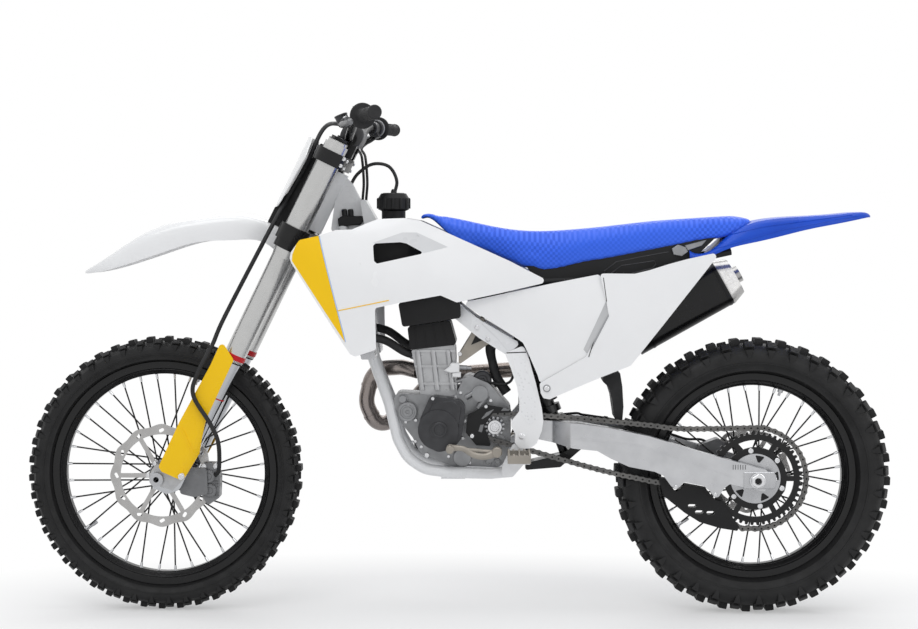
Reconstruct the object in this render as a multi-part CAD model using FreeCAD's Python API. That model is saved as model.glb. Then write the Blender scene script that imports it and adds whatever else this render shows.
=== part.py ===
import FreeCAD, Part
import math
import os

from FreeCAD import Vector

# A motocross bike. Lengths are millimetres. The model is built standing on the ground, +X forward, +Y to
# the rider's left and +Z up, with X = 0 at the rider's place on the seat. Each piece is then lowered by the
# seat height, so that the part's own origin is the top of the seat where the rider sits.

# Driving dimensions
WHEELBASE = 1485.0
SEAT_HEIGHT = 957.0
REAR_AXLE_SETBACK = 532.0
FRONT_TYRE_RADIUS = 348.0
REAR_TYRE_RADIUS = 347.0
RAKE_DEGREES = 26.1
CLAMP_OFFSET = 22.0
AXLE_LEAD = 38.0
FORK_HALF_SPACING = 105.0
CHAIN_LINE = 76.0
CHAIN_PITCH = 15.875
REAR_TEETH = 50
FRONT_TEETH = 13
SPOKE_COUNT = 36
PEG_FOLD_DEGREES = 55.0

# Clearances
RUNNING_GAP = 0.3
SEATED_GAP = 0.3
MOVING_GAP = 6.0
OVERRUN = 20.0
FACE_STEP = 1.0

# Directions
LEFT = Vector(0, 1, 0)
UP = Vector(0, 0, 1)
FORWARD = Vector(1, 0, 0)
ORIGIN = Vector(0, 0, 0)
HALF_TURN = math.pi
FULL_TURN = 2.0 * math.pi
DEGREES_ROUND = 360
HALF_SHARE = 0.5
ROUND_END_SHARE = 0.9

# Limits of the shape helpers
LARGEST_CORNER_SHARE = 0.46
STRAIGHT_COSINE = 0.02
SHORTEST_EDGE = 1e-6

RAKE = math.radians(RAKE_DEGREES)
UP_FORK = Vector(-math.sin(RAKE), 0, math.cos(RAKE))
AHEAD = Vector(math.cos(RAKE), 0, math.sin(RAKE))
FRONT_AXLE = Vector(WHEELBASE - REAR_AXLE_SETBACK, 0, FRONT_TYRE_RADIUS)
REAR_AXLE = Vector(-REAR_AXLE_SETBACK, 0, REAR_TYRE_RADIUS)
STEERING_FOOT = FRONT_AXLE - AHEAD * (CLAMP_OFFSET + AXLE_LEAD)


class Area:
    """A rectangle of the side view, in which an outline is given as shares of its length and height."""

    def __init__(self, rear, bottom, length, height):
        self.rear = rear
        self.bottom = bottom
        self.length = length
        self.height = height

    def x(self, share):
        return self.rear + share * self.length

    def z(self, share):
        return self.bottom + share * self.height

    def points(self, shares):
        return [(self.x(u), self.z(v)) for u, v in shares]


# Shape helpers

def side_view(y):
    """Maps a side-view point to space, at the distance y to the left."""
    return lambda u, v: Vector(u, y, v)


def plan_view(z):
    """Maps a point seen from above to space, at the height z."""
    return lambda u, v: Vector(u, v, z)


def rounded_path(corners, radius, closed):
    """Edges through the corners, each corner an arc of the radius or as large as its two runs allow."""
    count = len(corners)
    starts, ends, arcs = [], [], []
    for i, corner in enumerate(corners):
        if not closed and i in (0, count - 1):
            starts.append(corner)
            ends.append(corner)
            arcs.append(None)
            continue
        back = corners[i - 1] - corner
        on = corners[(i + 1) % count] - corner
        room = LARGEST_CORNER_SHARE * min(back.Length, on.Length)
        back.normalize()
        on.normalize()
        half = math.acos(max(-1.0, min(1.0, back.dot(on)))) / 2.0
        if math.cos(half) < STRAIGHT_COSINE or radius == 0:
            starts.append(corner)
            ends.append(corner)
            arcs.append(None)
            continue
        reach = min(radius / math.tan(half), room)
        bend = reach * math.tan(half)
        inward = (back + on).normalize()
        middle = corner + inward * (bend / math.sin(half) - bend)
        first = corner + back * reach
        last = corner + on * reach
        starts.append(first)
        ends.append(last)
        arcs.append(Part.Arc(first, middle, last).toShape())
    edges = []
    runs = count if closed else count - 1
    for i in range(count):
        if arcs[i] is not None:
            edges.append(arcs[i])
        if i < runs:
            target = starts[(i + 1) % count]
            if (target - ends[i]).Length > SHORTEST_EDGE:
                edges.append(Part.LineSegment(ends[i], target).toShape())
    return edges


def outline(points, radius, place):
    """A closed wire through 2-D points with rounded corners."""
    return Part.Wire(rounded_path([place(u, v) for u, v in points], radius, True))


def plate(points, y_inner, y_outer, radius=0.0):
    """A side-view outline, extruded from one distance to the left to another."""
    wire = outline(points, radius, side_view(y_inner))
    return Part.Face(wire).extrude(LEFT * (y_outer - y_inner))


def plan_prism(points, z_low, z_high, radius=0.0):
    """An outline seen from above, extruded from one height to another."""
    wire = outline(points, radius, plan_view(z_low))
    return Part.Face(wire).extrude(UP * (z_high - z_low))


def smooth_wire(points):
    """A closed smooth wire through the points."""
    curve = Part.BSplineCurve()
    curve.interpolate(Points=points, PeriodicFlag=True)
    return Part.Wire([curve.toShape()])


def ring_section(points):
    """A closed wire of one smooth curve through the points and a straight edge that closes it."""
    curve = Part.BSplineCurve()
    curve.interpolate(Points=points)
    return Part.Wire([curve.toShape(), Part.LineSegment(points[-1], points[0]).toShape()])


def shell_section(points, wall):
    """A closed wire round an open smooth curve: the curve, the curve moved inward by the wall, and its ends.

    The points lie in a plane across the X axis, and inward is towards their middle at the lowest height.
    """
    outer = Part.BSplineCurve()
    outer.interpolate(Points=points)
    inner_points = []
    for i, point in enumerate(points):
        tangent = points[min(i + 1, len(points) - 1)] - points[max(i - 1, 0)]
        normal = Vector(0, -tangent.z, tangent.y).normalize()
        inner_points.append(point - normal * wall)
    inner = Part.BSplineCurve()
    inner.interpolate(Points=inner_points)
    return Part.Wire([
        outer.toShape(),
        Part.LineSegment(points[-1], inner_points[-1]).toShape(),
        inner.toShape(),
        Part.LineSegment(inner_points[0], points[0]).toShape(),
    ])


def rod(start, end, radius):
    """A round bar from one point to another."""
    return Part.makeCylinder(radius, (end - start).Length, start, end - start)


def cross_rod(x, z, y_from, y_to, radius):
    """A round bar across the bike."""
    return rod(Vector(x, y_from, z), Vector(x, y_to, z), radius)


def tube(points, radius, bend_radius):
    """A round bar along straight runs that are joined by tangent arcs."""
    path = Part.Wire(rounded_path(points, bend_radius, False))
    start = points[0]
    ring = Part.Wire([Part.Circle(start, points[1] - start, radius).toShape()])
    return path.makePipeShell([ring], True, False)


def turned(profile, centre, axis, radius=0.0):
    """A body of revolution about an axis through the centre, from (radius, place along the axis) points."""
    across = axis.cross(FORWARD)
    if across.Length < STRAIGHT_COSINE:
        across = axis.cross(LEFT)
    across.normalize()
    along = Vector(axis)
    along.normalize()
    wire = outline(profile, radius, lambda r, s: centre + across * r + along * s)
    return Part.Face(wire).revolve(centre, along, DEGREES_ROUND)


def block(x_low, x_high, y_low, y_high, z_low, z_high):
    """A plain block between two limits on each axis."""
    corner = Vector(x_low, y_low, z_low)
    return Part.makeBox(x_high - x_low, y_high - y_low, z_high - z_low, corner)


def mirrored(shape):
    """The same shape on the bike's other side."""
    return shape.mirror(ORIGIN, LEFT)


def both_sides(shape):
    """A shape and its mirror image, as separate solids."""
    return [shape, mirrored(shape)]


def fused(shapes):
    """One shape from several that overlap."""
    first, rest = shapes[0], shapes[1:]
    return first.multiFuse(rest).removeSplitter() if rest else first


def cut_in_turn(shape, others):
    """The shape with the others cut from it, one after another."""
    for other in others:
        shape = shape.cut(other)
    return shape


def largest(shape, count=1):
    """The largest solids of a shape."""
    solids = sorted(shape.Solids, key=lambda s: -s.Volume)
    return Part.makeCompound(solids[:count]) if count > 1 else solids[0]


def surface_sheet(xs, zs, y_rows, wall, side=1.0):
    """A curved sheet whose distance to the left is given on a grid, thickened towards the middle."""
    grid = [[Vector(x, side * y, z) for z, y in zip(zs, row)] for x, row in zip(xs, y_rows)]
    surface = Part.BSplineSurface()
    surface.interpolate(grid)
    return surface.toShape().extrude(LEFT * (-side * wall))


def fork_point(up, ahead, left):
    """A point given along the steering axis, ahead of it and to the left of it."""
    return STEERING_FOOT + UP_FORK * up + AHEAD * ahead + LEFT * left


PARTS = {}


def keep(name, shapes):
    """Stores a node, lowered so that the rider's place on the seat is the origin."""
    solids = []
    for shape in shapes if isinstance(shapes, list) else [shapes]:
        solids.extend(shape.Solids)
    node = solids[0] if len(solids) == 1 else Part.makeCompound(solids)
    node = node.copy()
    node.translate(UP * -SEAT_HEIGHT)
    PARTS[name] = node


# Wheels

FRONT_RIM_RADIUS = 284.0
FRONT_RIM_WELL = 252.5
FRONT_RIM_HALF_WIDTH = 25.0
REAR_RIM_RADIUS = 258.0
REAR_RIM_WELL = 227.0
REAR_RIM_HALF_WIDTH = 31.0
RIM_WALL = 4.0
RIM_FLOOR = 8.0
RIM_FLOOR_HALF_WIDTH = 10.0
FRONT_TYRE_HALF_WIDTH = 46.0
REAR_TYRE_HALF_WIDTH = 62.0
SPOKE_RADIUS = 2.0
SPOKE_CROSS_DEGREES = 42.0
FRONT_LUGS = 46
REAR_LUGS = 36
FRONT_LUG_HEIGHT = 13.0
REAR_LUG_HEIGHT = 15.0
LUG_SHARE = 0.46
LUG_DRAFT_SHARE = 0.05
FIRST_LUG_DEGREES = -90.0
CROWN_BASE_SHARE = 0.47
CROWN_TIP_SHARE = 0.44
SHOULDER_TIP_SHARES = [(0.50, 0.985), (1.0, 0.80)]
SHOULDER_EDGE_SHARES = (0.91, 0.62)
SIDEWALL_SHARES = [(0.96, 0.45), (0.80, 0.20)]
FRONT_AXLE_RADIUS = 11.0
REAR_AXLE_RADIUS = 12.5
HUB_BARREL_RADIUS = 24.0
HUB_FLANGE_RADIUS = 36.0
HUB_FLANGE_WIDTH = 8.0
HUB_NECK_RADIUS = 20.0
FRONT_HUB_HALF_WIDTH = 52.0
FRONT_FLANGE_PLACE = 34.0
REAR_HUB_HALF_WIDTH = 62.0
REAR_FLANGE_PLACE = 38.0
CARRIER_FLANGE_RADIUS = 62.0
CARRIER_FLANGE_WIDTH = 8.0


def flat_face(corners):
    return Part.Face(Part.makePolygon(corners + corners[:1]))


def ring_point(centre, angle, spot):
    """A place on a wheel, by its angle round the axle and its (radius, distance to the left)."""
    radius, left = spot
    return centre + Vector(math.cos(angle) * radius, left, math.sin(angle) * radius)


def angle_in_plane(centre, corners, spot, near):
    """The angle at which a spot lies in the plane of three corners."""
    radius, left = spot
    normal = (corners[1] - corners[0]).cross(corners[2] - corners[0])
    reach = normal.dot(corners[0] - centre) - normal.y * left
    tilt = math.atan2(normal.z, normal.x)
    swing = math.acos(reach / (radius * math.hypot(normal.x, normal.z)))
    return min((tilt + swing, tilt - swing), key=lambda a: abs(math.remainder(a - near, FULL_TURN)))


def lug_faces(centre, start, end, foot, tip):
    """The five faces of a drafted block; foot and tip each give its two edges as spots."""
    draft = (end - start) * LUG_DRAFT_SHARE
    middle = (start + end) * HALF_SHARE
    first = [ring_point(centre, start, spot) for spot in foot]
    near = ring_point(centre, start + draft, tip[0])
    other = angle_in_plane(centre, first + [near], tip[1], start + draft)
    first += [ring_point(centre, other, tip[1]), near]
    last = [ring_point(centre, end, spot) for spot in foot]
    last += [ring_point(centre, 2.0 * middle - other, tip[1]), ring_point(centre, end - draft, tip[0])]
    faces = [flat_face(first), flat_face(last), flat_face(first[2:] + last[:1:-1])]
    faces.append(flat_face([first[0], last[0], last[3], first[3]]))
    faces.append(flat_face([first[1], last[1], last[2], first[2]]))
    return faces


def sidewall_faces(centre, angles, spots):
    """One side of the carcass along one pitch, from the tread's edge in to the bead and its seat."""
    start, turn, end = angles
    edge = [ring_point(centre, a, spots[0]) for a in angles]
    lower = [[ring_point(centre, a, spot) for a in (start, end)] for spot in spots[1:]]
    faces = [flat_face([edge[0], edge[1], lower[0][0]]), flat_face([edge[1], edge[2], lower[0][1]]),
             flat_face([edge[1], lower[0][1], lower[0][0]])]
    faces += [flat_face([a[0], a[1], b[1], b[0]]) for a, b in zip(lower, lower[1:])]
    return faces


def tyre(centre, outer, half_width, rim_radius, rim_half_width, lugs, lug_height):
    """A flat-faced tyre, on which a crown block and a pair of shoulder blocks take turns round it."""
    height = outer - rim_radius
    pitch = FULL_TURN / lugs
    stretch = 1.0 / math.cos(pitch * HALF_SHARE)
    floor = outer - lug_height
    crown_foot = CROWN_BASE_SHARE * half_width
    crown_tip = CROWN_TIP_SHARE * half_width
    tip = [(rim_radius + v * height, u * half_width) for u, v in SHOULDER_TIP_SHARES]
    side = [(rim_radius + v * height, u * half_width) for u, v in [SHOULDER_EDGE_SHARES] + SIDEWALL_SHARES]
    bead = rim_half_width - RIM_WALL
    side += [(rim_radius * stretch, bead), ((rim_radius - RIM_FLOOR - RIM_WALL) * stretch, bead)]
    faces = []
    for i in range(lugs):
        start = math.radians(FIRST_LUG_DEGREES) + pitch * i
        turn, end = start + pitch * LUG_SHARE, start + pitch
        faces += lug_faces(centre, start, turn, [(floor, -crown_foot), (floor, crown_foot)],
                           [(outer, -crown_tip), (outer, crown_tip)])
        faces.append(flat_face([ring_point(centre, a, (floor, w)) for a, w in (
            (turn, -crown_foot), (turn, crown_foot), (end, crown_foot), (end, -crown_foot))]))
        for sign in (1.0, -1.0):
            spots = [(r, sign * w) for r, w in side]
            foot = [(floor, sign * crown_foot), spots[0]]
            faces += lug_faces(centre, turn, end, foot, [(r, sign * w) for r, w in tip])
            faces.append(flat_face([ring_point(centre, a, spot) for a, spot in (
                (start, foot[0]), (start, foot[1]), (turn, foot[1]), (turn, foot[0]))]))
            faces += sidewall_faces(centre, (start, turn, end), spots)
        seat, place = side[-1]
        faces.append(flat_face([ring_point(centre, a, (seat, w)) for a, w in (
            (start, -place), (start, place), (end, place), (end, -place))]))
    skin = Part.Shell(faces)
    skin.sewShape()
    solid = Part.Solid(skin)
    return solid if solid.Volume > 0 else solid.reversed()


def rim_ring(centre, rim_radius, well, half_width):
    """A rim: two flanges, sloping walls and a flat floor that the spokes enter."""
    seat = rim_radius - RIM_FLOOR - RIM_WALL
    half = [
        (seat, half_width - RIM_WALL), (rim_radius, half_width - RIM_WALL), (rim_radius, half_width),
        (seat - RIM_WALL, half_width), (well, RIM_FLOOR_HALF_WIDTH),
    ]
    profile = half + [(r, -s) for r, s in reversed(half)]
    return turned(profile, centre, LEFT)


def spoke_set(centre, well, flange_place, count):
    """Crossed spokes from the two hub flanges to the rim's floor."""
    spokes = []
    for i in range(count):
        side = 1.0 if i % 2 == 0 else -1.0
        lean = SPOKE_CROSS_DEGREES if (i // 2) % 2 == 0 else -SPOKE_CROSS_DEGREES
        rim_angle = FULL_TURN * (i + HALF_SHARE) / count
        hub_angle = rim_angle + math.radians(lean)
        inner = Vector(math.cos(hub_angle), 0, math.sin(hub_angle)) * (HUB_FLANGE_RADIUS - SPOKE_RADIUS)
        outer = Vector(math.cos(rim_angle), 0, math.sin(rim_angle)) * (well + SPOKE_RADIUS)
        start = centre + inner + LEFT * (side * flange_place)
        end = centre + outer + LEFT * (side * RIM_FLOOR_HALF_WIDTH * HALF_SHARE)
        spokes.append(rod(start, end, SPOKE_RADIUS))
    return spokes




def hub(centre, half_width, flange_place, axle_radius):
    """A hub: a bored barrel with two spoke flanges."""
    bore = axle_radius + RUNNING_GAP
    near = flange_place - HUB_FLANGE_WIDTH * HALF_SHARE
    far = flange_place + HUB_FLANGE_WIDTH * HALF_SHARE
    half = [
        (HUB_BARREL_RADIUS, near), (HUB_FLANGE_RADIUS, near), (HUB_FLANGE_RADIUS, far),
        (HUB_BARREL_RADIUS, far), (HUB_NECK_RADIUS, half_width),
    ]
    profile = [(bore, -half_width)]
    profile += [(r, -s) for r, s in reversed(half)] + half
    profile.append((bore, half_width))
    return turned(profile, centre, LEFT)


WAVE_SHARE = 0.022
WAVES = 12
WAVE_STEPS = 4
DISC_BAND_SHARE = 0.80
DISC_ARM_WIDTH = 11.0
DISC_ARMS = 6
DISC_THICKNESS = 4.0
FRONT_DISC_RADIUS = 130.0
FRONT_DISC_PLACE = 60.0
REAR_DISC_RADIUS = 110.0
REAR_DISC_PLACE = -70.0
DISC_EYE_RADIUS = 26.0
DISC_EYE_WALL = 9.0
DISC_SLOTS = 12
DISC_SLOT_HALF_SHARE = 0.055
DISC_SLOT_HALF_WIDTH = 4.0
DISC_SLOT_LEAN_DEGREES = 62.0


def brake_disc(centre, outer, place, bore):
    """A waved brake disc on a spider with arms, seated on the hub's neck."""
    middle = centre + LEFT * place
    points = []
    for i in range(WAVES * WAVE_STEPS):
        angle = FULL_TURN * i / (WAVES * WAVE_STEPS)
        r = outer * (1.0 - WAVE_SHARE + WAVE_SHARE * math.cos(WAVES * angle))
        points.append(middle + Vector(math.cos(angle) * r, 0, math.sin(angle) * r))
    band = Part.Face(smooth_wire(points)).extrude(LEFT * DISC_THICKNESS)
    hole = rod(middle - LEFT * DISC_THICKNESS, middle + LEFT * (2 * DISC_THICKNESS),
               outer * DISC_BAND_SHARE)
    pieces = [band.cut(hole)]
    eye = rod(middle, middle + LEFT * DISC_THICKNESS, bore + DISC_EYE_WALL)
    pieces.append(eye)
    for i in range(DISC_ARMS):
        angle = FULL_TURN * i / DISC_ARMS
        reach = outer * (DISC_BAND_SHARE + 1.0) * HALF_SHARE
        arm = block(bore, reach, 0, DISC_THICKNESS, -DISC_ARM_WIDTH * HALF_SHARE,
                    DISC_ARM_WIDTH * HALF_SHARE)
        arm.rotate(ORIGIN, LEFT, math.degrees(angle))
        arm.translate(middle)
        pieces.append(arm)
    disc = fused(pieces).cut(disc_slots(middle, outer))
    return disc.cut(rod(middle - LEFT * DISC_THICKNESS, middle + LEFT * (2 * DISC_THICKNESS), bore))


def disc_slots(middle, outer):
    """Leaning slots with round ends through the disc's band."""
    reach = outer * (1.0 + DISC_BAND_SHARE - 2.0 * WAVE_SHARE) * HALF_SHARE
    lean = math.radians(DISC_SLOT_LEAN_DEGREES)
    slots = []
    for i in range(DISC_SLOTS):
        angle = FULL_TURN * i / DISC_SLOTS
        x, z = middle.x + math.cos(angle) * reach, middle.z + math.sin(angle) * reach
        long_x, long_z = math.cos(angle + lean), math.sin(angle + lean)
        half = outer * DISC_SLOT_HALF_SHARE
        corners = []
        for a, b in ((-1, -1), (1, -1), (1, 1), (-1, 1)):
            along, across = a * half, b * DISC_SLOT_HALF_WIDTH
            corners.append((x + long_x * along - long_z * across, z + long_z * along + long_x * across))
        slots.append(plate(corners, middle.y - DISC_THICKNESS, middle.y + 2.0 * DISC_THICKNESS,
                           DISC_SLOT_HALF_WIDTH * ROUND_END_SHARE))
    return slots


def wheel(prefix, centre, rim_radius, well, rim_half_width, hub_half_width, flange_place, axle_radius):
    """The rim with its spokes, and the hub of one wheel."""
    hub_body = hub(centre, hub_half_width, flange_place, axle_radius)
    ring = rim_ring(centre, rim_radius, well, rim_half_width)
    spokes = spoke_set(centre, well, flange_place, SPOKE_COUNT)
    laced = ring.multiFuse(spokes).cut(hub_body)
    keep(prefix + "_wheel_rim", largest(laced))
    return hub_body


def front_wheel():
    keep("front_tyre", tyre(FRONT_AXLE, FRONT_TYRE_RADIUS, FRONT_TYRE_HALF_WIDTH, FRONT_RIM_RADIUS,
                            FRONT_RIM_HALF_WIDTH, FRONT_LUGS, FRONT_LUG_HEIGHT))
    hub_body = wheel("front", FRONT_AXLE, FRONT_RIM_RADIUS, FRONT_RIM_WELL, FRONT_RIM_HALF_WIDTH,
                     FRONT_HUB_HALF_WIDTH, FRONT_FLANGE_PLACE, FRONT_AXLE_RADIUS)
    neck = rod(FRONT_AXLE + LEFT * FRONT_HUB_HALF_WIDTH,
               FRONT_AXLE + LEFT * (FRONT_DISC_PLACE + DISC_THICKNESS), HUB_NECK_RADIUS)
    bore = rod(FRONT_AXLE - LEFT * FRONT_DISC_PLACE, FRONT_AXLE + LEFT * (2 * FRONT_DISC_PLACE),
               FRONT_AXLE_RADIUS + RUNNING_GAP)
    disc = brake_disc(FRONT_AXLE, FRONT_DISC_RADIUS, FRONT_DISC_PLACE, HUB_NECK_RADIUS)
    keep("front_hub", fused([hub_body, neck]).cut(bore))
    keep("front_disc", disc)


SPROCKET_THICKNESS = 6.0
CHAIN_HALF_HEIGHT = 7.5
CHAIN_WAIST_HALF_HEIGHT = 5.6
CHAIN_HALF_WIDTH = 7.0
SPROCKET_CLEARANCE = 1.5
TOOTH_DEPTH = 7.0
TOOTH_TIP_SHARE = 0.18
TOOTH_ROOT_SHARE = 0.32
SPROCKET_BAND = 16.0
SPROCKET_ARMS = 6
SPROCKET_ARM_WIDTH = 13.0
REAR_SPROCKET_EYE = 78.0


def pitch_radius(teeth):
    return CHAIN_PITCH / (2.0 * math.sin(HALF_TURN / teeth))


def toothed_disc(centre, teeth, place, thickness, clearance):
    """A sprocket's toothed outline, with its tips clear of the chain."""
    tip = pitch_radius(teeth) - CHAIN_HALF_HEIGHT - clearance
    root = tip - TOOTH_DEPTH
    points = []
    for i in range(teeth):
        for share, r in ((-TOOTH_ROOT_SHARE, root), (-TOOTH_TIP_SHARE, tip), (TOOTH_TIP_SHARE, tip),
                         (TOOTH_ROOT_SHARE, root)):
            angle = FULL_TURN * (i + share) / teeth
            points.append((centre.x + math.cos(angle) * r, centre.z + math.sin(angle) * r))
    low = place - thickness * HALF_SHARE
    return plate(points, low, low + thickness)


def rear_sprocket():
    """An open sprocket: a toothed ring on arms from an eye that bolts to the hub's carrier."""
    body = toothed_disc(REAR_AXLE, REAR_TEETH, CHAIN_LINE, SPROCKET_THICKNESS, SPROCKET_CLEARANCE)
    low = REAR_AXLE + LEFT * (CHAIN_LINE - SPROCKET_THICKNESS)
    high = REAR_AXLE + LEFT * (CHAIN_LINE + SPROCKET_THICKNESS)
    band_inner = pitch_radius(REAR_TEETH) - CHAIN_HALF_HEIGHT - TOOTH_DEPTH - SPROCKET_BAND
    ring = body.cut(rod(low, high, band_inner))
    arms = []
    for i in range(SPROCKET_ARMS):
        arm = block(REAR_SPROCKET_EYE * HALF_SHARE, band_inner + SPROCKET_BAND * HALF_SHARE,
                    CHAIN_LINE - SPROCKET_THICKNESS * HALF_SHARE,
                    CHAIN_LINE + SPROCKET_THICKNESS * HALF_SHARE,
                    -SPROCKET_ARM_WIDTH * HALF_SHARE, SPROCKET_ARM_WIDTH * HALF_SHARE)
        arm.rotate(ORIGIN, LEFT, DEGREES_ROUND * i / SPROCKET_ARMS)
        arm.translate(REAR_AXLE)
        arms.append(arm)
    eye = rod(REAR_AXLE + LEFT * (CHAIN_LINE - SPROCKET_THICKNESS * HALF_SHARE),
              REAR_AXLE + LEFT * (CHAIN_LINE + SPROCKET_THICKNESS * HALF_SHARE), REAR_SPROCKET_EYE)
    whole = fused([ring, eye] + arms)
    return whole.cut(rod(low, high, CARRIER_FLANGE_RADIUS))


def rear_wheel():
    keep("rear_tyre", tyre(REAR_AXLE, REAR_TYRE_RADIUS, REAR_TYRE_HALF_WIDTH, REAR_RIM_RADIUS,
                           REAR_RIM_HALF_WIDTH, REAR_LUGS, REAR_LUG_HEIGHT))
    hub_body = wheel("rear", REAR_AXLE, REAR_RIM_RADIUS, REAR_RIM_WELL, REAR_RIM_HALF_WIDTH,
                     REAR_HUB_HALF_WIDTH, REAR_FLANGE_PLACE, REAR_AXLE_RADIUS)
    carrier_low = CHAIN_LINE - SPROCKET_THICKNESS * HALF_SHARE
    carrier = rod(REAR_AXLE + LEFT * (carrier_low - CARRIER_FLANGE_WIDTH),
                  REAR_AXLE + LEFT * (CHAIN_LINE + SPROCKET_THICKNESS), CARRIER_FLANGE_RADIUS)
    seat = rod(REAR_AXLE + LEFT * (carrier_low - CARRIER_FLANGE_WIDTH),
               REAR_AXLE + LEFT * carrier_low, REAR_SPROCKET_EYE - SPROCKET_ARM_WIDTH * HALF_SHARE)
    neck = rod(REAR_AXLE + LEFT * (REAR_DISC_PLACE - DISC_THICKNESS),
               REAR_AXLE + LEFT * (CHAIN_LINE + SPROCKET_THICKNESS), HUB_NECK_RADIUS)
    bore = rod(REAR_AXLE - LEFT * (2 * CHAIN_LINE), REAR_AXLE + LEFT * (2 * CHAIN_LINE),
               REAR_AXLE_RADIUS + RUNNING_GAP)
    keep("rear_hub", fused([hub_body, carrier, seat, neck]).cut(bore))
    keep("rear_sprocket", rear_sprocket())
    keep("rear_disc", brake_disc(REAR_AXLE, REAR_DISC_RADIUS, REAR_DISC_PLACE, HUB_NECK_RADIUS))


# Chain

DRIVE_SPROCKET_X = 117.0
DRIVE_SPROCKET_Z = 475.0
UPPER_RUN_SHARES = [(0.19, 0.84), (0.40, 0.52), (0.60, 0.16), (0.73, -0.10)]
LOWER_RUN_SHARES = [(0.26, 0.43), (0.42, 0.55), (0.62, 0.68)]
FRONT_WRAP_START_DEGREES = -62.0
FRONT_WRAP_END_DEGREES = 93.0
REAR_WRAP_START_DEGREES = 94.0
REAR_WRAP_END_DEGREES = 291.0
CHAIN_LINKS = 114
CHAIN_SAMPLES = 12


def arc_points(centre, radius, start_degrees, end_degrees, count):
    """Points at even angles round a centre, in the side view."""
    points = []
    for i in range(count):
        angle = math.radians(start_degrees + (end_degrees - start_degrees) * i / (count - 1))
        points.append(centre + Vector(math.cos(angle), 0, math.sin(angle)) * radius)
    return points


def chain_corners():
    """The pitch line of the chain's loop, as points round both sprockets and along its two runs."""
    front = Vector(DRIVE_SPROCKET_X, CHAIN_LINE, DRIVE_SPROCKET_Z)
    rear = REAR_AXLE + LEFT * CHAIN_LINE
    span = front.x - rear.x
    front_r = pitch_radius(FRONT_TEETH)
    rear_r = pitch_radius(REAR_TEETH)
    rise = (front.z + front_r) - (rear.z + rear_r)
    points = arc_points(front, front_r, FRONT_WRAP_START_DEGREES, FRONT_WRAP_END_DEGREES, CHAIN_SAMPLES)
    for u, v in UPPER_RUN_SHARES:
        points.append(Vector(front.x - u * span, CHAIN_LINE, rear.z + rear_r + v * rise))
    points += arc_points(rear, rear_r, REAR_WRAP_START_DEGREES, REAR_WRAP_END_DEGREES, 2 * CHAIN_SAMPLES)
    drop = (front.z - front_r) - (rear.z - rear_r)
    for u, v in LOWER_RUN_SHARES:
        points.append(Vector(rear.x + u * span, CHAIN_LINE, rear.z - rear_r + v * drop))
    return points


def chain_band(half_height, waist, half_width):
    """A closed band along the chain's pitch line, waisted between the pins."""
    curve = Part.BSplineCurve()
    curve.interpolate(Points=chain_corners(), PeriodicFlag=True)
    edge = curve.toShape()
    outer, inner = [], []
    for i in range(CHAIN_LINKS):
        parameter = edge.getParameterByLength(edge.Length * i / CHAIN_LINKS)
        point = edge.valueAt(parameter)
        ahead = edge.tangentAt(parameter)
        outward = Vector(ahead.z, 0, -ahead.x)
        half = half_height if i % 2 == 0 else waist
        outer.append(point + outward * half)
        inner.append(point - outward * half)
    down = LEFT * -half_width
    faces = []
    for ring in (outer, inner):
        wire = Part.makePolygon([p + down for p in ring] + [ring[0] + down])
        faces.append(Part.Face(wire))
    large, small = sorted(faces, key=lambda f: -f.Area)
    thickness = LEFT * (2.0 * half_width)
    return large.extrude(thickness).cut(small.extrude(thickness))


def chain_loop():
    return chain_band(CHAIN_HALF_HEIGHT, CHAIN_WAIST_HALF_HEIGHT, CHAIN_HALF_WIDTH)


# Frame

HEAD_TUBE_RADIUS = 30.0
HEAD_TUBE_LOW = 718.0
HEAD_TUBE_HIGH = 880.0
STEM_RADIUS = 14.0
HEAD = STEERING_FOOT + UP_FORK * ((HEAD_TUBE_LOW + HEAD_TUBE_HIGH) * HALF_SHARE)
CRADLE_RADIUS = 14.0
CRADLE_BEND = 70.0
CRADLE_X_SHARES = [0.985, 0.80, 0.707, 0.655, 0.598, 0.50, 0.36, 0.126, 0.0]
CRADLE_Z_SHARES = [0.96, 0.432, 0.266, 0.131, 0.06, 0.016, 0.004, 0.0, 0.008]
CRADLE_Y_SHARES = [0.16, 0.30, 0.62, 0.86, 0.94, 0.98, 1.0, 1.0, 1.0]
CRADLE_HALF_WIDTH = 80.0
CRADLE_REAR = 74.0
HEAD_TO_CRADLE = 39.6
CRADLE_BOTTOM = 358.0
CRADLE_BELOW_HEAD = 36.1
CRADLE_LENGTH = HEAD.x - HEAD_TO_CRADLE - CRADLE_REAR
CRADLE_HEIGHT = HEAD.z - CRADLE_BELOW_HEAD - CRADLE_BOTTOM
CRADLE = Area(CRADLE_REAR, CRADLE_BOTTOM, CRADLE_LENGTH, CRADLE_HEIGHT)
BEAM_REAR = 44.0
BEAM_BOTTOM = 640.0
HEAD_TO_BEAM = 73.6
BEAM_ABOVE_HEAD = 45.9
BEAM_LENGTH = HEAD.x - HEAD_TO_BEAM - BEAM_REAR
BEAM_HEIGHT = HEAD.z + BEAM_ABOVE_HEAD - BEAM_BOTTOM
BEAM_SHARES = [
    (0.97, 0.98), (0.76, 0.62), (0.28, 0.245), (0.02, 0.10), (0.10, 0.035), (0.26, 0.13), (0.66, 0.44),
    (0.93, 0.76),
]
BEAM_PLAN_SHARES = [
    (-0.02, 0.86), (0.30, 0.88), (0.70, 0.56), (1.06, 0.18), (1.06, 0.0), (0.88, 0.0), (0.62, 0.32),
    (0.30, 0.61), (-0.02, 0.61),
]
BEAM_PLAN_WIDTH = 118.0
UPRIGHT_REAR = -4.0
UPRIGHT_BOTTOM = 424.0
UPRIGHT_LENGTH = 96.0
UPRIGHT_HEIGHT = 255.0
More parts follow.
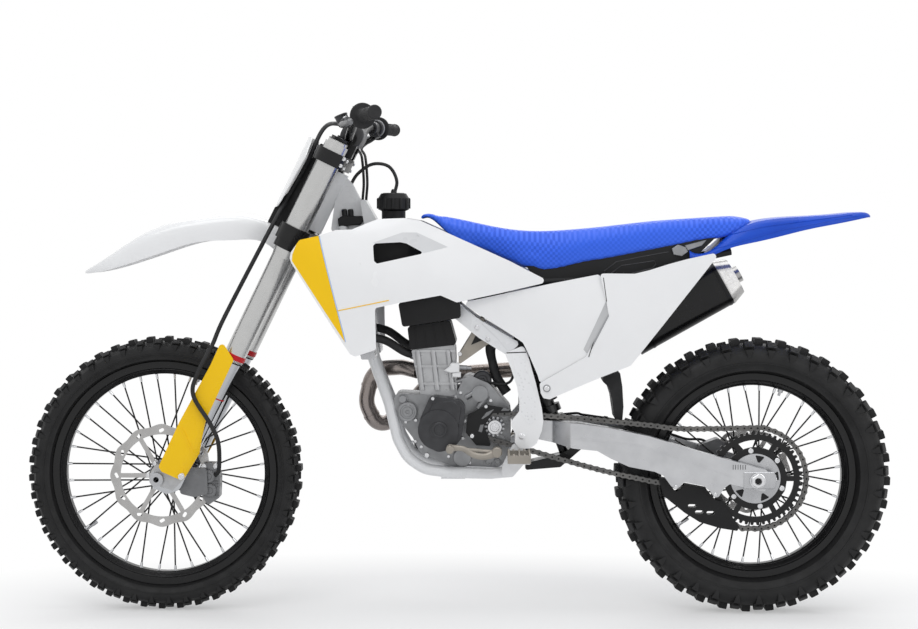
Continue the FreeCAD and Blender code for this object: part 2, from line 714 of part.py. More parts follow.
UPRIGHT_SHARES = [
    (1.0, 0.93), (0.52, 1.0), (0.37, 0.87), (0.19, 0.63), (0.04, 0.39), (0.0, 0.27), (0.04, 0.17),
    (0.17, 0.05), (0.34, 0.0), (0.62, 0.0), (0.74, 0.06), (0.72, 0.14), (0.82, 0.21), (0.82, 0.27),
    (0.62, 0.36), (0.62, 0.46), (0.68, 0.60), (0.84, 0.78),
]
UPRIGHT_INNER = 88.0
UPRIGHT_OUTER = 104.0
GUARD_THICKNESS = 4.0
FOOT_REAR = 40.0
FOOT_BOTTOM = 352.0
FOOT_LENGTH = 58.0
FOOT_HEIGHT = 82.0
FOOT_SHARES = [(0.0, 1.0), (0.55, 1.0), (1.0, 0.35), (1.0, 0.0), (0.55, 0.0), (0.0, 0.45)]
PIVOT_X = 30.0
PIVOT_Z = 468.0
PIVOT_RADIUS = 9.0
CROSS_TUBE_RADIUS = 13.0
UPPER_CROSS_Z = 655.0
SKID_BAR_X = 250.0
SKID_BAR_LENGTH = 60.0
SKID_BAR_HEIGHT = 10.0
HEAD_GUSSET_SHARES = [(0.55, 0.94), (0.46, 0.94), (0.38, 0.86), (0.15, 0.385), (0.25, 0.0), (0.64, 0.29)]
HEAD_GUSSET_LENGTH = 210.0
HEAD_GUSSET_HEIGHT = 205.0
HEAD_GUSSET_BEHIND = 152.6
HEAD_GUSSET_BELOW = 134.1
HEAD_GUSSET_REAR = HEAD.x - HEAD_GUSSET_BEHIND
HEAD_GUSSET_BOTTOM = HEAD.z - HEAD_GUSSET_BELOW
HEAD_GUSSET = Area(HEAD_GUSSET_REAR, HEAD_GUSSET_BOTTOM, HEAD_GUSSET_LENGTH, HEAD_GUSSET_HEIGHT)
HEAD_GUSSET_HALF = 12.0
CORNER = 8.0
BIG_CORNER = 22.0


def head_tube():
    low, high = fork_point(HEAD_TUBE_LOW, 0, 0), fork_point(HEAD_TUBE_HIGH, 0, 0)
    return rod(low, high, HEAD_TUBE_RADIUS)


def head_bore():
    low, high = fork_point(HEAD_TUBE_LOW, 0, 0), fork_point(HEAD_TUBE_HIGH, 0, 0)
    return rod(low - UP_FORK * OVERRUN, high + UP_FORK * OVERRUN, STEM_RADIUS + RUNNING_GAP)


def cradle_points():
    return [
        Vector(CRADLE.x(u), w * CRADLE_HALF_WIDTH, CRADLE.z(v))
        for u, v, w in zip(CRADLE_X_SHARES, CRADLE_Z_SHARES, CRADLE_Y_SHARES)
    ]


def frame_beam():
    """The left spar: its side outline and its plan outline, each extruded, where they meet."""
    area = Area(BEAM_REAR, BEAM_BOTTOM, BEAM_LENGTH, BEAM_HEIGHT)
    side = plate(area.points(BEAM_SHARES), 0, BEAM_PLAN_WIDTH, CORNER)
    plan_points = [(area.x(u), w * BEAM_PLAN_WIDTH) for u, w in BEAM_PLAN_SHARES]
    plan = plan_prism(plan_points, BEAM_BOTTOM, BEAM_BOTTOM + BEAM_HEIGHT, BIG_CORNER)
    return largest(side.common(plan))


def main_frame():
    """Head tube, two spars, double cradle, rear uprights with their feet, and the cross tubes."""
    upright_area = Area(UPRIGHT_REAR, UPRIGHT_BOTTOM, UPRIGHT_LENGTH, UPRIGHT_HEIGHT)
    upright = plate(upright_area.points(UPRIGHT_SHARES), UPRIGHT_INNER, UPRIGHT_OUTER, CORNER)
    foot_area = Area(FOOT_REAR, FOOT_BOTTOM, FOOT_LENGTH, FOOT_HEIGHT)
    foot = plate(foot_area.points(FOOT_SHARES), UPRIGHT_INNER, UPRIGHT_OUTER, CORNER)
    beam = frame_beam()
    cradle = tube(cradle_points(), CRADLE_RADIUS, CRADLE_BEND)
    gusset = plate(HEAD_GUSSET.points(HEAD_GUSSET_SHARES), -HEAD_GUSSET_HALF, HEAD_GUSSET_HALF, CORNER)
    sides = [upright, foot, beam, cradle]
    pieces = [head_tube(), gusset] + sides + [mirrored(s) for s in sides]
    reach = UPRIGHT_INNER + FACE_STEP
    pieces.append(cross_rod(PIVOT_X, FOOT_BOTTOM + CROSS_TUBE_RADIUS, -reach, reach, CROSS_TUBE_RADIUS))
    pieces.append(cross_rod(upright_area.x(HALF_SHARE), UPPER_CROSS_Z, -reach, reach, CROSS_TUBE_RADIUS))
    pieces += peg_brackets()
    pieces.append(block(SKID_BAR_X - SKID_BAR_LENGTH, SKID_BAR_X, -CRADLE_HALF_WIDTH, CRADLE_HALF_WIDTH,
                        CRADLE.bottom - CRADLE_RADIUS, CRADLE.bottom - CRADLE_RADIUS + SKID_BAR_HEIGHT))
    frame = fused(pieces)
    return largest(frame.cut(head_bore()))


def frame_guards():
    """A dimpled plastic guard over each upright."""
    area = Area(UPRIGHT_REAR, UPRIGHT_BOTTOM, UPRIGHT_LENGTH, UPRIGHT_HEIGHT)
    guard = plate(area.points(UPRIGHT_SHARES), UPRIGHT_OUTER, UPRIGHT_OUTER + GUARD_THICKNESS, CORNER)
    return both_sides(guard)


# Steering

LOWER_CLAMP_LOW = 672.0
LOWER_CLAMP_HIGH = 712.0
UPPER_CLAMP_LOW = 886.0
UPPER_CLAMP_HIGH = 920.0
COLLAR_LOW = 652.0
FORK_TOP = 948.0
FORK_OUTER_BOTTOM = 362.0
FORK_UPPER_RADIUS = 30.0
FORK_LOWER_RADIUS = 27.0
FORK_RING_HEIGHT = 17.0
FORK_INNER_RADIUS = 24.0
FORK_INNER_BOTTOM = 34.0
CLAMP_WALL = 10.0
CLAMP_WAIST = 26.0
AXLE_LUG_INNER = 82.0
AXLE_LUG_OUTER = 128.0
AXLE_LUG_RADIUS = 24.0
FORK_CAP_RADIUS = 25.0
FORK_CAP_HEIGHT = 8.0
AXLE_BORE = 7.0
AXLE_HALF_LENGTH = 132.0
AXLE_HEAD_RADIUS = 17.0
AXLE_HEAD_LENGTH = 9.0


def clamp_shape(low, high):
    """One triple clamp: two fork collars and a bridge through the stem."""
    collars = [
        rod(fork_point(low, CLAMP_OFFSET, s * FORK_HALF_SPACING),
            fork_point(high, CLAMP_OFFSET, s * FORK_HALF_SPACING), FORK_UPPER_RADIUS + CLAMP_WALL)
        for s in (-1.0, 1.0)
    ]
    corners = [
        (CLAMP_OFFSET + CLAMP_WAIST, FORK_HALF_SPACING), (CLAMP_OFFSET + CLAMP_WALL, 0),
        (CLAMP_OFFSET + CLAMP_WAIST, -FORK_HALF_SPACING),
        (-CLAMP_WALL, -FORK_HALF_SPACING), (-CLAMP_WAIST, 0), (-CLAMP_WALL, FORK_HALF_SPACING),
    ]
    wire = outline(corners, BIG_CORNER, lambda a, y: fork_point(low, a, y))
    bridge = Part.Face(wire).extrude(UP_FORK * (high - low))
    return fused([bridge] + collars)


def fork_bores(grow):
    """The room that the two fork tubes take in the clamps."""
    return [
        rod(fork_point(FORK_OUTER_BOTTOM, CLAMP_OFFSET, s * FORK_HALF_SPACING),
            fork_point(FORK_TOP, CLAMP_OFFSET, s * FORK_HALF_SPACING), FORK_UPPER_RADIUS + grow)
        for s in (-1.0, 1.0)
    ]


def triple_clamps():
    """Upper and lower clamp on the stem, bored for the fork tubes."""
    stem = rod(fork_point(LOWER_CLAMP_LOW, 0, 0), fork_point(UPPER_CLAMP_HIGH, 0, 0), STEM_RADIUS)
    collars = [
        rod(fork_point(COLLAR_LOW, CLAMP_OFFSET, s * FORK_HALF_SPACING),
            fork_point(LOWER_CLAMP_LOW, CLAMP_OFFSET, s * FORK_HALF_SPACING),
            FORK_UPPER_RADIUS + CLAMP_WALL * HALF_SHARE)
        for s in (-1.0, 1.0)
    ]
    whole = fused([clamp_shape(LOWER_CLAMP_LOW, LOWER_CLAMP_HIGH),
                   clamp_shape(UPPER_CLAMP_LOW, UPPER_CLAMP_HIGH), stem] + collars)
    return whole.cut(fork_bores(0.0))


def fork_outer_tubes():
    """Two outer tubes, wider in the clamps, with their top caps and red wiper rings."""
    tubes = []
    for s in (-1.0, 1.0):
        base = fork_point(0, CLAMP_OFFSET, s * FORK_HALF_SPACING)
        profile = [
            (0, FORK_OUTER_BOTTOM), (FORK_LOWER_RADIUS, FORK_OUTER_BOTTOM),
            (FORK_LOWER_RADIUS, COLLAR_LOW - BIG_CORNER), (FORK_UPPER_RADIUS, COLLAR_LOW),
            (FORK_UPPER_RADIUS, FORK_TOP - FORK_CAP_HEIGHT), (FORK_CAP_RADIUS, FORK_TOP - FORK_CAP_HEIGHT),
            (FORK_CAP_RADIUS, FORK_TOP), (0, FORK_TOP),
        ]
        tubes.append(turned(profile, base, UP_FORK))
    return tubes


def fork_wipers():
    """The wiper rings under the outer tubes."""
    rings = []
    for s in (-1.0, 1.0):
        base = fork_point(0, CLAMP_OFFSET, s * FORK_HALF_SPACING)
        profile = [
            (FORK_INNER_RADIUS, FORK_OUTER_BOTTOM - FORK_RING_HEIGHT),
            (FORK_LOWER_RADIUS, FORK_OUTER_BOTTOM - FORK_RING_HEIGHT),
            (FORK_LOWER_RADIUS, FORK_OUTER_BOTTOM), (FORK_INNER_RADIUS, FORK_OUTER_BOTTOM),
        ]
        rings.append(turned(profile, base, UP_FORK))
    return rings


def fork_inner_tubes():
    """Two sliding tubes with their axle lugs, the left one carrying the caliper bracket."""
    legs = []
    for s in (-1.0, 1.0):
        tube_bar = rod(fork_point(0, CLAMP_OFFSET, s * FORK_HALF_SPACING),
                       fork_point(FORK_OUTER_BOTTOM, CLAMP_OFFSET, s * FORK_HALF_SPACING),
                       FORK_INNER_RADIUS)
        low, high = sorted((s * AXLE_LUG_INNER, s * AXLE_LUG_OUTER))
        corners = [
            (FORK_INNER_BOTTOM * 2, CLAMP_OFFSET + FORK_INNER_RADIUS),
            (0, CLAMP_OFFSET + AXLE_LEAD + AXLE_LUG_RADIUS), (-AXLE_LUG_RADIUS, CLAMP_OFFSET + AXLE_LEAD),
            (-AXLE_LUG_RADIUS, CLAMP_OFFSET), (0, CLAMP_OFFSET - FORK_INNER_RADIUS),
            (FORK_INNER_BOTTOM * 2, CLAMP_OFFSET - FORK_INNER_RADIUS),
        ]
        wire = outline(corners, BIG_CORNER, lambda up, ahead: fork_point(up, ahead, low))
        lug = Part.Face(wire).extrude(LEFT * (high - low))
        leg = fused([tube_bar, lug])
        hole = rod(FRONT_AXLE - LEFT * (2 * AXLE_LUG_OUTER), FRONT_AXLE + LEFT * (2 * AXLE_LUG_OUTER),
                   FRONT_AXLE_RADIUS)
        legs.append(leg.cut(hole))
    return legs


def axle(centre, radius, half_length):
    """A hollow axle with a head at each end."""
    low, high = centre - LEFT * half_length, centre + LEFT * half_length
    bar = rod(low, high, radius)
    heads = [
        rod(low - LEFT * AXLE_HEAD_LENGTH, low, AXLE_HEAD_RADIUS),
        rod(high, high + LEFT * AXLE_HEAD_LENGTH, AXLE_HEAD_RADIUS),
    ]
    hole = rod(low - LEFT * OVERRUN, high + LEFT * OVERRUN, AXLE_BORE)
    return fused([bar] + heads).cut(hole)


FORK_GUARD_BEHIND_AXLE = 194.0
FORK_GUARD_ABOVE_AXLE = -2.0
FORK_GUARD_REAR = FRONT_AXLE.x - FORK_GUARD_BEHIND_AXLE
FORK_GUARD_BOTTOM = FRONT_AXLE.z + FORK_GUARD_ABOVE_AXLE
FORK_GUARD_LENGTH = 188.0
FORK_GUARD_HEIGHT = 346.0
FORK_GUARD_SHARES = [
    (0.158, 1.0), (0.0, 0.865), (0.368, 0.44), (0.43, 0.298), (0.47, 0.191), (0.645, 0.03), (0.697, 0.0),
    (0.961, 0.064), (1.0, 0.099), (0.72, 0.42), (0.303, 0.83),
]
FORK_GUARD_INNER_RADIUS = 31.0
FORK_GUARD_WALL = 3.5
BOLT_X_SHARE = 0.70
BOLT_Z_SHARE = 0.07
BOLT_HEAD_RADIUS = 6.0


def fork_guards():
    """A guard round the front and outside of each sliding tube, cut to its side outline."""
    area = Area(FORK_GUARD_REAR, FORK_GUARD_BOTTOM, FORK_GUARD_LENGTH, FORK_GUARD_HEIGHT)
    outer_y = FORK_HALF_SPACING + FORK_GUARD_INNER_RADIUS + FORK_GUARD_WALL
    inner_y = FORK_HALF_SPACING - FORK_GUARD_INNER_RADIUS
    side = plate(area.points(FORK_GUARD_SHARES), inner_y, outer_y, CORNER)
    low = fork_point(-OVERRUN, CLAMP_OFFSET, FORK_HALF_SPACING)
    high = fork_point(FORK_OUTER_BOTTOM + 2 * OVERRUN, CLAMP_OFFSET, FORK_HALF_SPACING)
    outer_sleeve = rod(low, high, FORK_GUARD_INNER_RADIUS + FORK_GUARD_WALL)
    inner_sleeve = rod(low, high, FORK_GUARD_INNER_RADIUS)
    ahead_block = Part.Face(outline(
        [(CLAMP_OFFSET, inner_y), (2 * AXLE_LEAD + CLAMP_OFFSET, inner_y),
         (2 * AXLE_LEAD + CLAMP_OFFSET, outer_y), (CLAMP_OFFSET, outer_y)],
        0.0, lambda a, y: fork_point(-OVERRUN, a, y))).extrude(UP_FORK * (high - low).Length)
    sleeve = outer_sleeve.fuse(ahead_block).cut(inner_sleeve)
    room = Part.Face(outline(
        [(CLAMP_OFFSET, inner_y + FORK_GUARD_WALL),
         (2 * AXLE_LEAD + CLAMP_OFFSET - FORK_GUARD_WALL, inner_y + FORK_GUARD_WALL),
         (2 * AXLE_LEAD + CLAMP_OFFSET - FORK_GUARD_WALL, outer_y - FORK_GUARD_WALL),
         (CLAMP_OFFSET, outer_y - FORK_GUARD_WALL)],
        0.0, lambda a, y: fork_point(-OVERRUN, a, y))).extrude(UP_FORK * (high - low).Length)
    guard = side.common(sleeve.cut(room))
    lugs = [leg for leg in fork_inner_tubes()]
    bolt = cross_rod(area.x(BOLT_X_SHARE), area.z(BOLT_Z_SHARE), AXLE_LUG_OUTER,
                     outer_y, BOLT_HEAD_RADIUS)
    guard = guard.fuse(bolt).cut(lugs)
    return both_sides(largest(guard))


FENDER_WALL = 3.0
FENDER_STATION_SHARES = [0.0, 0.085, 0.165, 0.255, 0.43, 0.60, 0.78, 0.885, 0.955, 1.0]
FENDER_TOP_SHARES = [0.64, 0.84, 0.94, 1.0, 0.94, 0.825, 0.515, 0.26, 0.11, 0.03]
FENDER_EDGE_SHARES = [0.30, 0.43, 0.57, 0.57, 0.54, 0.37, 0.16, 0.055, 0.01, 0.0]
FENDER_WIDTH_SHARES = [0.62, 0.66, 0.76, 0.88, 1.0, 1.0, 0.98, 0.90, 0.66, 0.30]
FENDER_HALF_WIDTH = 74.0
FENDER_BEHIND_AXLE = 325.0
FENDER_ABOVE_AXLE = 507.0
FENDER_REAR = FRONT_AXLE.x - FENDER_BEHIND_AXLE
FENDER_BOTTOM = FRONT_AXLE.z + FENDER_ABOVE_AXLE
FENDER_LENGTH = 521.0
FENDER_HEIGHT = 148.0
FENDER_CROWN_SHARES = [(1.0, 0.0), (1.0, 0.45), (0.90, 0.86), (0.55, 0.98), (0.0, 1.0)]


def arched_section(x, z_top, z_edge, half_width, wall):
    """A fender's cross section: a thin arch with its two edges hanging down."""
    half = [(u * half_width, z_edge + v * (z_top - z_edge)) for u, v in FENDER_CROWN_SHARES]
    points = [Vector(x, y, z) for y, z in half]
    points += [Vector(x, -y, z) for y, z in reversed(half[:-1])]
    return shell_section(points, wall)


def front_fender():
    area = Area(FENDER_REAR, FENDER_BOTTOM, FENDER_LENGTH, FENDER_HEIGHT)
    sections = [
        arched_section(area.x(u), area.z(top), area.z(edge), w * FENDER_HALF_WIDTH, FENDER_WALL)
        for u, top, edge, w in zip(FENDER_STATION_SHARES, FENDER_TOP_SHARES, FENDER_EDGE_SHARES,
                                   FENDER_WIDTH_SHARES)
    ]
    arch = Part.makeLoft(sections, True, False)
    return largest(arch.cut([triple_clamp_room(), *fork_bores(2 * SEATED_GAP)]))


def triple_clamp_room():
    """The space of the lower clamp, for what is fastened under it."""
    return clamp_shape(LOWER_CLAMP_LOW, LOWER_CLAMP_HIGH)


PLATE_WALL = 3.0
PLATE_ABOVE_AXLE = 674.0
PLATE_BOTTOM = FRONT_AXLE.z + PLATE_ABOVE_AXLE
PLATE_HEIGHT = 174.0
PLATE_BEHIND_AXLE = 368.0
PLATE_TOP_X = FRONT_AXLE.x - PLATE_BEHIND_AXLE
PLATE_SLOPE_X = 86.0
PLATE_TOP_HALF = 108.0
PLATE_ROW_SHARES = [0.0, 0.5, 1.0]
PLATE_COLUMN_SHARES = [-1.0, -0.6, 0.0, 0.6, 1.0]
PLATE_OUTLINE_SHARES = [
    (-0.72, 0.0), (0.72, 0.0), (1.0, 0.70), (0.80, 1.0), (-0.80, 1.0), (-1.0, 0.70),
]
PLATE_SWEEP = 26.0


def number_plate():
    """A curved front plate, swept back at its sides."""
    rows = []
    for v in PLATE_ROW_SHARES:
        z = PLATE_BOTTOM + v * PLATE_HEIGHT
        front = PLATE_TOP_X + (1.0 - v) * PLATE_SLOPE_X
        row = []
        for w in PLATE_COLUMN_SHARES:
            row.append(Vector(front - PLATE_SWEEP * w * w, w * PLATE_TOP_HALF, z))
        rows.append(row)
    surface = Part.BSplineSurface()
    surface.interpolate(rows)
    sheet = surface.toShape().extrude(FORWARD * -PLATE_WALL)
    front_view = [
        (u * PLATE_TOP_HALF, PLATE_BOTTOM + v * PLATE_HEIGHT) for u, v in PLATE_OUTLINE_SHARES
    ]
    wire = outline(front_view, BIG_CORNER, lambda y, z: Vector(PLATE_TOP_X - 2 * PLATE_SWEEP, y, z))
    prism = Part.Face(wire).extrude(FORWARD * (4 * PLATE_SWEEP + PLATE_SLOPE_X))
    return largest(sheet.common(prism))


def hull(side_points, plan_points, corner=CORNER, plan_corner=BIG_CORNER):
    """What lies in both a side-view outline and an outline seen from above."""
    ys = [y for _, y in plan_points]
    zs = [z for _, z in side_points]
    side = plate(side_points, min(ys), max(ys), corner)
    plan = plan_prism(plan_points, min(zs), max(zs), plan_corner)
    return largest(side.common(plan))


# Handlebar and what it carries

BAR_UP = 966.4
BAR_AHEAD = 3.4
BAR_CENTRE = STEERING_FOOT + UP_FORK * BAR_UP + AHEAD * BAR_AHEAD
BAR_BEND_Y = 95.0
BAR_RISE_Y = 215.0
BAR_END_Y = 402.0
BAR_RISE = 42.0
BAR_END_RISE = 3.0
BAR_SWEEP = 26.0
BAR_END_SWEEP = 58.0
BAR_RISE_X = BAR_CENTRE.x - BAR_SWEEP
BAR_RISE_Z = BAR_CENTRE.z + BAR_RISE
BAR_END_X = BAR_RISE_X - BAR_END_SWEEP
BAR_END_Z = BAR_RISE_Z + BAR_END_RISE
BAR_RADIUS = 11.0
BAR_CENTRE_RADIUS = 14.0
BAR_CENTRE_HALF = 62.0
BAR_BEND_RADIUS = 90.0
BAR_CLAMP_Y = 44.0
BAR_CLAMP_HALF = 13.0
BAR_CLAMP_REACH = 20.0
BAR_CLAMP_CROWN = 19.6
GRIP_RADIUS = 16.0
GRIP_START = 285.0
GRIP_FLANGE_RADIUS = 31.0
GRIP_FLANGE_WIDTH = 6.0
GRIP_END_WALL = 4.0
PERCH_START = 236.0
PERCH_END = 262.0
PERCH_RADIUS = 17.0
LEVER_FORWARD = 0.93
LEVER_DOWN = 0.37
LEVER_RADIUS = 5.0
LEVER_TIP_RADIUS = 8.0
LEVER_REACH = 58.0
LEVER_PERCH_REACH = 34.0
RESERVOIR_RADIUS = 15.0
RESERVOIR_LENGTH = 56.0


def bar_point(y, forward=0.0):
    """A point of the bar's end run, or one the given distance ahead of it and slightly below."""
    side = 1.0 if y >= 0 else -1.0
    share = (abs(y) - BAR_RISE_Y) / (BAR_END_Y - BAR_RISE_Y)
    x = BAR_RISE_X + share * (BAR_END_X - BAR_RISE_X)
    z = BAR_RISE_Z + share * (BAR_END_Z - BAR_RISE_Z)
    return Vector(x + LEVER_FORWARD * forward, side * abs(y), z - LEVER_DOWN * forward)


def handlebar():
    """One bar from end to end, thicker in its two clamps, which stand on the upper triple clamp."""
    points = [
        Vector(BAR_END_X, -BAR_END_Y, BAR_END_Z), Vector(BAR_RISE_X, -BAR_RISE_Y, BAR_RISE_Z),
        BAR_CENTRE - LEFT * BAR_BEND_Y, BAR_CENTRE + LEFT * BAR_BEND_Y,
        Vector(BAR_RISE_X, BAR_RISE_Y, BAR_RISE_Z), Vector(BAR_END_X, BAR_END_Y, BAR_END_Z),
    ]
    bar = tube(points, BAR_RADIUS, BAR_BEND_RADIUS)
    centre = cross_rod(BAR_CENTRE.x, BAR_CENTRE.z, -BAR_CENTRE_HALF, BAR_CENTRE_HALF, BAR_CENTRE_RADIUS)
    clamps = []
    for s in (-1.0, 1.0):
        low = s * BAR_CLAMP_Y - BAR_CLAMP_HALF
        top = BAR_UP + BAR_CLAMP_CROWN
        corners = [(UPPER_CLAMP_HIGH, -BAR_CLAMP_REACH), (UPPER_CLAMP_HIGH, BAR_CLAMP_REACH),
                   (top, BAR_CLAMP_REACH), (top, -BAR_CLAMP_REACH)]
        wire = outline(corners, CORNER * HALF_SHARE, lambda up, ahead: fork_point(up, ahead, low))
        clamps.append(Part.Face(wire).extrude(LEFT * (2 * BAR_CLAMP_HALF)))
    return fused([bar, centre] + clamps)


def grips(bar):
    """Two grips with wide inner flanges and closed ends."""
    whole = []
    for s in (-1.0, 1.0):
        inner = bar_point(s * GRIP_START)
        outer = bar_point(s * (BAR_END_Y + GRIP_END_WALL))
        along = (outer - inner).normalize()
        grip = rod(inner, outer, GRIP_RADIUS)
        flange = rod(inner, inner + along * GRIP_FLANGE_WIDTH, GRIP_FLANGE_RADIUS)
        whole.append(largest(grip.fuse(flange).cut(bar)))
    return whole


def lever_set(side, bar):
    """A perch round the bar, its reservoir, and a lever ahead of the grip."""
    first, last = bar_point(side * PERCH_START), bar_point(side * PERCH_END)
    perch = rod(first, last, PERCH_RADIUS)
    arm = rod(bar_point(side * PERCH_END * HALF_SHARE + side * PERCH_START * HALF_SHARE),
              bar_point(side * PERCH_END, LEVER_PERCH_REACH), LEVER_TIP_RADIUS)
    reservoir = rod(bar_point(side * (PERCH_END - RESERVOIR_LENGTH), LEVER_PERCH_REACH),
                    bar_point(side * PERCH_END, LEVER_PERCH_REACH), RESERVOIR_RADIUS)
    path = [bar_point(side * PERCH_END, LEVER_PERCH_REACH), bar_point(side * GRIP_START, LEVER_REACH),
            bar_point(side * (BAR_END_Y - BIG_CORNER), LEVER_REACH)]
    lever = tube(path, LEVER_RADIUS, BIG_CORNER)
    tip = Part.makeSphere(LEVER_TIP_RADIUS, path[-1])
    return largest(fused([perch, arm, reservoir, lever, tip]).cut(bar))


THROTTLE_START = 258.0
THROTTLE_RADIUS = 22.0


def throttle_housing(bar):
    """The throttle's housing between the brake perch and the right grip."""
    body = rod(bar_point(-THROTTLE_START), bar_point(-GRIP_START), THROTTLE_RADIUS)
    return largest(body.cut(bar))


PAD_HALF_WIDTH = 62.0
PAD_BELOW_BAR = 20.4
PAD_ABOVE_BAR = 39.6
PAD_LOW = BAR_UP - PAD_BELOW_BAR
PAD_HIGH = BAR_UP + PAD_ABOVE_BAR
PAD_REAR = -28.0
PAD_FRONT = 34.0


def bar_pad(bar):
    """A foam pad round the bar's middle."""
    corners = [(PAD_LOW, PAD_REAR), (PAD_LOW, PAD_FRONT), (PAD_HIGH, PAD_FRONT), (PAD_HIGH, PAD_REAR)]
    wire = outline(corners, BIG_CORNER, lambda up, ahead: fork_point(up, ahead, -PAD_HALF_WIDTH))
    pad = Part.Face(wire).extrude(LEFT * (2 * PAD_HALF_WIDTH))
    return largest(pad.cut(bar))


MOUNT_AREA_BEHIND_PLATE = 56.0
MOUNT_AREA_BELOW_PLATE = 70.0
MOUNT_AREA_REAR = PLATE_TOP_X - MOUNT_AREA_BEHIND_PLATE
MOUNT_AREA_BOTTOM = PLATE_BOTTOM - MOUNT_AREA_BELOW_PLATE
MOUNT_AREA_LENGTH = 165.0
MOUNT_AREA_HEIGHT = 230.0
MOUNT_AREA = Area(MOUNT_AREA_REAR, MOUNT_AREA_BOTTOM, MOUNT_AREA_LENGTH, MOUNT_AREA_HEIGHT)
MOUNT_SHARES = [
    (0.697, 0.0), (0.909, 0.052), (1.0, 0.074), (0.818, 0.335), (0.606, 0.487), (0.455, 0.617),
    (0.139, 1.0), (0.0, 0.926), (0.28, 0.50), (0.42, 0.16),
]
MOUNT_HALF = 38.0


def plate_mount(others):
    """The bracket between the two clamps that the number plate hangs on."""
    body = plate(MOUNT_AREA.points(MOUNT_SHARES), -MOUNT_HALF, MOUNT_HALF, CORNER * HALF_SHARE)
    return largest(body.cut(others))


CALIPER_SLOT_GAP = 2.0
FRONT_CALIPER_BEHIND_AXLE = 150.0
FRONT_CALIPER_ABOVE_AXLE = -73.0
FRONT_CALIPER_REAR = FRONT_AXLE.x - FRONT_CALIPER_BEHIND_AXLE
FRONT_CALIPER_BOTTOM = FRONT_AXLE.z + FRONT_CALIPER_ABOVE_AXLE
FRONT_CALIPER_LENGTH = 57.0
FRONT_CALIPER_HEIGHT = 107.0
FRONT_CALIPER = Area(FRONT_CALIPER_REAR, FRONT_CALIPER_BOTTOM, FRONT_CALIPER_LENGTH, FRONT_CALIPER_HEIGHT)
CALIPER_SHARES = [
    (0.77, 1.0), (0.12, 1.0), (0.0, 0.65), (0.035, 0.19), (0.56, 0.0), (0.86, 0.31), (1.0, 0.65),
]
FRONT_CALIPER_INNER = 44.0
FRONT_CALIPER_OUTER = 84.0
FRONT_BRACKET_OUTER = 98.0
BRACKET_SHARES = [(0.55, 0.90), (0.50, 0.30), (1.10, 0.22), (1.72, 0.30), (1.72, 0.90)]


def disc_room(centre, outer, place):
    low = centre + LEFT * (place - CALIPER_SLOT_GAP)
    high = centre + LEFT * (place + DISC_THICKNESS + CALIPER_SLOT_GAP)
    return rod(low, high, outer + CALIPER_SLOT_GAP)


def front_caliper(legs):
    """The caliper astride the disc, on a bracket behind the left leg."""
    body = plate(FRONT_CALIPER.points(CALIPER_SHARES), FRONT_CALIPER_INNER, FRONT_CALIPER_OUTER, CORNER)
    body = body.cut(disc_room(FRONT_AXLE, FRONT_DISC_RADIUS, FRONT_DISC_PLACE))
    bracket = plate(FRONT_CALIPER.points(BRACKET_SHARES), FRONT_CALIPER_OUTER - FACE_STEP,
                    FRONT_BRACKET_OUTER, CORNER)
    return largest(body.fuse(bracket).cut(legs))


HOSE_RADIUS = 4.5
HOSE_BEND = 34.0
FRONT_HOSE = [
    (815.0, 84.0, 352.0), (800.0, 120.0, 372.0), (797.0, 147.0, 440.0), (816.0, 150.0, 488.0),
    (858.0, 149.0, 560.0), (846.0, 145.0, 615.0), (814.0, 126.0, 680.0), (784.0, 110.0, 752.0),
    (676.0, 104.0, 958.0), (636.0, 62.0, 1040.0), (585.0, 58.0, 1130.0), (548.0, 20.0, 1216.0),
    (520.0, -90.0, 1236.0), (476.0, -214.0, 1216.0),
]


def hose(points, radius, others):
    """A hose through the points, trimmed where it enters what it joins."""
    body = tube([Vector(*p) for p in points], radius, HOSE_BEND)
    return largest(body.cut(others))


# Engine

CRANKCASE_REAR = 67.0
CRANKCASE_BOTTOM = 370.0
CRANKCASE_LENGTH = 304.0
CRANKCASE_HEIGHT = 236.0
CRANKCASE = Area(CRANKCASE_REAR, CRANKCASE_BOTTOM, CRANKCASE_LENGTH, CRANKCASE_HEIGHT)
CRANKCASE_SHARES = [
    (0.977, 0.788), (1.0, 0.682), (0.934, 0.475), (0.839, 0.318), (0.773, 0.14), (0.526, 0.021),
    (0.122, 0.0), (0.056, 0.106), (0.03, 0.318), (0.03, 0.631), (0.211, 0.894), (0.405, 1.0),
    (0.487, 0.758),
]
CRANKCASE_HALF = 58.0
LEFT_BOSSES = [(0.885, 0.595, 21.0, 72.0), (0.915, 0.73, 11.0, 66.0), (0.43, 0.115, 17.0, 66.0),
               (0.20, 0.10, 10.0, 64.0), (0.285, 0.79, 20.0, 70.0), (0.13, 0.30, 15.0, 66.0)]
RIGHT_BOSSES = [(0.80, 0.45, 30.0, 78.0), (0.86, 0.66, 14.0, 70.0), (0.13, 0.30, 16.0, 68.0)]
IGNITION_COVER_REAR = 190.0
IGNITION_COVER_BOTTOM = 415.0
IGNITION_COVER_LENGTH = 115.0
IGNITION_COVER_HEIGHT = 140.0
IGNITION_COVER = Area(IGNITION_COVER_REAR, IGNITION_COVER_BOTTOM, IGNITION_COVER_LENGTH,
                      IGNITION_COVER_HEIGHT)
IGNITION_SHARES = [
    (1.0, 0.40), (0.86, 0.12), (0.574, 0.0), (0.25, 0.06), (0.078, 0.243), (0.017, 0.507), (0.0, 0.879),
    (0.278, 0.95), (0.748, 1.0), (0.957, 0.607),
]
IGNITION_OUTER = 118.0
IGNITION_PLUG_X = 256.0
IGNITION_PLUG_Z = 471.0
IGNITION_BOSS_RADIUS = 50.0
IGNITION_BOSS_OUTER = 124.0
IGNITION_PLUG_RADIUS = 20.0
IGNITION_PLUG_OUTER = 128.0
CLUTCH_COVER_X = 205.0
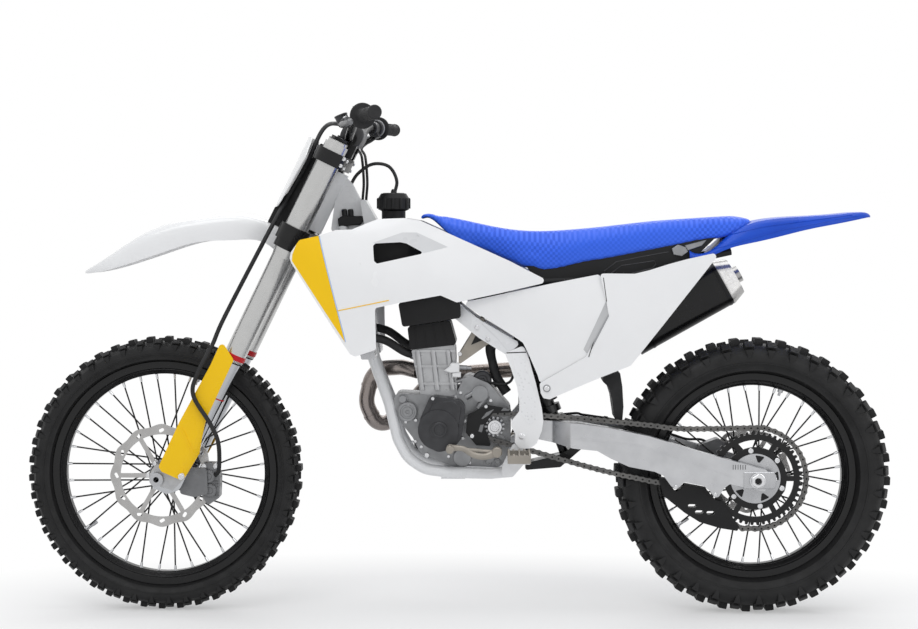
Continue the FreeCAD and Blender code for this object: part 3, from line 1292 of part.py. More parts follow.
CLUTCH_COVER_Z = 478.0
CLUTCH_COVER_RADIUS = 88.0
CLUTCH_COVER_OUTER = 104.0
CYLINDER_AHEAD = 143.0
CYLINDER_SINK = 57.0
CYLINDER_REAR = CRANKCASE_REAR + CYLINDER_AHEAD
CYLINDER_BOTTOM = CRANKCASE_BOTTOM + CRANKCASE_HEIGHT - CYLINDER_SINK
CYLINDER_LENGTH = 116.0
CYLINDER_HEIGHT = 128.0
CYLINDER = Area(CYLINDER_REAR, CYLINDER_BOTTOM, CYLINDER_LENGTH, CYLINDER_HEIGHT)
CYLINDER_SHARES = [(1.0, 0.92), (0.043, 1.0), (0.0, 0.0), (0.793, 0.0)]
CYLINDER_HALF = 50.0
JOINT_PLACE_SHARES = [0.22, 0.56, 0.86]
JOINT_HEIGHT = 6.0
JOINT_STAND = 5.0
COLUMN_FOOT_SHARES = [0.10, 0.43, 0.76]
COLUMN_LEAN_SHARE = 0.10
COLUMN_RADIUS = 7.5
COLUMN_END_SHARES = (0.12, 0.90)
HEAD_COVER_STEP = 1.0
HEAD_COVER_LAP = 12.0
HEAD_COVER_REAR = CYLINDER_REAR + HEAD_COVER_STEP
HEAD_COVER_BOTTOM = CYLINDER_BOTTOM + CYLINDER_HEIGHT - HEAD_COVER_LAP
HEAD_COVER_LENGTH = 124.0
HEAD_COVER_HEIGHT = 73.0
HEAD_COVER = Area(HEAD_COVER_REAR, HEAD_COVER_BOTTOM, HEAD_COVER_LENGTH, HEAD_COVER_HEIGHT)
HEAD_COVER_SHARES = [(1.0, 0.795), (0.137, 1.0), (0.0, 0.178), (0.944, 0.0)]
HEAD_COVER_HALF = 60.0
STAY_SHARES = [(-0.03, 0.81), (-0.55, 1.58), (-0.70, 1.05), (-0.03, 0.62)]
STAY_OUTER = 73.0


def crankcase(frame):
    """The crankcase, with the round covers and bosses that stand on its two sides."""
    body = plate(CRANKCASE.points(CRANKCASE_SHARES), -CRANKCASE_HALF, CRANKCASE_HALF, BIG_CORNER)
    bosses = []
    for table, side in ((LEFT_BOSSES, 1.0), (RIGHT_BOSSES, -1.0)):
        for u, v, radius, reach in table:
            bosses.append(cross_rod(CRANKCASE.x(u), CRANKCASE.z(v), 0, side * reach, radius))
    body = fused([body] + bosses)
    return largest(cut_in_turn(body, [frame, cylinder_core(), ignition_cover()]))


def cylinder_core():
    return plate(CYLINDER.points(CYLINDER_SHARES), -CYLINDER_HALF, CYLINDER_HALF, CORNER)


def cylinder_block():
    """The cylinder and its head, with the flanges of their joints and the bolts' columns at each side."""
    half = CYLINDER_HALF + JOINT_STAND
    wide = plate(CYLINDER.points(CYLINDER_SHARES), -half, half, CORNER)
    pieces = [cylinder_core()]
    for share in JOINT_PLACE_SHARES:
        low = CYLINDER.z(share)
        slab = block(CYLINDER.x(0), CYLINDER.x(1), -half, half, low, low + JOINT_HEIGHT)
        pieces.append(wide.common(slab))
    low, high = COLUMN_END_SHARES
    for foot in COLUMN_FOOT_SHARES:
        for side in (CYLINDER_HALF, -CYLINDER_HALF):
            pieces.append(rod(Vector(CYLINDER.x(foot), side, CYLINDER.z(low)),
                              Vector(CYLINDER.x(foot + COLUMN_LEAN_SHARE), side, CYLINDER.z(high)),
                              COLUMN_RADIUS))
    return fused(pieces)


def head_cover():
    body = plate(HEAD_COVER.points(HEAD_COVER_SHARES), -HEAD_COVER_HALF, HEAD_COVER_HALF, CORNER)
    return largest(body.cut(cylinder_core()))


def ignition_cover():
    body = plate(IGNITION_COVER.points(IGNITION_SHARES), CRANKCASE_HALF, IGNITION_OUTER, BIG_CORNER)
    boss = cross_rod(IGNITION_PLUG_X, IGNITION_PLUG_Z, CRANKCASE_HALF, IGNITION_BOSS_OUTER,
                     IGNITION_BOSS_RADIUS)
    plug = cross_rod(IGNITION_PLUG_X, IGNITION_PLUG_Z, CRANKCASE_HALF, IGNITION_PLUG_OUTER,
                     IGNITION_PLUG_RADIUS)
    return fused([body, boss, plug])


def clutch_cover():
    low, high = -CLUTCH_COVER_OUTER, -CRANKCASE_HALF
    return cross_rod(CLUTCH_COVER_X, CLUTCH_COVER_Z, low, high, CLUTCH_COVER_RADIUS)


def engine_stay(others):
    """Two plates from the cylinder head to the spars."""
    plate_body = plate(CYLINDER.points(STAY_SHARES), CYLINDER_HALF, STAY_OUTER, CORNER * HALF_SHARE)
    return both_sides(largest(plate_body.cut(others)))


SHAFT_RADIUS = 12.0
SHAFT_END = 88.0
SPROCKET_GUARD_REAR = 76.0
SPROCKET_GUARD_BOTTOM = 428.0
SPROCKET_GUARD_LENGTH = 108.0
SPROCKET_GUARD_HEIGHT = 98.0
SPROCKET_GUARD = Area(SPROCKET_GUARD_REAR, SPROCKET_GUARD_BOTTOM, SPROCKET_GUARD_LENGTH,
                      SPROCKET_GUARD_HEIGHT)
SPROCKET_GUARD_SHARES = [
    (0.0, 0.95), (0.55, 1.05), (1.0, 0.80), (1.04, 0.35), (0.80, 0.02), (0.45, 0.0), (0.62, 0.50),
    (0.42, 0.84), (0.0, 0.86),
]
SPROCKET_GUARD_INNER = 88.0
SPROCKET_GUARD_OUTER = 96.0
SPROCKET_GUARD_POST = 8.0
GUARD_POST_X_SHARE = 0.86
GUARD_POST_Z_SHARE = 0.55


def drive_sprocket():
    body = toothed_disc(Vector(DRIVE_SPROCKET_X, 0, DRIVE_SPROCKET_Z), FRONT_TEETH, CHAIN_LINE,
                        SPROCKET_THICKNESS, SEATED_GAP)
    shaft = cross_rod(DRIVE_SPROCKET_X, DRIVE_SPROCKET_Z, CRANKCASE_HALF, SHAFT_END, SHAFT_RADIUS)
    return fused([body, shaft])


def sprocket_guard():
    """An open black guard round the front of the drive sprocket, standing on the crankcase by a post."""
    body = plate(SPROCKET_GUARD.points(SPROCKET_GUARD_SHARES), SPROCKET_GUARD_INNER,
                 SPROCKET_GUARD_OUTER, CORNER * HALF_SHARE)
    post = cross_rod(SPROCKET_GUARD.x(GUARD_POST_X_SHARE), SPROCKET_GUARD.z(GUARD_POST_Z_SHARE),
                     CRANKCASE_HALF, SPROCKET_GUARD_OUTER, SPROCKET_GUARD_POST)
    return fused([body, post])


GEAR_SHAFT_X = 111.0
GEAR_SHAFT_Z = 418.0
GEAR_SHAFT_RADIUS = 6.0
GEAR_ARM_Y = 136.0
GEAR_TIP_X = 226.0
GEAR_TIP_Z = 428.0
GEAR_PEDAL_START = 130.0
GEAR_PEDAL_END = 178.0
PEDAL_RADIUS = 8.0
PEDAL_ARM_RADIUS = 5.0
BRAKE_PIVOT_X = 66.0
BRAKE_PIVOT_Z = 374.0
BRAKE_ARM_Y = -134.0
BRAKE_TIP_X = 240.0
BRAKE_TIP_Z = 404.0
BRAKE_PEDAL_WIDTH = 46.0


def gear_lever():
    shaft = cross_rod(GEAR_SHAFT_X, GEAR_SHAFT_Z, CRANKCASE_HALF, GEAR_ARM_Y + GEAR_SHAFT_RADIUS,
                      GEAR_SHAFT_RADIUS)
    arm = rod(Vector(GEAR_SHAFT_X, GEAR_ARM_Y, GEAR_SHAFT_Z), Vector(GEAR_TIP_X, GEAR_ARM_Y, GEAR_TIP_Z),
              PEDAL_ARM_RADIUS)
    pedal = cross_rod(GEAR_TIP_X, GEAR_TIP_Z, GEAR_PEDAL_START, GEAR_PEDAL_END, PEDAL_RADIUS)
    return fused([shaft, arm, pedal])


def brake_pedal(frame):
    pivot = cross_rod(BRAKE_PIVOT_X, BRAKE_PIVOT_Z, BRAKE_ARM_Y - PEDAL_RADIUS, -UPRIGHT_OUTER,
                      PEDAL_RADIUS)
    arm = rod(Vector(BRAKE_PIVOT_X, BRAKE_ARM_Y, BRAKE_PIVOT_Z),
              Vector(BRAKE_TIP_X, BRAKE_ARM_Y, BRAKE_TIP_Z), PEDAL_ARM_RADIUS)
    pedal = cross_rod(BRAKE_TIP_X, BRAKE_TIP_Z, BRAKE_ARM_Y - BRAKE_PEDAL_WIDTH * HALF_SHARE,
                      BRAKE_ARM_Y + BRAKE_PEDAL_WIDTH * HALF_SHARE, PEDAL_RADIUS)
    return fused([pivot, arm, pedal]).cut(frame)


EXHAUST_RADIUS = 20.0
EXHAUST_BEND = 58.0
EXHAUST_REACH = 124.0
EXHAUST_DROP = 97.0
EXHAUST_SHARES = [
    (0.783, 0.16, 0.726), (0.849, 0.296, 0.764), (0.969, 0.543, 0.726), (1.0, 0.494, 0.321),
    (0.953, 0.58, 0.0), (0.858, 0.753, 0.151), (0.717, 0.84, 0.632), (0.418, 0.84, 0.698),
    (0.119, 0.877, 0.797), (0.0, 1.0, 1.0),
]
SILENCER_Y = -162.0
SILENCER_FRONT_X = -237.0
SILENCER_FRONT_BELOW_SEAT = 265.0
SILENCER_FRONT_Z = SEAT_HEIGHT - SILENCER_FRONT_BELOW_SEAT
SILENCER_REAR_X = -478.0
SILENCER_REAR_BELOW_SEAT = 129.0
SILENCER_REAR_Z = SEAT_HEIGHT - SILENCER_REAR_BELOW_SEAT
SILENCER_HALF_HEIGHT = 61.0
SILENCER_HALF_WIDTH = 44.0
SILENCER_CORNER = 26.0
SILENCER_CONE = 58.0
SILENCER_CAP = 34.0
SILENCER_CAP_SHARE = 0.80
SILENCER_OUTLET_RADIUS = 22.0
SILENCER_STUB = 14.0


def silencer_frame():
    front = Vector(SILENCER_FRONT_X, SILENCER_Y, SILENCER_FRONT_Z)
    rear = Vector(SILENCER_REAR_X, SILENCER_Y, SILENCER_REAR_Z)
    along = (rear - front).normalize()
    return front, rear, along, Vector(-along.z, 0, along.x)


def silencer_section(centre, across, grow=1.0, extra=0.0):
    half_h = SILENCER_HALF_HEIGHT * grow + extra
    half_w = SILENCER_HALF_WIDTH * grow + extra
    corners = [(-half_w, -half_h), (half_w, -half_h), (half_w, half_h), (-half_w, half_h)]
    return outline(corners, SILENCER_CORNER, lambda y, s: centre + LEFT * y + across * s)


def silencer_room(extra):
    front, rear, along, across = silencer_frame()
    face = Part.Face(silencer_section(front - along * SILENCER_CONE, across, 1.0, extra))
    return face.extrude(along * ((rear - front).Length + SILENCER_CONE + SILENCER_CAP + extra))


def silencer():
    """A canister with a cone in front and an angular cap with an outlet behind."""
    front, rear, along, across = silencer_frame()
    can = Part.Face(silencer_section(front, across)).extrude(rear - front)
    small = Part.Wire([Part.Circle(front - along * SILENCER_CONE, along, EXHAUST_RADIUS).toShape()])
    cone = Part.makeLoft([small, silencer_section(front, across, SILENCER_CAP_SHARE)], True, True)
    cap = Part.makeLoft([silencer_section(rear, across), silencer_section(
        rear + along * SILENCER_CAP, across, SILENCER_CAP_SHARE)], True, True)
    outlet = rod(rear + along * SILENCER_CAP, rear + along * (SILENCER_CAP + SILENCER_STUB),
                 SILENCER_OUTLET_RADIUS)
    return fused([can, cone, cap, outlet])


SILENCER_STRAP_X = -330.0
SILENCER_STRAP_Z = 800.0
SILENCER_STRAP_RADIUS = 7.0


def exhaust_run(radius):
    """The pipe's run from the cylinder round the right downtube and back to the silencer."""
    front, _, along, _ = silencer_frame()
    inlet = front - along * SILENCER_CONE
    bottom = CYLINDER.bottom - EXHAUST_DROP
    area = Area(inlet.x, bottom, CYLINDER.x(1) + EXHAUST_REACH - inlet.x, inlet.z - bottom)
    path = [Vector(area.x(u), w * SILENCER_Y, area.z(v)) for u, w, v in EXHAUST_SHARES]
    return tube(path, radius, EXHAUST_BEND)


def exhaust_pipe(others):
    return largest(cut_in_turn(exhaust_run(EXHAUST_RADIUS), others))


# Rear suspension

SWINGARM_BEHIND_AXLE = 40.0
SWINGARM_BELOW_AXLE = 43.0
SWINGARM_AHEAD_OF_PIVOT = 24.0
SWINGARM_ABOVE_PIVOT = 26.0
SWINGARM_REAR = REAR_AXLE.x - SWINGARM_BEHIND_AXLE
SWINGARM_BOTTOM = REAR_AXLE.z - SWINGARM_BELOW_AXLE
SWINGARM_LENGTH = PIVOT_X + SWINGARM_AHEAD_OF_PIVOT - SWINGARM_REAR
SWINGARM_HEIGHT = PIVOT_Z + SWINGARM_ABOVE_PIVOT - SWINGARM_BOTTOM
SWINGARM = Area(SWINGARM_REAR, SWINGARM_BOTTOM, SWINGARM_LENGTH, SWINGARM_HEIGHT)
SWINGARM_SHARES = [
    (1.0, 0.90), (0.94, 0.985), (0.765, 0.958), (0.649, 0.905), (0.49, 0.80), (0.296, 0.605),
    (0.099, 0.426), (0.029, 0.363), (0.0, 0.268), (0.035, 0.08), (0.099, 0.126), (0.173, 0.179),
    (0.196, 0.116), (0.216, 0.011), (0.232, 0.0), (0.248, 0.08), (0.275, 0.153), (0.353, 0.205),
    (0.369, 0.142), (0.385, 0.105), (0.404, 0.153), (0.433, 0.284), (0.468, 0.337), (0.569, 0.40),
    (0.641, 0.505), (0.695, 0.605), (0.786, 0.632), (0.843, 0.674), (0.94, 0.74), (1.0, 0.80),
]
SWINGARM_PLAN_SHARES = [
    (1.0, 0.42), (1.0, 0.62), (0.87, 0.62), (0.80, 0.95), (0.55, 1.0), (0.0, 1.0), (0.0, 0.776),
    (0.50, 0.776), (0.66, 0.64), (0.80, 0.45),
]
SWINGARM_OUTER = 116.0
CROSS_BEAM_REAR = -132.0
CROSS_BEAM_LENGTH = 42.0
CROSS_BEAM_BOTTOM = 418.0
CROSS_BEAM_HEIGHT = 46.0
CROSS_BEAM_HALF = 72.0
PIVOT_BOSS_RADIUS = 15.0
PIVOT_BOSS_HALF = 88.0


def swingarm():
    """Two tapered arms joined ahead of the tyre, bored for the rear axle."""
    plan_points = [(SWINGARM.x(u), w * SWINGARM_OUTER) for u, w in SWINGARM_PLAN_SHARES]
    arm = hull(SWINGARM.points(SWINGARM_SHARES), plan_points, CORNER, CORNER)
    beam = block(CROSS_BEAM_REAR, CROSS_BEAM_REAR + CROSS_BEAM_LENGTH, -CROSS_BEAM_HALF, CROSS_BEAM_HALF,
                 CROSS_BEAM_BOTTOM, CROSS_BEAM_BOTTOM + CROSS_BEAM_HEIGHT)
    boss = cross_rod(PIVOT_X, PIVOT_Z, -PIVOT_BOSS_HALF, PIVOT_BOSS_HALF, PIVOT_BOSS_RADIUS)
    whole = fused([arm, mirrored(arm), beam, boss])
    bore = rod(REAR_AXLE - LEFT * (2 * SWINGARM_OUTER), REAR_AXLE + LEFT * (2 * SWINGARM_OUTER),
               REAR_AXLE_RADIUS)
    return largest(whole.cut(bore))


REAR_AXLE_HALF_LENGTH = 118.0
CHAIN_GUIDE_AHEAD_OF_AXLE = 40.0
CHAIN_GUIDE_BELOW_AXLE = 130.0
CHAIN_GUIDE_REAR = REAR_AXLE.x + CHAIN_GUIDE_AHEAD_OF_AXLE
CHAIN_GUIDE_BOTTOM = REAR_AXLE.z - CHAIN_GUIDE_BELOW_AXLE
CHAIN_GUIDE_LENGTH = 206.0
CHAIN_GUIDE_HEIGHT = 134.0
CHAIN_GUIDE = Area(CHAIN_GUIDE_REAR, CHAIN_GUIDE_BOTTOM, CHAIN_GUIDE_LENGTH, CHAIN_GUIDE_HEIGHT)
CHAIN_GUIDE_SHARES = [
    (0.985, 1.0), (0.864, 0.963), (0.806, 0.799), (0.772, 0.724), (0.709, 0.776), (0.66, 0.873),
    (0.408, 0.799), (0.335, 0.649), (0.286, 0.575), (0.214, 0.552), (0.0, 0.075), (0.024, 0.0),
    (0.238, 0.052), (0.481, 0.164), (0.66, 0.336), (0.806, 0.515), (0.913, 0.649),
]
GUIDE_SLOT_SHARES = [(0.571, 0.463), (0.485, 0.349), (0.348, 0.335)]
SLOT_SHARES = [(-0.5, -0.5), (0.5, -0.5), (0.5, 0.5), (-0.5, 0.5)]
GUIDE_SLOT_LENGTH = 20.0
GUIDE_SLOT_HEIGHT = 9.0
GUIDE_CHANNEL_HALF = 12.0
GUIDE_INNER = 63.0
GUIDE_OUTER = 90.0
GUIDE_CHANNEL_HALF_WIDTH = 10.0


def chain_guide():
    """A guide round the chain's lower run, bolted inside the left arm."""
    body = plate(CHAIN_GUIDE.points(CHAIN_GUIDE_SHARES), GUIDE_INNER, GUIDE_OUTER, CORNER * HALF_SHARE)
    channel = chain_band(GUIDE_CHANNEL_HALF, GUIDE_CHANNEL_HALF, GUIDE_CHANNEL_HALF_WIDTH)
    low, high = CHAIN_LINE - GUIDE_CHANNEL_HALF_WIDTH, CHAIN_LINE + GUIDE_CHANNEL_HALF_WIDTH
    sprocket_room = rod(REAR_AXLE + LEFT * low, REAR_AXLE + LEFT * high, pitch_radius(REAR_TEETH))
    slots = []
    for u, v in GUIDE_SLOT_SHARES:
        slot = Area(CHAIN_GUIDE.x(u), CHAIN_GUIDE.z(v), GUIDE_SLOT_LENGTH, GUIDE_SLOT_HEIGHT)
        slots.append(plate(slot.points(SLOT_SHARES), GUIDE_INNER, GUIDE_OUTER,
                           GUIDE_SLOT_HEIGHT * HALF_SHARE * ROUND_END_SHARE))
    return largest(body.cut([channel, sprocket_room] + slots))


SHOCK_TOP_X = 52.0
SHOCK_TOP_Z = 700.0
SHOCK_FOOT_X = -62.0
SHOCK_FOOT_Z = 392.0
SHOCK_BODY_RADIUS = 22.0
SHOCK_SPRING_RADIUS = 33.0
SHOCK_COILS = 7
SHOCK_SPRING_LOW_SHARE = 0.18
SHOCK_SPRING_HIGH_SHARE = 0.80
SHOCK_EYE_HALF = 14.0
COIL_SHARE = 0.62


def shock_absorber(others):
    """A damper with its spring as stacked rings."""
    top, foot = Vector(SHOCK_TOP_X, 0, SHOCK_TOP_Z), Vector(SHOCK_FOOT_X, 0, SHOCK_FOOT_Z)
    axis = top - foot
    length = axis.Length
    low, high = SHOCK_SPRING_LOW_SHARE * length, SHOCK_SPRING_HIGH_SHARE * length
    step = (high - low) / SHOCK_COILS
    profile = [(0, 0), (SHOCK_BODY_RADIUS * HALF_SHARE, 0), (SHOCK_BODY_RADIUS * HALF_SHARE, low)]
    for i in range(SHOCK_COILS):
        start = low + i * step
        profile += [(SHOCK_SPRING_RADIUS, start), (SHOCK_SPRING_RADIUS, start + step * COIL_SHARE),
                    (SHOCK_BODY_RADIUS, start + step * COIL_SHARE), (SHOCK_BODY_RADIUS, start + step)]
    profile += [(SHOCK_BODY_RADIUS, length), (0, length)]
    body = turned(profile, foot, axis)
    eyes = [
        cross_rod(point.x, point.z, -SHOCK_EYE_HALF, SHOCK_EYE_HALF, SHOCK_BODY_RADIUS * COIL_SHARE)
        for point in (top, foot)
    ]
    return largest(fused([body] + eyes).cut(others))


LINKAGE_REAR = -110.0
LINKAGE_BOTTOM = 352.0
LINKAGE_LENGTH = 152.0
LINKAGE_HEIGHT = 76.0
LINKAGE = Area(LINKAGE_REAR, LINKAGE_BOTTOM, LINKAGE_LENGTH, LINKAGE_HEIGHT)
LINKAGE_SHARES = [(0.0, 0.90), (0.10, 1.0), (0.40, 0.62), (0.96, 0.34), (1.0, 0.10), (0.40, 0.20)]
LINKAGE_HALF = 30.0


def shock_linkage(others):
    """The rocker under the shock absorber, from the swingarm's beam to the frame's lower cross tube."""
    body = plate(LINKAGE.points(LINKAGE_SHARES), -LINKAGE_HALF, LINKAGE_HALF, CORNER)
    return largest(body.cut(others))


REAR_CALIPER_AHEAD_OF_AXLE = 52.0
REAR_CALIPER_ABOVE_AXLE = 25.0
REAR_CALIPER_REAR = REAR_AXLE.x + REAR_CALIPER_AHEAD_OF_AXLE
REAR_CALIPER_BOTTOM = REAR_AXLE.z + REAR_CALIPER_ABOVE_AXLE
REAR_CALIPER_LENGTH = 84.0
REAR_CALIPER_HEIGHT = 60.0
REAR_CALIPER = Area(REAR_CALIPER_REAR, REAR_CALIPER_BOTTOM, REAR_CALIPER_LENGTH, REAR_CALIPER_HEIGHT)
REAR_CALIPER_SHARES = [(0.0, 0.70), (0.30, 1.0), (0.85, 0.72), (1.0, 0.30), (0.90, 0.0), (0.30, 0.0)]
REAR_CALIPER_OUTER = -90.0
REAR_CALIPER_INNER = -50.0


def rear_caliper():
    """The caliper astride the rear disc, on the right arm's inner face."""
    body = plate(REAR_CALIPER.points(REAR_CALIPER_SHARES), REAR_CALIPER_OUTER, REAR_CALIPER_INNER, CORNER)
    return largest(body.cut(disc_room(REAR_AXLE, REAR_DISC_RADIUS, REAR_DISC_PLACE)))


# Subframe, seat and bodywork

RAIL_RADIUS = 10.0
RAIL_BEND = 60.0
RAILS_REAR = -470.0
RAILS_BELOW_SEAT = 285.0
RAILS_BOTTOM = SEAT_HEIGHT - RAILS_BELOW_SEAT
RAILS_LENGTH = 635.0
RAILS_HEIGHT = 240.0
RAILS_HALF_WIDTH = 84.0
UPPER_RAIL_SHARES = [
    (1.0, 1.0, 0.471), (0.835, 0.786, 0.667), (0.598, 0.714, 0.70), (0.126, 0.69, 0.929),
    (0.0, 0.619, 1.0),
]
LOWER_RAIL_SHARES = [(0.844, 0.976, 0.0), (0.646, 0.786, 0.283), (0.189, 0.714, 0.833)]
RAIL_POST_RADIUS = 8.5
RAIL_TIE_SHARE = 0.62


def rail_points(shares):
    return [
        Vector(RAILS_REAR + u * RAILS_LENGTH, w * RAILS_HALF_WIDTH, RAILS_BOTTOM + v * RAILS_HEIGHT)
        for u, w, v in shares
    ]


def subframe(others):
    """Two upper rails and two struts, tied across, from the spars to the rear fender."""
    upper, lower = rail_points(UPPER_RAIL_SHARES), rail_points(LOWER_RAIL_SHARES)
    pieces = both_sides(tube(upper, RAIL_RADIUS, RAIL_BEND))
    pieces += both_sides(tube(lower, RAIL_RADIUS, RAIL_BEND))
    foot = lower[-1]
    for point, radius in ((upper[2], RAIL_RADIUS * RAIL_TIE_SHARE), (upper[3], RAIL_RADIUS * RAIL_TIE_SHARE),
                          (foot, RAIL_POST_RADIUS)):
        pieces.append(cross_rod(point.x, point.z, -point.y, point.y, radius))
    for post in both_sides(rod(foot, foot + UP * (2 * RAIL_RADIUS), RAIL_POST_RADIUS)):
        pieces.append(post)
    pieces.append(cross_rod(SILENCER_STRAP_X, SILENCER_STRAP_Z, SILENCER_Y + SILENCER_HALF_WIDTH,
                            RAIL_RADIUS - foot.y, SILENCER_STRAP_RADIUS))
    pieces.append(rod(Vector(SILENCER_STRAP_X, -foot.y, SILENCER_STRAP_Z),
                      Vector(SILENCER_STRAP_X, -foot.y, foot.z), RAIL_POST_RADIUS))
    return largest(fused(pieces).cut(others))


AIRBOX_REAR = -165.0
AIRBOX_BELOW_SEAT = 367.0
AIRBOX_BOTTOM = SEAT_HEIGHT - AIRBOX_BELOW_SEAT
AIRBOX_LENGTH = 215.0
AIRBOX_HEIGHT = 255.0
AIRBOX = Area(AIRBOX_REAR, AIRBOX_BOTTOM, AIRBOX_LENGTH, AIRBOX_HEIGHT)
AIRBOX_SHARES = [
    (0.04, 0.95), (0.50, 0.90), (0.98, 0.78), (0.80, 0.52), (0.42, 0.42), (0.02, 0.0), (0.0, 0.40),
]
AIRBOX_HALF = 50.0


def airbox(others):
    body = plate(AIRBOX.points(AIRBOX_SHARES), -AIRBOX_HALF, AIRBOX_HALF, CORNER)
    return largest(body.cut(others))


SEAT_REAR = -522.0
SEAT_LENGTH = 825.0
SEAT_DEPTH = 95.0
SEAT_HALF_WIDTH = 86.0
SEAT_STATION_SHARES = [1.0, 0.912, 0.819, 0.727, 0.633, 0.542, 0.452, 0.299, 0.145, 0.039, 0.0]
SEAT_TOP_SHARES = [0.48, 0.37, 0.20, 0.05, 0.0, 0.04, 0.11, 0.26, 0.36, 0.41, 0.39]
SEAT_LOW_SHARES = [0.37, -0.01, -0.38, -0.73, -1.0, -0.85, -0.69, -0.43, -0.16, 0.05, 0.26]
SEAT_WIDTH_SHARES = [0.51, 0.63, 0.70, 0.77, 0.86, 0.93, 0.98, 1.0, 0.95, 0.84, 0.60]
SEAT_CROWN_SHARES = [(1.0, 0.0), (1.01, 0.40), (0.94, 0.78), (0.70, 0.955), (0.0, 1.0)]


def seat():
    """A long seat, crowned across, whose lower edge dips towards the middle."""
    sections = []
    for place, top, low, width in zip(SEAT_STATION_SHARES, SEAT_TOP_SHARES, SEAT_LOW_SHARES,
                                      SEAT_WIDTH_SHARES):
        x = SEAT_REAR + place * SEAT_LENGTH
        side = [
            (u * width * SEAT_HALF_WIDTH, SEAT_HEIGHT + (low + v * (top - low)) * SEAT_DEPTH)
            for u, v in SEAT_CROWN_SHARES
        ]
        points = [Vector(x, y, z) for y, z in side]
        points += [Vector(x, -y, z) for y, z in reversed(side[:-1])]
        sections.append(ring_section(points))
    return Part.makeLoft(sections, True, False)


REAR_FENDER_REAR = -818.0
REAR_FENDER_BELOW_SEAT = 64.0
REAR_FENDER_BOTTOM = SEAT_HEIGHT - REAR_FENDER_BELOW_SEAT
REAR_FENDER_LENGTH = 453.0
REAR_FENDER_HEIGHT = 113.0
REAR_FENDER_HALF_WIDTH = 87.0
REAR_FENDER_STATION_SHARES = [1.0, 0.812, 0.64, 0.503, 0.362, 0.194, 0.055, 0.0]
REAR_FENDER_TOP_SHARES = [0.17, 0.40, 0.81, 0.89, 0.92, 0.96, 1.0, 0.94]
REAR_FENDER_EDGE_SHARES = [0.0, 0.19, 0.37, 0.50, 0.64, 0.77, 0.88, 0.91]
REAR_FENDER_WIDTH_SHARES = [0.97, 0.99, 1.0, 1.0, 0.97, 0.87, 0.67, 0.39]


def rear_fender(others):
    sections = [
        arched_section(REAR_FENDER_REAR + u * REAR_FENDER_LENGTH,
                       REAR_FENDER_BOTTOM + top * REAR_FENDER_HEIGHT,
                       REAR_FENDER_BOTTOM + edge * REAR_FENDER_HEIGHT, w * REAR_FENDER_HALF_WIDTH,
                       FENDER_WALL)
        for u, top, edge, w in zip(REAR_FENDER_STATION_SHARES, REAR_FENDER_TOP_SHARES,
                                   REAR_FENDER_EDGE_SHARES, REAR_FENDER_WIDTH_SHARES)
    ]
    arch = Part.makeLoft(sections, True, False)
    return largest(arch.cut(others))


TANK_REAR = 238.0
TANK_BELOW_HEAD = 239.1
TANK_BOTTOM = HEAD.z - TANK_BELOW_HEAD
TANK_LENGTH = 214.0
TANK_HEIGHT = 186.0
TANK_HALF_WIDTH = 92.0
TANK_SHARES = [
    (0.0, 0.70), (0.336, 0.989), (0.85, 1.0), (1.0, 0.86), (1.0, 0.538), (0.757, 0.269), (0.29, 0.0),
    (0.0, 0.054),
]
TANK_PLAN_SHARES = [(-0.06, 0.67), (0.43, 1.0), (1.04, 1.0), (1.04, -1.0), (0.43, -1.0), (-0.06, -0.67)]
FILLER_X = 372.0
FILLER_NECK_RADIUS = 30.0
FILLER_CAP_RADIUS = 39.0
FILLER_HEIGHT = 70.0
FILLER_PROFILE_SHARES = [(0.77, 0.37), (1.0, 0.43), (1.0, 0.83), (0.82, 1.0)]


def fuel_tank(others):
    area = Area(TANK_REAR, TANK_BOTTOM, TANK_LENGTH, TANK_HEIGHT)
    plan_points = [(area.x(u), w * TANK_HALF_WIDTH) for u, w in TANK_PLAN_SHARES]
    body = hull(area.points(TANK_SHARES), plan_points)
    return largest(body.cut(others))


def filler_cap():
    profile = [(0, 0), (FILLER_NECK_RADIUS, 0)]
    profile += [(u * FILLER_CAP_RADIUS, v * FILLER_HEIGHT) for u, v in FILLER_PROFILE_SHARES]
    profile.append((0, FILLER_HEIGHT))
    return turned(profile, Vector(FILLER_X, 0, TANK_BOTTOM + TANK_HEIGHT), UP)


VENT_HOSE = [
    (372.0, 0.0, 1050.0), (364.0, 0.0, 1088.0), (384.0, 0.0, 1124.0), (425.0, 0.0, 1130.0),
    (462.0, 0.0, 1106.0), (482.0, 0.0, 1075.0),
]
VENT_HOSE_RADIUS = 4.0

SHROUD_REAR = -19.0
SHROUD_BELOW_SEAT = 299.0
SHROUD_BOTTOM = SEAT_HEIGHT - SHROUD_BELOW_SEAT
SHROUD_LENGTH = 629.0
SHROUD_HEIGHT = 336.0
SHROUD = Area(SHROUD_REAR, SHROUD_BOTTOM, SHROUD_LENGTH, SHROUD_HEIGHT)
SHROUD_SHARES = [
    (0.964, 0.841), (0.897, 0.87), (0.83, 0.913), (0.77, 0.916), (0.702, 0.971), (0.671, 0.993),
    (0.571, 1.0), (0.509, 0.982), (0.313, 0.817), (0.157, 0.685), (0.0, 0.534), (0.196, 0.45),
    (0.364, 0.385), (0.426, 0.437), (0.591, 0.383), (0.678, 0.349), (0.674, 0.047), (0.753, 0.0),
    (0.772, 0.015), (0.798, 0.088), (0.994, 0.677), (1.0, 0.713), (0.995, 0.756),
]
SHROUD_HALF_WIDTH = 228.0
SHROUD_X_SHARES = [-0.03, 0.22, 0.48, 0.71, 1.03]
SHROUD_Z_SHARES = [-0.05, 0.30, 0.66, 0.90, 1.05]
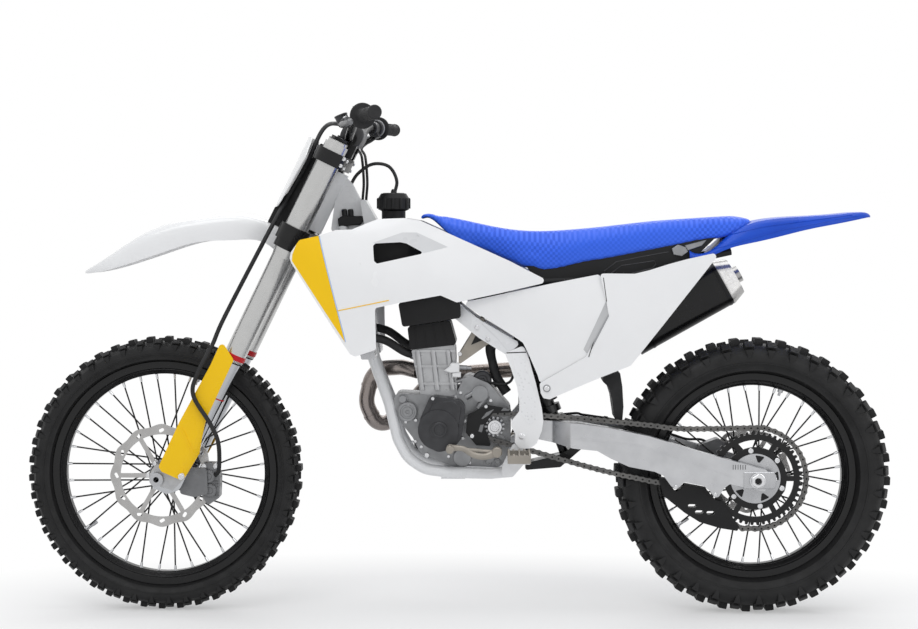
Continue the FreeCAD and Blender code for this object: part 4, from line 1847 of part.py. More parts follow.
SHROUD_Y_SHARES = [
    [0.49, 0.49, 0.46, 0.40, 0.35],
    [0.56, 0.56, 0.52, 0.42, 0.34],
    [0.68, 0.69, 0.64, 0.49, 0.37],
    [0.83, 0.84, 0.81, 0.66, 0.46],
    [0.97, 1.00, 0.99, 0.96, 0.79],
]
VENT_SHARES = [(0.687, 0.798), (0.679, 0.815), (0.584, 0.824), (0.56, 0.815), (0.499, 0.753),
               (0.502, 0.738), (0.671, 0.67), (0.682, 0.688)]
PANEL_WALL = 3.0
STUD_RADIUS = 6.0
TANK_STUD_Y = 40.0
SHROUD_STUD_SHARES = [(0.765, 0.20), (0.74, 0.66)]
SHROUD_TANK_STUD_SHARES = (0.52, 0.86)


def trimmed_sheet(area, shares, x_shares, z_shares, y_shares, half_width):
    """A curved sheet cut to a side-view outline."""
    xs = [area.x(u) for u in x_shares]
    zs = [area.z(v) for v in z_shares]
    ys = [[w * half_width for w in row] for row in y_shares]
    sheet = surface_sheet(xs, zs, ys, PANEL_WALL)
    return sheet.common(plate(area.points(shares), 0, half_width + OVERRUN, CORNER))


def studs(sheet, area, places, y_inner):
    """Posts from a panel's inner face inward to what it is fastened to."""
    posts = []
    for u, v in places:
        line = Part.LineSegment(Vector(area.x(u), 0, area.z(v)),
                                Vector(area.x(u), 2 * BAR_END_Y, area.z(v))).toShape()
        hits = sheet.common(line).BoundBox
        posts.append(cross_rod(area.x(u), area.z(v), y_inner, hits.YMin + PANEL_WALL * HALF_SHARE,
                               STUD_RADIUS))
    return posts


RADIATOR_REAR = 398.0
RADIATOR_BOTTOM = 648.0
RADIATOR_LENGTH = 90.0
RADIATOR_HEIGHT = 262.0
RADIATOR = Area(RADIATOR_REAR, RADIATOR_BOTTOM, RADIATOR_LENGTH, RADIATOR_HEIGHT)
RADIATOR_SHARES = [(0.12, 0.0), (0.50, 0.0), (1.0, 0.98), (0.60, 1.0)]
RADIATOR_INNER = 66.0
RADIATOR_OUTER = 160.0


def radiators(others):
    body = plate(RADIATOR.points(RADIATOR_SHARES), RADIATOR_INNER, RADIATOR_OUTER, CORNER * HALF_SHARE)
    return both_sides(largest(body.cut(others)))


def radiator_shrouds(others):
    """The side shrouds with their upper vents, each on studs to the radiator and the tank."""
    sheet = trimmed_sheet(SHROUD, SHROUD_SHARES, SHROUD_X_SHARES, SHROUD_Z_SHARES, SHROUD_Y_SHARES,
                          SHROUD_HALF_WIDTH)
    vent = plate(SHROUD.points(VENT_SHARES), 0, 2 * RADIATOR_OUTER, CORNER * HALF_SHARE)
    posts = studs(sheet, SHROUD, SHROUD_STUD_SHARES, RADIATOR_OUTER)
    posts += studs(sheet, SHROUD, [SHROUD_TANK_STUD_SHARES], TANK_STUD_Y)
    whole = fused([sheet.cut(vent)] + posts)
    return both_sides(largest(whole.cut(others)))


COVER_REAR = -164.0
COVER_BELOW_SEAT = 371.0
COVER_BOTTOM = SEAT_HEIGHT - COVER_BELOW_SEAT
COVER_LENGTH = 364.0
COVER_HEIGHT = 270.0
COVER = Area(COVER_REAR, COVER_BOTTOM, COVER_LENGTH, COVER_HEIGHT)
COVER_SHARES = [
    (1.0, 0.737), (0.398, 0.911), (0.06, 1.0), (0.019, 0.763), (0.0, 0.644), (0.154, 0.244),
    (0.464, 0.0), (0.478, 0.07), (0.547, 0.289), (0.58, 0.374), (0.613, 0.407), (0.904, 0.656),
]
COVER_HALF_WIDTH = 122.0
COVER_X_SHARES = [-0.04, 0.29, 0.62, 1.05]
COVER_Z_SHARES = [-0.06, 0.35, 0.72, 1.05]
COVER_Y_SHARES = [
    [0.92, 0.98, 0.97, 0.87],
    [0.92, 0.98, 0.95, 0.84],
    [0.92, 0.96, 0.93, 0.85],
    [0.97, 1.00, 0.98, 0.92],
]
COVER_STUD_SHARES = [(0.30, 0.55), (0.20, 0.80)]
COVER_STUD_Y = 49.0
PANEL_REAR = -441.0
PANEL_BELOW_SEAT = 410.0
PANEL_BOTTOM = SEAT_HEIGHT - PANEL_BELOW_SEAT
PANEL_LENGTH = 447.0
PANEL_HEIGHT = 364.0
PANEL = Area(PANEL_REAR, PANEL_BOTTOM, PANEL_LENGTH, PANEL_HEIGHT)
PANEL_SHARES = [
    (0.669, 0.852), (0.631, 0.854), (0.477, 0.852), (0.396, 0.876), (0.286, 0.918), (0.186, 0.951),
    (0.0, 1.0), (0.45, 0.305), (0.499, 0.231), (0.669, 0.148), (0.857, 0.049), (0.944, 0.0),
    (0.978, 0.008), (0.993, 0.041), (1.0, 0.11), (0.747, 0.291), (0.62, 0.588), (0.638, 0.676),
]
PANEL_HALF_WIDTH = 124.0
PANEL_X_SHARES = [-0.04, 0.32, 0.67, 1.03]
PANEL_Z_SHARES = [-0.05, 0.31, 0.67, 1.05]
PANEL_Y_SHARES = [
    [0.77, 0.79, 0.79, 0.74],
    [0.90, 0.94, 0.92, 0.84],
    [0.95, 1.00, 0.98, 0.87],
    [0.92, 0.97, 0.95, 0.85],
]
PANEL_STUD_SHARES = [(0.52, 0.74), (0.30, 0.84)]
PANEL_STUD_Y = 58.0


def side_cover():
    sheet = trimmed_sheet(COVER, COVER_SHARES, COVER_X_SHARES, COVER_Z_SHARES, COVER_Y_SHARES,
                          COVER_HALF_WIDTH)
    return fused([sheet] + studs(sheet, COVER, COVER_STUD_SHARES, COVER_STUD_Y))


def side_panel():
    sheet = trimmed_sheet(PANEL, PANEL_SHARES, PANEL_X_SHARES, PANEL_Z_SHARES, PANEL_Y_SHARES,
                          PANEL_HALF_WIDTH)
    return fused([sheet] + studs(sheet, PANEL, PANEL_STUD_SHARES, PANEL_STUD_Y))


TANK_COVER_REAR = 200.0
TANK_COVER_BOTTOM = 725.0
TANK_COVER_LENGTH = 155.0
TANK_COVER_HEIGHT = 79.0
TANK_COVER = Area(TANK_COVER_REAR, TANK_COVER_BOTTOM, TANK_COVER_LENGTH, TANK_COVER_HEIGHT)
TANK_COVER_SHARES = [(1.0, 0.759), (0.316, 1.0), (0.013, 0.759), (0.0, 0.291), (0.935, 0.0)]
TANK_COVER_INNER = 62.0
TANK_COVER_OUTER = 112.0

FLAP_REAR = -208.0
FLAP_BOTTOM = 484.0
FLAP_LENGTH = 54.0
FLAP_HEIGHT = 124.0
FLAP = Area(FLAP_REAR, FLAP_BOTTOM, FLAP_LENGTH, FLAP_HEIGHT)
FLAP_SHARES = [
    (1.0, 0.815), (0.74, 0.71), (0.593, 0.508), (0.444, 0.065), (0.093, 0.0), (0.037, 0.306),
    (0.093, 0.718), (0.204, 1.0), (0.90, 1.0),
]
FLAP_HALF = 48.0

PEG_PIN_Y = 122.0
PEG_PIN_Z = 404.0
PEG_PIN_RADIUS = 5.0
PEG_REAR = 29.0
PEG_FRONT = 85.0
PEG_EAR = 8.0
PEG_EAR_REACH = 10.0
PEG_SIDE_GAP = 1.0
PEG_PLATFORM_START = 136.0
PEG_PLATFORM_END = 240.0
PEG_TOP = 423.0
PEG_BOTTOM = 403.0
PEG_KNUCKLE_RADIUS = 10.0
PEG_RIB = 6.0
PEG_BACK = 4.0
PEG_RIBS = 3


def peg_brackets():
    """The two ears on each side that carry a footpeg's pin, with the pin."""
    ears = []
    for x in (PEG_REAR, PEG_FRONT - PEG_EAR):
        ears.append(block(x, x + PEG_EAR, UPRIGHT_OUTER, PEG_PIN_Y, PEG_PIN_Z - PEG_EAR_REACH,
                          PEG_PIN_Z + PEG_EAR_REACH))
        eye = Vector(x, PEG_PIN_Y, PEG_PIN_Z)
        ears.append(rod(eye, eye + FORWARD * PEG_EAR, PEG_EAR_REACH))
    back = block(PEG_REAR, PEG_FRONT, UPRIGHT_OUTER, UPRIGHT_OUTER + PEG_BACK,
                 PEG_PIN_Z - 2 * PEG_EAR_REACH, PEG_PIN_Z)
    pin = rod(Vector(PEG_REAR, PEG_PIN_Y, PEG_PIN_Z), Vector(PEG_FRONT, PEG_PIN_Y, PEG_PIN_Z),
              PEG_PIN_RADIUS)
    bracket = fused(ears + [back, pin])
    return both_sides(bracket)


def footpeg():
    """An open peg: a knuckle on the pin, an arm and a toothed platform frame."""
    inner_rear = PEG_REAR + PEG_EAR + PEG_SIDE_GAP
    inner_front = PEG_FRONT - PEG_EAR - PEG_SIDE_GAP
    knuckle = rod(Vector(inner_rear, PEG_PIN_Y, PEG_PIN_Z), Vector(inner_front, PEG_PIN_Y, PEG_PIN_Z),
                  PEG_KNUCKLE_RADIUS)
    arm = block(inner_rear, inner_front, PEG_PIN_Y, PEG_PLATFORM_START + PEG_RIB,
                PEG_PIN_Z - PEG_KNUCKLE_RADIUS * HALF_SHARE, PEG_PIN_Z + PEG_KNUCKLE_RADIUS)
    frame = block(PEG_REAR, PEG_FRONT, PEG_PLATFORM_START, PEG_PLATFORM_END, PEG_BOTTOM, PEG_TOP)
    room = block(PEG_REAR + PEG_RIB, PEG_FRONT - PEG_RIB, PEG_PLATFORM_START + PEG_RIB,
                 PEG_PLATFORM_END - PEG_RIB, PEG_BOTTOM - OVERRUN, PEG_TOP + OVERRUN)
    pieces = [knuckle, arm, frame.cut(room)]
    span = (PEG_FRONT - PEG_REAR) / (PEG_RIBS - 1)
    for i in range(1, PEG_RIBS - 1):
        x = PEG_REAR + span * i
        pieces.append(block(x - PEG_RIB * HALF_SHARE, x + PEG_RIB * HALF_SHARE, PEG_PLATFORM_START,
                            PEG_PLATFORM_END, PEG_BOTTOM, PEG_TOP))
    bore = rod(Vector(PEG_REAR, PEG_PIN_Y, PEG_PIN_Z), Vector(PEG_FRONT, PEG_PIN_Y, PEG_PIN_Z),
               PEG_PIN_RADIUS + RUNNING_GAP)
    return largest(fused(pieces).cut(bore))


THROTTLE_CABLES = [
    (440.0, -262.0, 1206.0), (466.0, -190.0, 1178.0), (448.0, -66.0, 1150.0), (440.0, -24.0, 1085.0),
    (444.0, -46.0, 1020.0), (424.0, -58.0, 972.0),
]
CABLE_RADIUS = 3.5
CABLE_SPACING = 9.0


def throttle_cables(others):
    """Two cables from the throttle's housing down beside the tank."""
    cables = []
    for i in range(2):
        points = [Vector(x, y, z) + FORWARD * (CABLE_SPACING * i) for x, y, z in THROTTLE_CABLES]
        cables.append(largest(tube(points, CABLE_RADIUS, HOSE_BEND).cut(others)))
    return cables


COOLANT_HOSES = [
    [(440.0, 90.0, 700.0), (392.0, 66.0, 690.0), (345.0, 40.0, 660.0), (318.0, 30.0, 652.0)],
    [(440.0, -90.0, 716.0), (392.0, -66.0, 706.0), (345.0, -40.0, 676.0), (318.0, -30.0, 664.0)],
]
COOLANT_RADIUS = 10.0


def coolant_hoses(others):
    return [hose(points, COOLANT_RADIUS, others) for points in COOLANT_HOSES]


def build():
    """Makes every node, the inner ones first, since what is fastened to them is cut by them."""
    keep("chain", chain_loop())
    front_wheel()
    rear_wheel()
    frame = main_frame()
    keep("main_frame", frame)
    keep("frame_guards", frame_guards())
    clamps = triple_clamps()
    keep("triple_clamps", clamps)
    outers = fork_outer_tubes()
    keep("fork_outer_tubes", [fused([tube_bar, ring]) for tube_bar, ring in zip(outers, fork_wipers())])
    legs = fork_inner_tubes()
    keep("fork_inner_tubes", legs)
    keep("fork_guards", fork_guards())
    keep("front_axle", axle(FRONT_AXLE, FRONT_AXLE_RADIUS, AXLE_HALF_LENGTH))
    keep("rear_axle", axle(REAR_AXLE, REAR_AXLE_RADIUS, REAR_AXLE_HALF_LENGTH))
    fender = front_fender()
    keep("front_fender", fender)
    front_plate = number_plate()
    keep("number_plate", front_plate)
    head_room = rod(fork_point(HEAD_TUBE_LOW, 0, 0), fork_point(HEAD_TUBE_HIGH, 0, 0),
                    HEAD_TUBE_RADIUS + MOVING_GAP)
    keep("plate_mount", plate_mount([clamps, fender, front_plate, head_room] + outers))
    bar = handlebar()
    keep("handlebar", bar)
    keep("grips", grips(bar))
    clutch = lever_set(1.0, bar)
    brake = fused([lever_set(-1.0, bar), throttle_housing(bar)])
    keep("clutch_control", clutch)
    keep("brake_control", brake)
    keep("bar_pad", bar_pad(bar))
    caliper = front_caliper(legs)
    keep("front_caliper", caliper)
    keep("front_brake_hose", hose(FRONT_HOSE, HOSE_RADIUS, [caliper, brake]))
    case = fused([crankcase(frame), clutch_cover()])
    keep("crankcase", case)
    cylinder = cylinder_block()
    keep("cylinder", cylinder)
    cover = head_cover()
    keep("head_cover", cover)
    keep("ignition_cover", ignition_cover())
    keep("engine_stay", engine_stay([frame, cylinder, cover]))
    keep("drive_sprocket", drive_sprocket())
    keep("sprocket_guard", sprocket_guard())
    keep("foot_levers", [gear_lever(), brake_pedal(frame)])
    can = silencer()
    pipe = exhaust_pipe([cylinder, can, case])
    keep("exhaust_pipe", pipe)
    keep("silencer", can)
    arm = swingarm()
    keep("swingarm", arm)
    keep("chain_guide", chain_guide())
    shock = fused([shock_absorber([frame]), shock_linkage([frame, arm])])
    keep("shock_absorber", shock)
    keep("rear_caliper", rear_caliper())
    cushion = seat()
    keep("seat", cushion)
    rails = subframe([frame, can])
    keep("subframe", rails)
    keep("rear_fender", rear_fender([cushion, rails]))
    box = airbox([frame, rails, shock])
    keep("airbox", box)
    tank = fuel_tank([frame, cushion, cover])
    keep("fuel_tank", tank)
    cap = filler_cap()
    keep("filler_cap", cap)
    vent = hose(VENT_HOSE, VENT_HOSE_RADIUS, [cap, frame])
    coolers = radiators([frame, tank])
    keep("radiators", coolers)
    keep("engine_hoses", [vent] + coolant_hoses(coolers + [cylinder, case, cover]))
    keep("radiator_shrouds", radiator_shrouds(coolers + [tank]))
    keep("side_covers", both_sides(largest(side_cover().cut([box, rails, frame]))))
    panel = side_panel()
    right_panel = mirrored(panel).cut([rails, silencer_room(MOVING_GAP),
                                       exhaust_run(EXHAUST_RADIUS + MOVING_GAP)])
    keep("side_panels", [largest(panel.cut(rails)), largest(right_panel)])
    tank_cover = plate(TANK_COVER.points(TANK_COVER_SHARES), TANK_COVER_INNER, TANK_COVER_OUTER, CORNER)
    keep("tank_covers", both_sides(largest(tank_cover.cut([frame, cover, tank] + coolers))))
    flap = plate(FLAP.points(FLAP_SHARES), -FLAP_HALF, FLAP_HALF, CORNER * HALF_SHARE)
    keep("mud_flap", largest(flap.cut(box)))
    peg = footpeg()
    keep("left_footpeg", peg)
    keep("right_footpeg", mirrored(peg))
    keep("throttle_cables", throttle_cables([tank, frame, brake]))


build()

os.makedirs("parts", exist_ok=True)
for node, solid in PARTS.items():
    solid.exportStep(os.path.join("parts", node + ".step"))
    print(node, len(solid.Solids), round(solid.Volume), solid.isValid())
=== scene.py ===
"""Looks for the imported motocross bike: materials, fitted detail, studio light and camera.

Places are written in millimetres in the source's standing frame: +X forward, +Y to the rider's left, +Z up
from the ground, with X = 0 at the rider's place. at() turns them into metres in the part's own frame.
"""

import math

import bmesh
import bpy
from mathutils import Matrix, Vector
from mathutils.bvhtree import BVHTree


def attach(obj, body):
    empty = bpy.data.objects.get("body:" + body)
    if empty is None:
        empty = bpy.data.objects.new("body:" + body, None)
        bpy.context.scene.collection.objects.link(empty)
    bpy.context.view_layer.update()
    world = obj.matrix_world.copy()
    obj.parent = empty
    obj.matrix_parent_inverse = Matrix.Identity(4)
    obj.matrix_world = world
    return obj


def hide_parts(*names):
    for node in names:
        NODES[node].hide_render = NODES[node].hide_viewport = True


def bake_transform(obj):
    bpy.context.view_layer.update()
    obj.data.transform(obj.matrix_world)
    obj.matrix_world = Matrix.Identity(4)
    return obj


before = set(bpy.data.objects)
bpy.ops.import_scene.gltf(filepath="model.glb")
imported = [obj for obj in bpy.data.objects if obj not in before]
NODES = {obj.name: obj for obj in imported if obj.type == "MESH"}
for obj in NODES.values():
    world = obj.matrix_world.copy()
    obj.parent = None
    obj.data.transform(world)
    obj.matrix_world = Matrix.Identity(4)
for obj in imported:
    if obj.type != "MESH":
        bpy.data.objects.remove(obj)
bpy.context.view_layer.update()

MM = 0.001
SEAT_HEIGHT = 957.0

# The camera of the photograph, in the standing frame, and its point of view in picture points
CAMERA_PLACE = Vector((113.6, 4560.0, 979.3))
FOCAL_PIXELS = 1805.8
FRAME_WIDTH, FRAME_HEIGHT = 918, 629
PRINCIPAL = (496.0, 224.0)
SENSOR = 36.0


def at(x, y, z):
    """A place in the standing frame, in millimetres, as metres in the part's frame."""
    return Vector((x * MM, y * MM, (z - SEAT_HEIGHT) * MM))


# Materials

WHITE = (0.925, 0.926, 0.93)
YELLOW = (1.0, 0.62, 0.004)
BLUE = (0.016, 0.095, 0.66)
BLACK = (0.006, 0.006, 0.0065)
COAT_ROUGHNESS = 0.04
NOISE_ROUGHNESS = 0.55
SEAT_WAVES = 470.0


def wired(tree, kind, inputs, output=0, **settings):
    """One output of a new shader node, whose inputs are values or other nodes' outputs."""
    node = tree.nodes.new("ShaderNode" + kind)
    for key, value in settings.items():
        setattr(node, key, value)
    for socket, value in inputs.items():
        if isinstance(value, bpy.types.NodeSocket):
            tree.links.new(value, node.inputs[socket])
        else:
            node.inputs[socket].default_value = value
    return node.outputs[output]


class Surface:
    """A procedural material: a Principled shader with noise in its colour, roughness and bump."""

    def __init__(self, name, color, roughness=0.5, metallic=0.0, coat=0.0, sheen=0.0, specular=0.5):
        self.material = bpy.data.materials.new(name)
        self.material.use_nodes = True
        self.tree = self.material.node_tree
        self.shader = self.tree.nodes["Principled BSDF"]
        self.place = self.tree.nodes.new("ShaderNodeTexCoord").outputs["Object"]
        self.color, self.roughness = color, roughness
        constants = {"Base Color": (*color, 1.0), "Roughness": roughness, "Metallic": metallic,
                     "Coat Weight": coat, "Coat Roughness": COAT_ROUGHNESS, "Sheen Weight": sheen,
                     "Specular IOR Level": specular}
        for socket, value in constants.items():
            self.shader.inputs[socket].default_value = value

    def scaled(self, stretch):
        """The object coordinates, stretched along each axis."""
        return wired(self.tree, "Mapping", {"Scale": stretch, "Vector": self.place})

    def noise(self, scale, detail=4.0, stretch=(1, 1, 1)):
        return wired(self.tree, "TexNoise", {"Scale": scale, "Detail": detail, "Roughness": NOISE_ROUGHNESS,
                                             "Vector": self.scaled(stretch)}, "Fac")

    def cells(self, scale, stretch=(1, 1, 1)):
        return wired(self.tree, "TexVoronoi", {"Scale": scale, "Vector": self.scaled(stretch)}, "Distance")

    def ranged(self, value, low, high, from_low, from_high):
        return wired(self.tree, "MapRange", {"From Min": from_low, "From Max": from_high, "To Min": low,
                                             "To Max": high, "Value": value}, "Result")

    def math(self, operation, *values):
        return wired(self.tree, "Math", dict(enumerate(values)), operation=operation)

    def axis(self, index):
        return wired(self.tree, "SeparateXYZ", {0: self.place}, index)

    def vary_roughness(self, value, spread, from_low=0.3, from_high=0.7):
        low, high = max(0.02, self.roughness - spread), min(1.0, self.roughness + spread)
        out = self.ranged(value, low, high, from_low, from_high)
        self.tree.links.new(out, self.shader.inputs["Roughness"])

    def vary_color(self, value, second, from_low=0.3, from_high=0.7):
        source = self.shader.inputs["Base Color"]
        first = source.links[0].from_socket if source.is_linked else (*self.color, 1.0)
        share = self.ranged(value, 0.0, 1.0, from_low, from_high)
        mixed = wired(self.tree, "Mix", {0: share, 6: first, 7: (*second, 1.0)}, 2, data_type="RGBA")
        self.tree.links.new(mixed, source)

    def bump(self, value, depth_mm, strength):
        inputs = {"Strength": strength, "Distance": depth_mm * MM, "Height": value}
        normal = self.shader.inputs["Normal"]
        if normal.is_linked:
            inputs["Normal"] = normal.links[0].from_socket
        self.tree.links.new(wired(self.tree, "Bump", inputs), normal)


def gloss_level(color):
    """Dark colours reflect less, so that they stay dark."""
    return 0.25 if min(color) < 0.1 else 0.5


def moulded(name, color, roughness, second=None, grain=0.05, coat=0.0):
    """Moulded plastic: a faint flow in the gloss and a fine orange peel."""
    s = Surface(name, color, roughness, coat=coat, specular=gloss_level(color))
    s.vary_roughness(s.noise(9.0, 3.0), roughness * 0.25)
    s.bump(s.noise(700.0, 2.0), grain, 0.25)
    s.bump(s.noise(38.0, 2.0), 0.25, 0.10)
    if second:
        s.vary_color(s.noise(6.0, 3.0), second)
    return s.material


def cast(name, color, roughness, second, grain=0.35):
    """Cast metal: a pebbled skin with slightly uneven tone."""
    s = Surface(name, color, roughness, 0.55)
    s.vary_roughness(s.noise(60.0, 4.0), 0.12)
    s.vary_color(s.noise(25.0, 5.0), second)
    s.bump(s.noise(900.0, 3.0), grain, 0.35)
    return s.material


def drawn(name, color, roughness, stretch=(1, 1, 1), scale=300.0, second=None, metallic=0.9):
    """Machined or drawn metal: fine lines along the form."""
    s = Surface(name, color, roughness, metallic)
    s.vary_roughness(s.noise(scale, 4.0, stretch), roughness * 0.2)
    s.bump(s.noise(scale * 2.0, 3.0, stretch), 0.01, 0.04)
    if second:
        s.vary_color(s.noise(18.0, 4.0), second)
    return s.material


def coated(name, color, roughness, grain, coat):
    """Powder coat: a fine peel under a soft gloss."""
    s = Surface(name, color, roughness, coat=coat, specular=gloss_level(color))
    s.vary_roughness(s.noise(20.0, 4.0), roughness * 0.3)
    s.bump(s.noise(420.0, 3.0), grain, 0.35)
    return s.material


def heated_steel():
    """Polished exhaust steel with a brown tint from the heat."""
    s = Surface("header_steel", (0.33, 0.285, 0.25), 0.24, 0.92)
    s.vary_roughness(s.noise(30.0, 3.0), 0.05)
    s.vary_color(s.noise(4.0, 2.0), (0.22, 0.17, 0.14))
    s.vary_color(s.noise(1.6, 1.0), (0.27, 0.25, 0.25))
    s.bump(s.noise(350.0, 2.0), 0.01, 0.03)
    return s.material


def rubber(name, color, roughness, grain=0.2, second=(0.03, 0.03, 0.031)):
    """Rubber: uneven in tone and gloss, with a rough skin."""
    s = Surface(name, color, roughness, specular=0.28)
    s.vary_roughness(s.noise(30.0, 5.0), 0.12)
    s.vary_color(s.noise(14.0, 5.0), second)
    s.bump(s.noise(500.0, 4.0), grain, 0.4)
    return s.material


def seat_cover():
    """The gripping cover: small raised scales and a slightly uneven blue."""
    s = Surface("seat_cover", (0.026, 0.145, 0.93), 0.55, sheen=0.15)
    ways = (s.axis(0), s.math("ADD", s.axis(1), s.axis(2)))
    waves = [s.math("SINE", s.math("MULTIPLY", way, SEAT_WAVES)) for way in ways]
    scales = s.ranged(s.math("MULTIPLY", *waves), 0.0, 1.0, -0.6, 0.6)
    s.vary_roughness(scales, 0.12, 0.1, 0.8)
    s.vary_color(scales, (0.012, 0.088, 0.68), 0.25, 0.75)
    s.vary_color(s.noise(7.0, 3.0), (0.022, 0.13, 0.86))
    s.bump(scales, 0.5, 0.5)
    s.bump(s.noise(1500.0, 2.0), 0.05, 0.3)
    return s.material


def pad_cover():
    """Coated black cloth with a fine weave."""
    s = Surface("pad_cover", (0.016, 0.016, 0.018), 0.6, sheen=0.2)
    weave = s.cells(900.0, (1.0, 1.6, 1.0))
    s.vary_color(weave, (0.03, 0.03, 0.032), 0.2, 0.8)
    s.vary_roughness(s.noise(20.0), 0.12)
    s.bump(weave, 0.25, 0.5)
    return s.material


def dimpled():
    """White guard plastic pressed with rows of small dimples, with painted shade darkening the middle of each
    dimple.
    """
    s = Surface("dimpled_white", (0.80, 0.803, 0.81), 0.34)
    dots = s.ranged(s.cells(105.0), 0.0, 1.0, 0.12, 0.34)
    # Painted shade: each dimple's hollow middle is darker than the plastic around it
    s.vary_color(dots, (0.885, 0.888, 0.895), 0.0, 1.0)
    s.bump(dots, 0.7, 0.6)
    s.vary_roughness(s.noise(12.0), 0.08)
    return s.material


MATERIALS = {
    "white": moulded("white_gloss", WHITE, 0.22, (0.89, 0.891, 0.895), coat=0.35),
    "yellow": moulded("yellow_gloss", YELLOW, 0.3, (0.97, 0.585, 0.004), coat=0.08),
    "blue": moulded("blue_plastic", BLUE, 0.32, (0.010, 0.066, 0.50)),
    "black_plastic": moulded("black_plastic", BLACK, 0.45, (0.011, 0.011, 0.012), 0.16),
    "frame": coated("frame_white", (0.80, 0.805, 0.815), 0.30, 0.06, 0.4),
    "black": coated("black_coat", BLACK, 0.3, 0.05, 0.12),
    "black_anodised": drawn("black_anodised", (0.02, 0.02, 0.021), 0.32),
    "silver": drawn("silver", (0.50, 0.505, 0.52), 0.30, second=(0.40, 0.405, 0.42), metallic=0.8),
    "swingarm": drawn("swingarm_silver", (0.56, 0.565, 0.58), 0.33, (0.15, 1, 1), 120.0,
                      (0.47, 0.475, 0.49), 0.75),
    "cast": cast("cast_silver", (0.33, 0.335, 0.345), 0.42, (0.24, 0.243, 0.25)),
    "light_cast": cast("light_cast_silver", (0.50, 0.505, 0.515), 0.38, (0.40, 0.403, 0.41), 0.25),
    "dark_cast": cast("dark_cast", (0.055, 0.056, 0.06), 0.42, (0.035, 0.035, 0.038)),
    "grey_cast": cast("grey_cast", (0.20, 0.203, 0.21), 0.38, (0.15, 0.152, 0.158)),
    "steel": drawn("steel", (0.46, 0.455, 0.45), 0.28, scale=160.0, second=(0.38, 0.375, 0.37),
                   metallic=0.85),
    "dark_steel": drawn("dark_steel", (0.16, 0.155, 0.15), 0.38, scale=160.0, second=(0.10, 0.10, 0.10)),
    "header": heated_steel(),
    "alloy": drawn("fork_alloy", (0.54, 0.54, 0.535), 0.26, scale=40.0, second=(0.50, 0.50, 0.495)),
    "chrome": drawn("fork_chrome", (0.47, 0.48, 0.50), 0.09, scale=40.0, second=(0.43, 0.44, 0.46),
                    metallic=1.0),
    "rubber": rubber("black_rubber", (0.014, 0.014, 0.015), 0.62),
    "tyre": rubber("tyre_rubber", (0.009, 0.009, 0.0093), 0.58, 0.3, (0.016, 0.016, 0.0165)),
    "seat": seat_cover(),
    "bright": drawn("bright_steel", (0.72, 0.725, 0.74), 0.24, second=(0.62, 0.625, 0.64)),
    # Painted shade: a darker white laid over recesses and creases of the white parts
    "painted_shade_white": moulded("painted_shade_white", (0.66, 0.665, 0.675), 0.3, (0.74, 0.745, 0.755)),
    "dimpled": dimpled(),
    "pad": pad_cover(),
    "pale_blue": moulded("pale_blue", (0.40, 0.55, 0.86), 0.3),
    # Painted shade: a grey laid where the side cover's scoop lies in shade
    "scoop_shade_grey": moulded("scoop_shade_grey", (0.50, 0.503, 0.51), 0.35, (0.60, 0.603, 0.61)),
    "grey_plastic": moulded("grey_plastic", (0.34, 0.345, 0.355), 0.4),
    "red": moulded("red_seal", (0.55, 0.010, 0.016), 0.35),
    "bronze": cast("bronze_grey", (0.34, 0.31, 0.27), 0.42, (0.28, 0.26, 0.23), 0.2),
}

NODE_MATERIALS = {
    "white": "frame_guards front_fender number_plate radiator_shrouds side_covers side_panels",
    "yellow": "fork_guards",
    "blue": "rear_fender seat",
    "frame": "main_frame",
    "black": "front_wheel_rim rear_wheel_rim handlebar triple_clamps rear_sprocket silencer shock_absorber",
    "silver": "front_hub rear_hub front_axle rear_axle drive_sprocket radiators",
    "swingarm": "swingarm",
    "cast": "crankcase",
    "light_cast": "cylinder",
    "dark_cast": "ignition_cover clutch_control brake_control",
    "grey_cast": "front_caliper rear_caliper",
    "black_plastic": "airbox head_cover sprocket_guard chain_guide tank_covers filler_cap plate_mount "
                     "fuel_tank subframe",
    "rubber": "grips bar_pad mud_flap engine_hoses front_brake_hose throttle_cables",
    "steel": "front_disc rear_disc",
    "header": "exhaust_pipe",
    "bronze": "engine_stay foot_levers left_footpeg right_footpeg",
    "dark_steel": "chain",
    "alloy": "fork_outer_tubes",
    "chrome": "fork_inner_tubes",
    "tyre": "front_tyre rear_tyre",
}

for kind, names in NODE_MATERIALS.items():
    for name in names.split():
        NODES[name].data.materials.clear()
        NODES[name].data.materials.append(MATERIALS[kind])


# Geometry, in millimetres of the standing frame

FORM_ANGLE, PATCH_ANGLE = 32.0, 35.0
PATCH_ROOT = 0.3


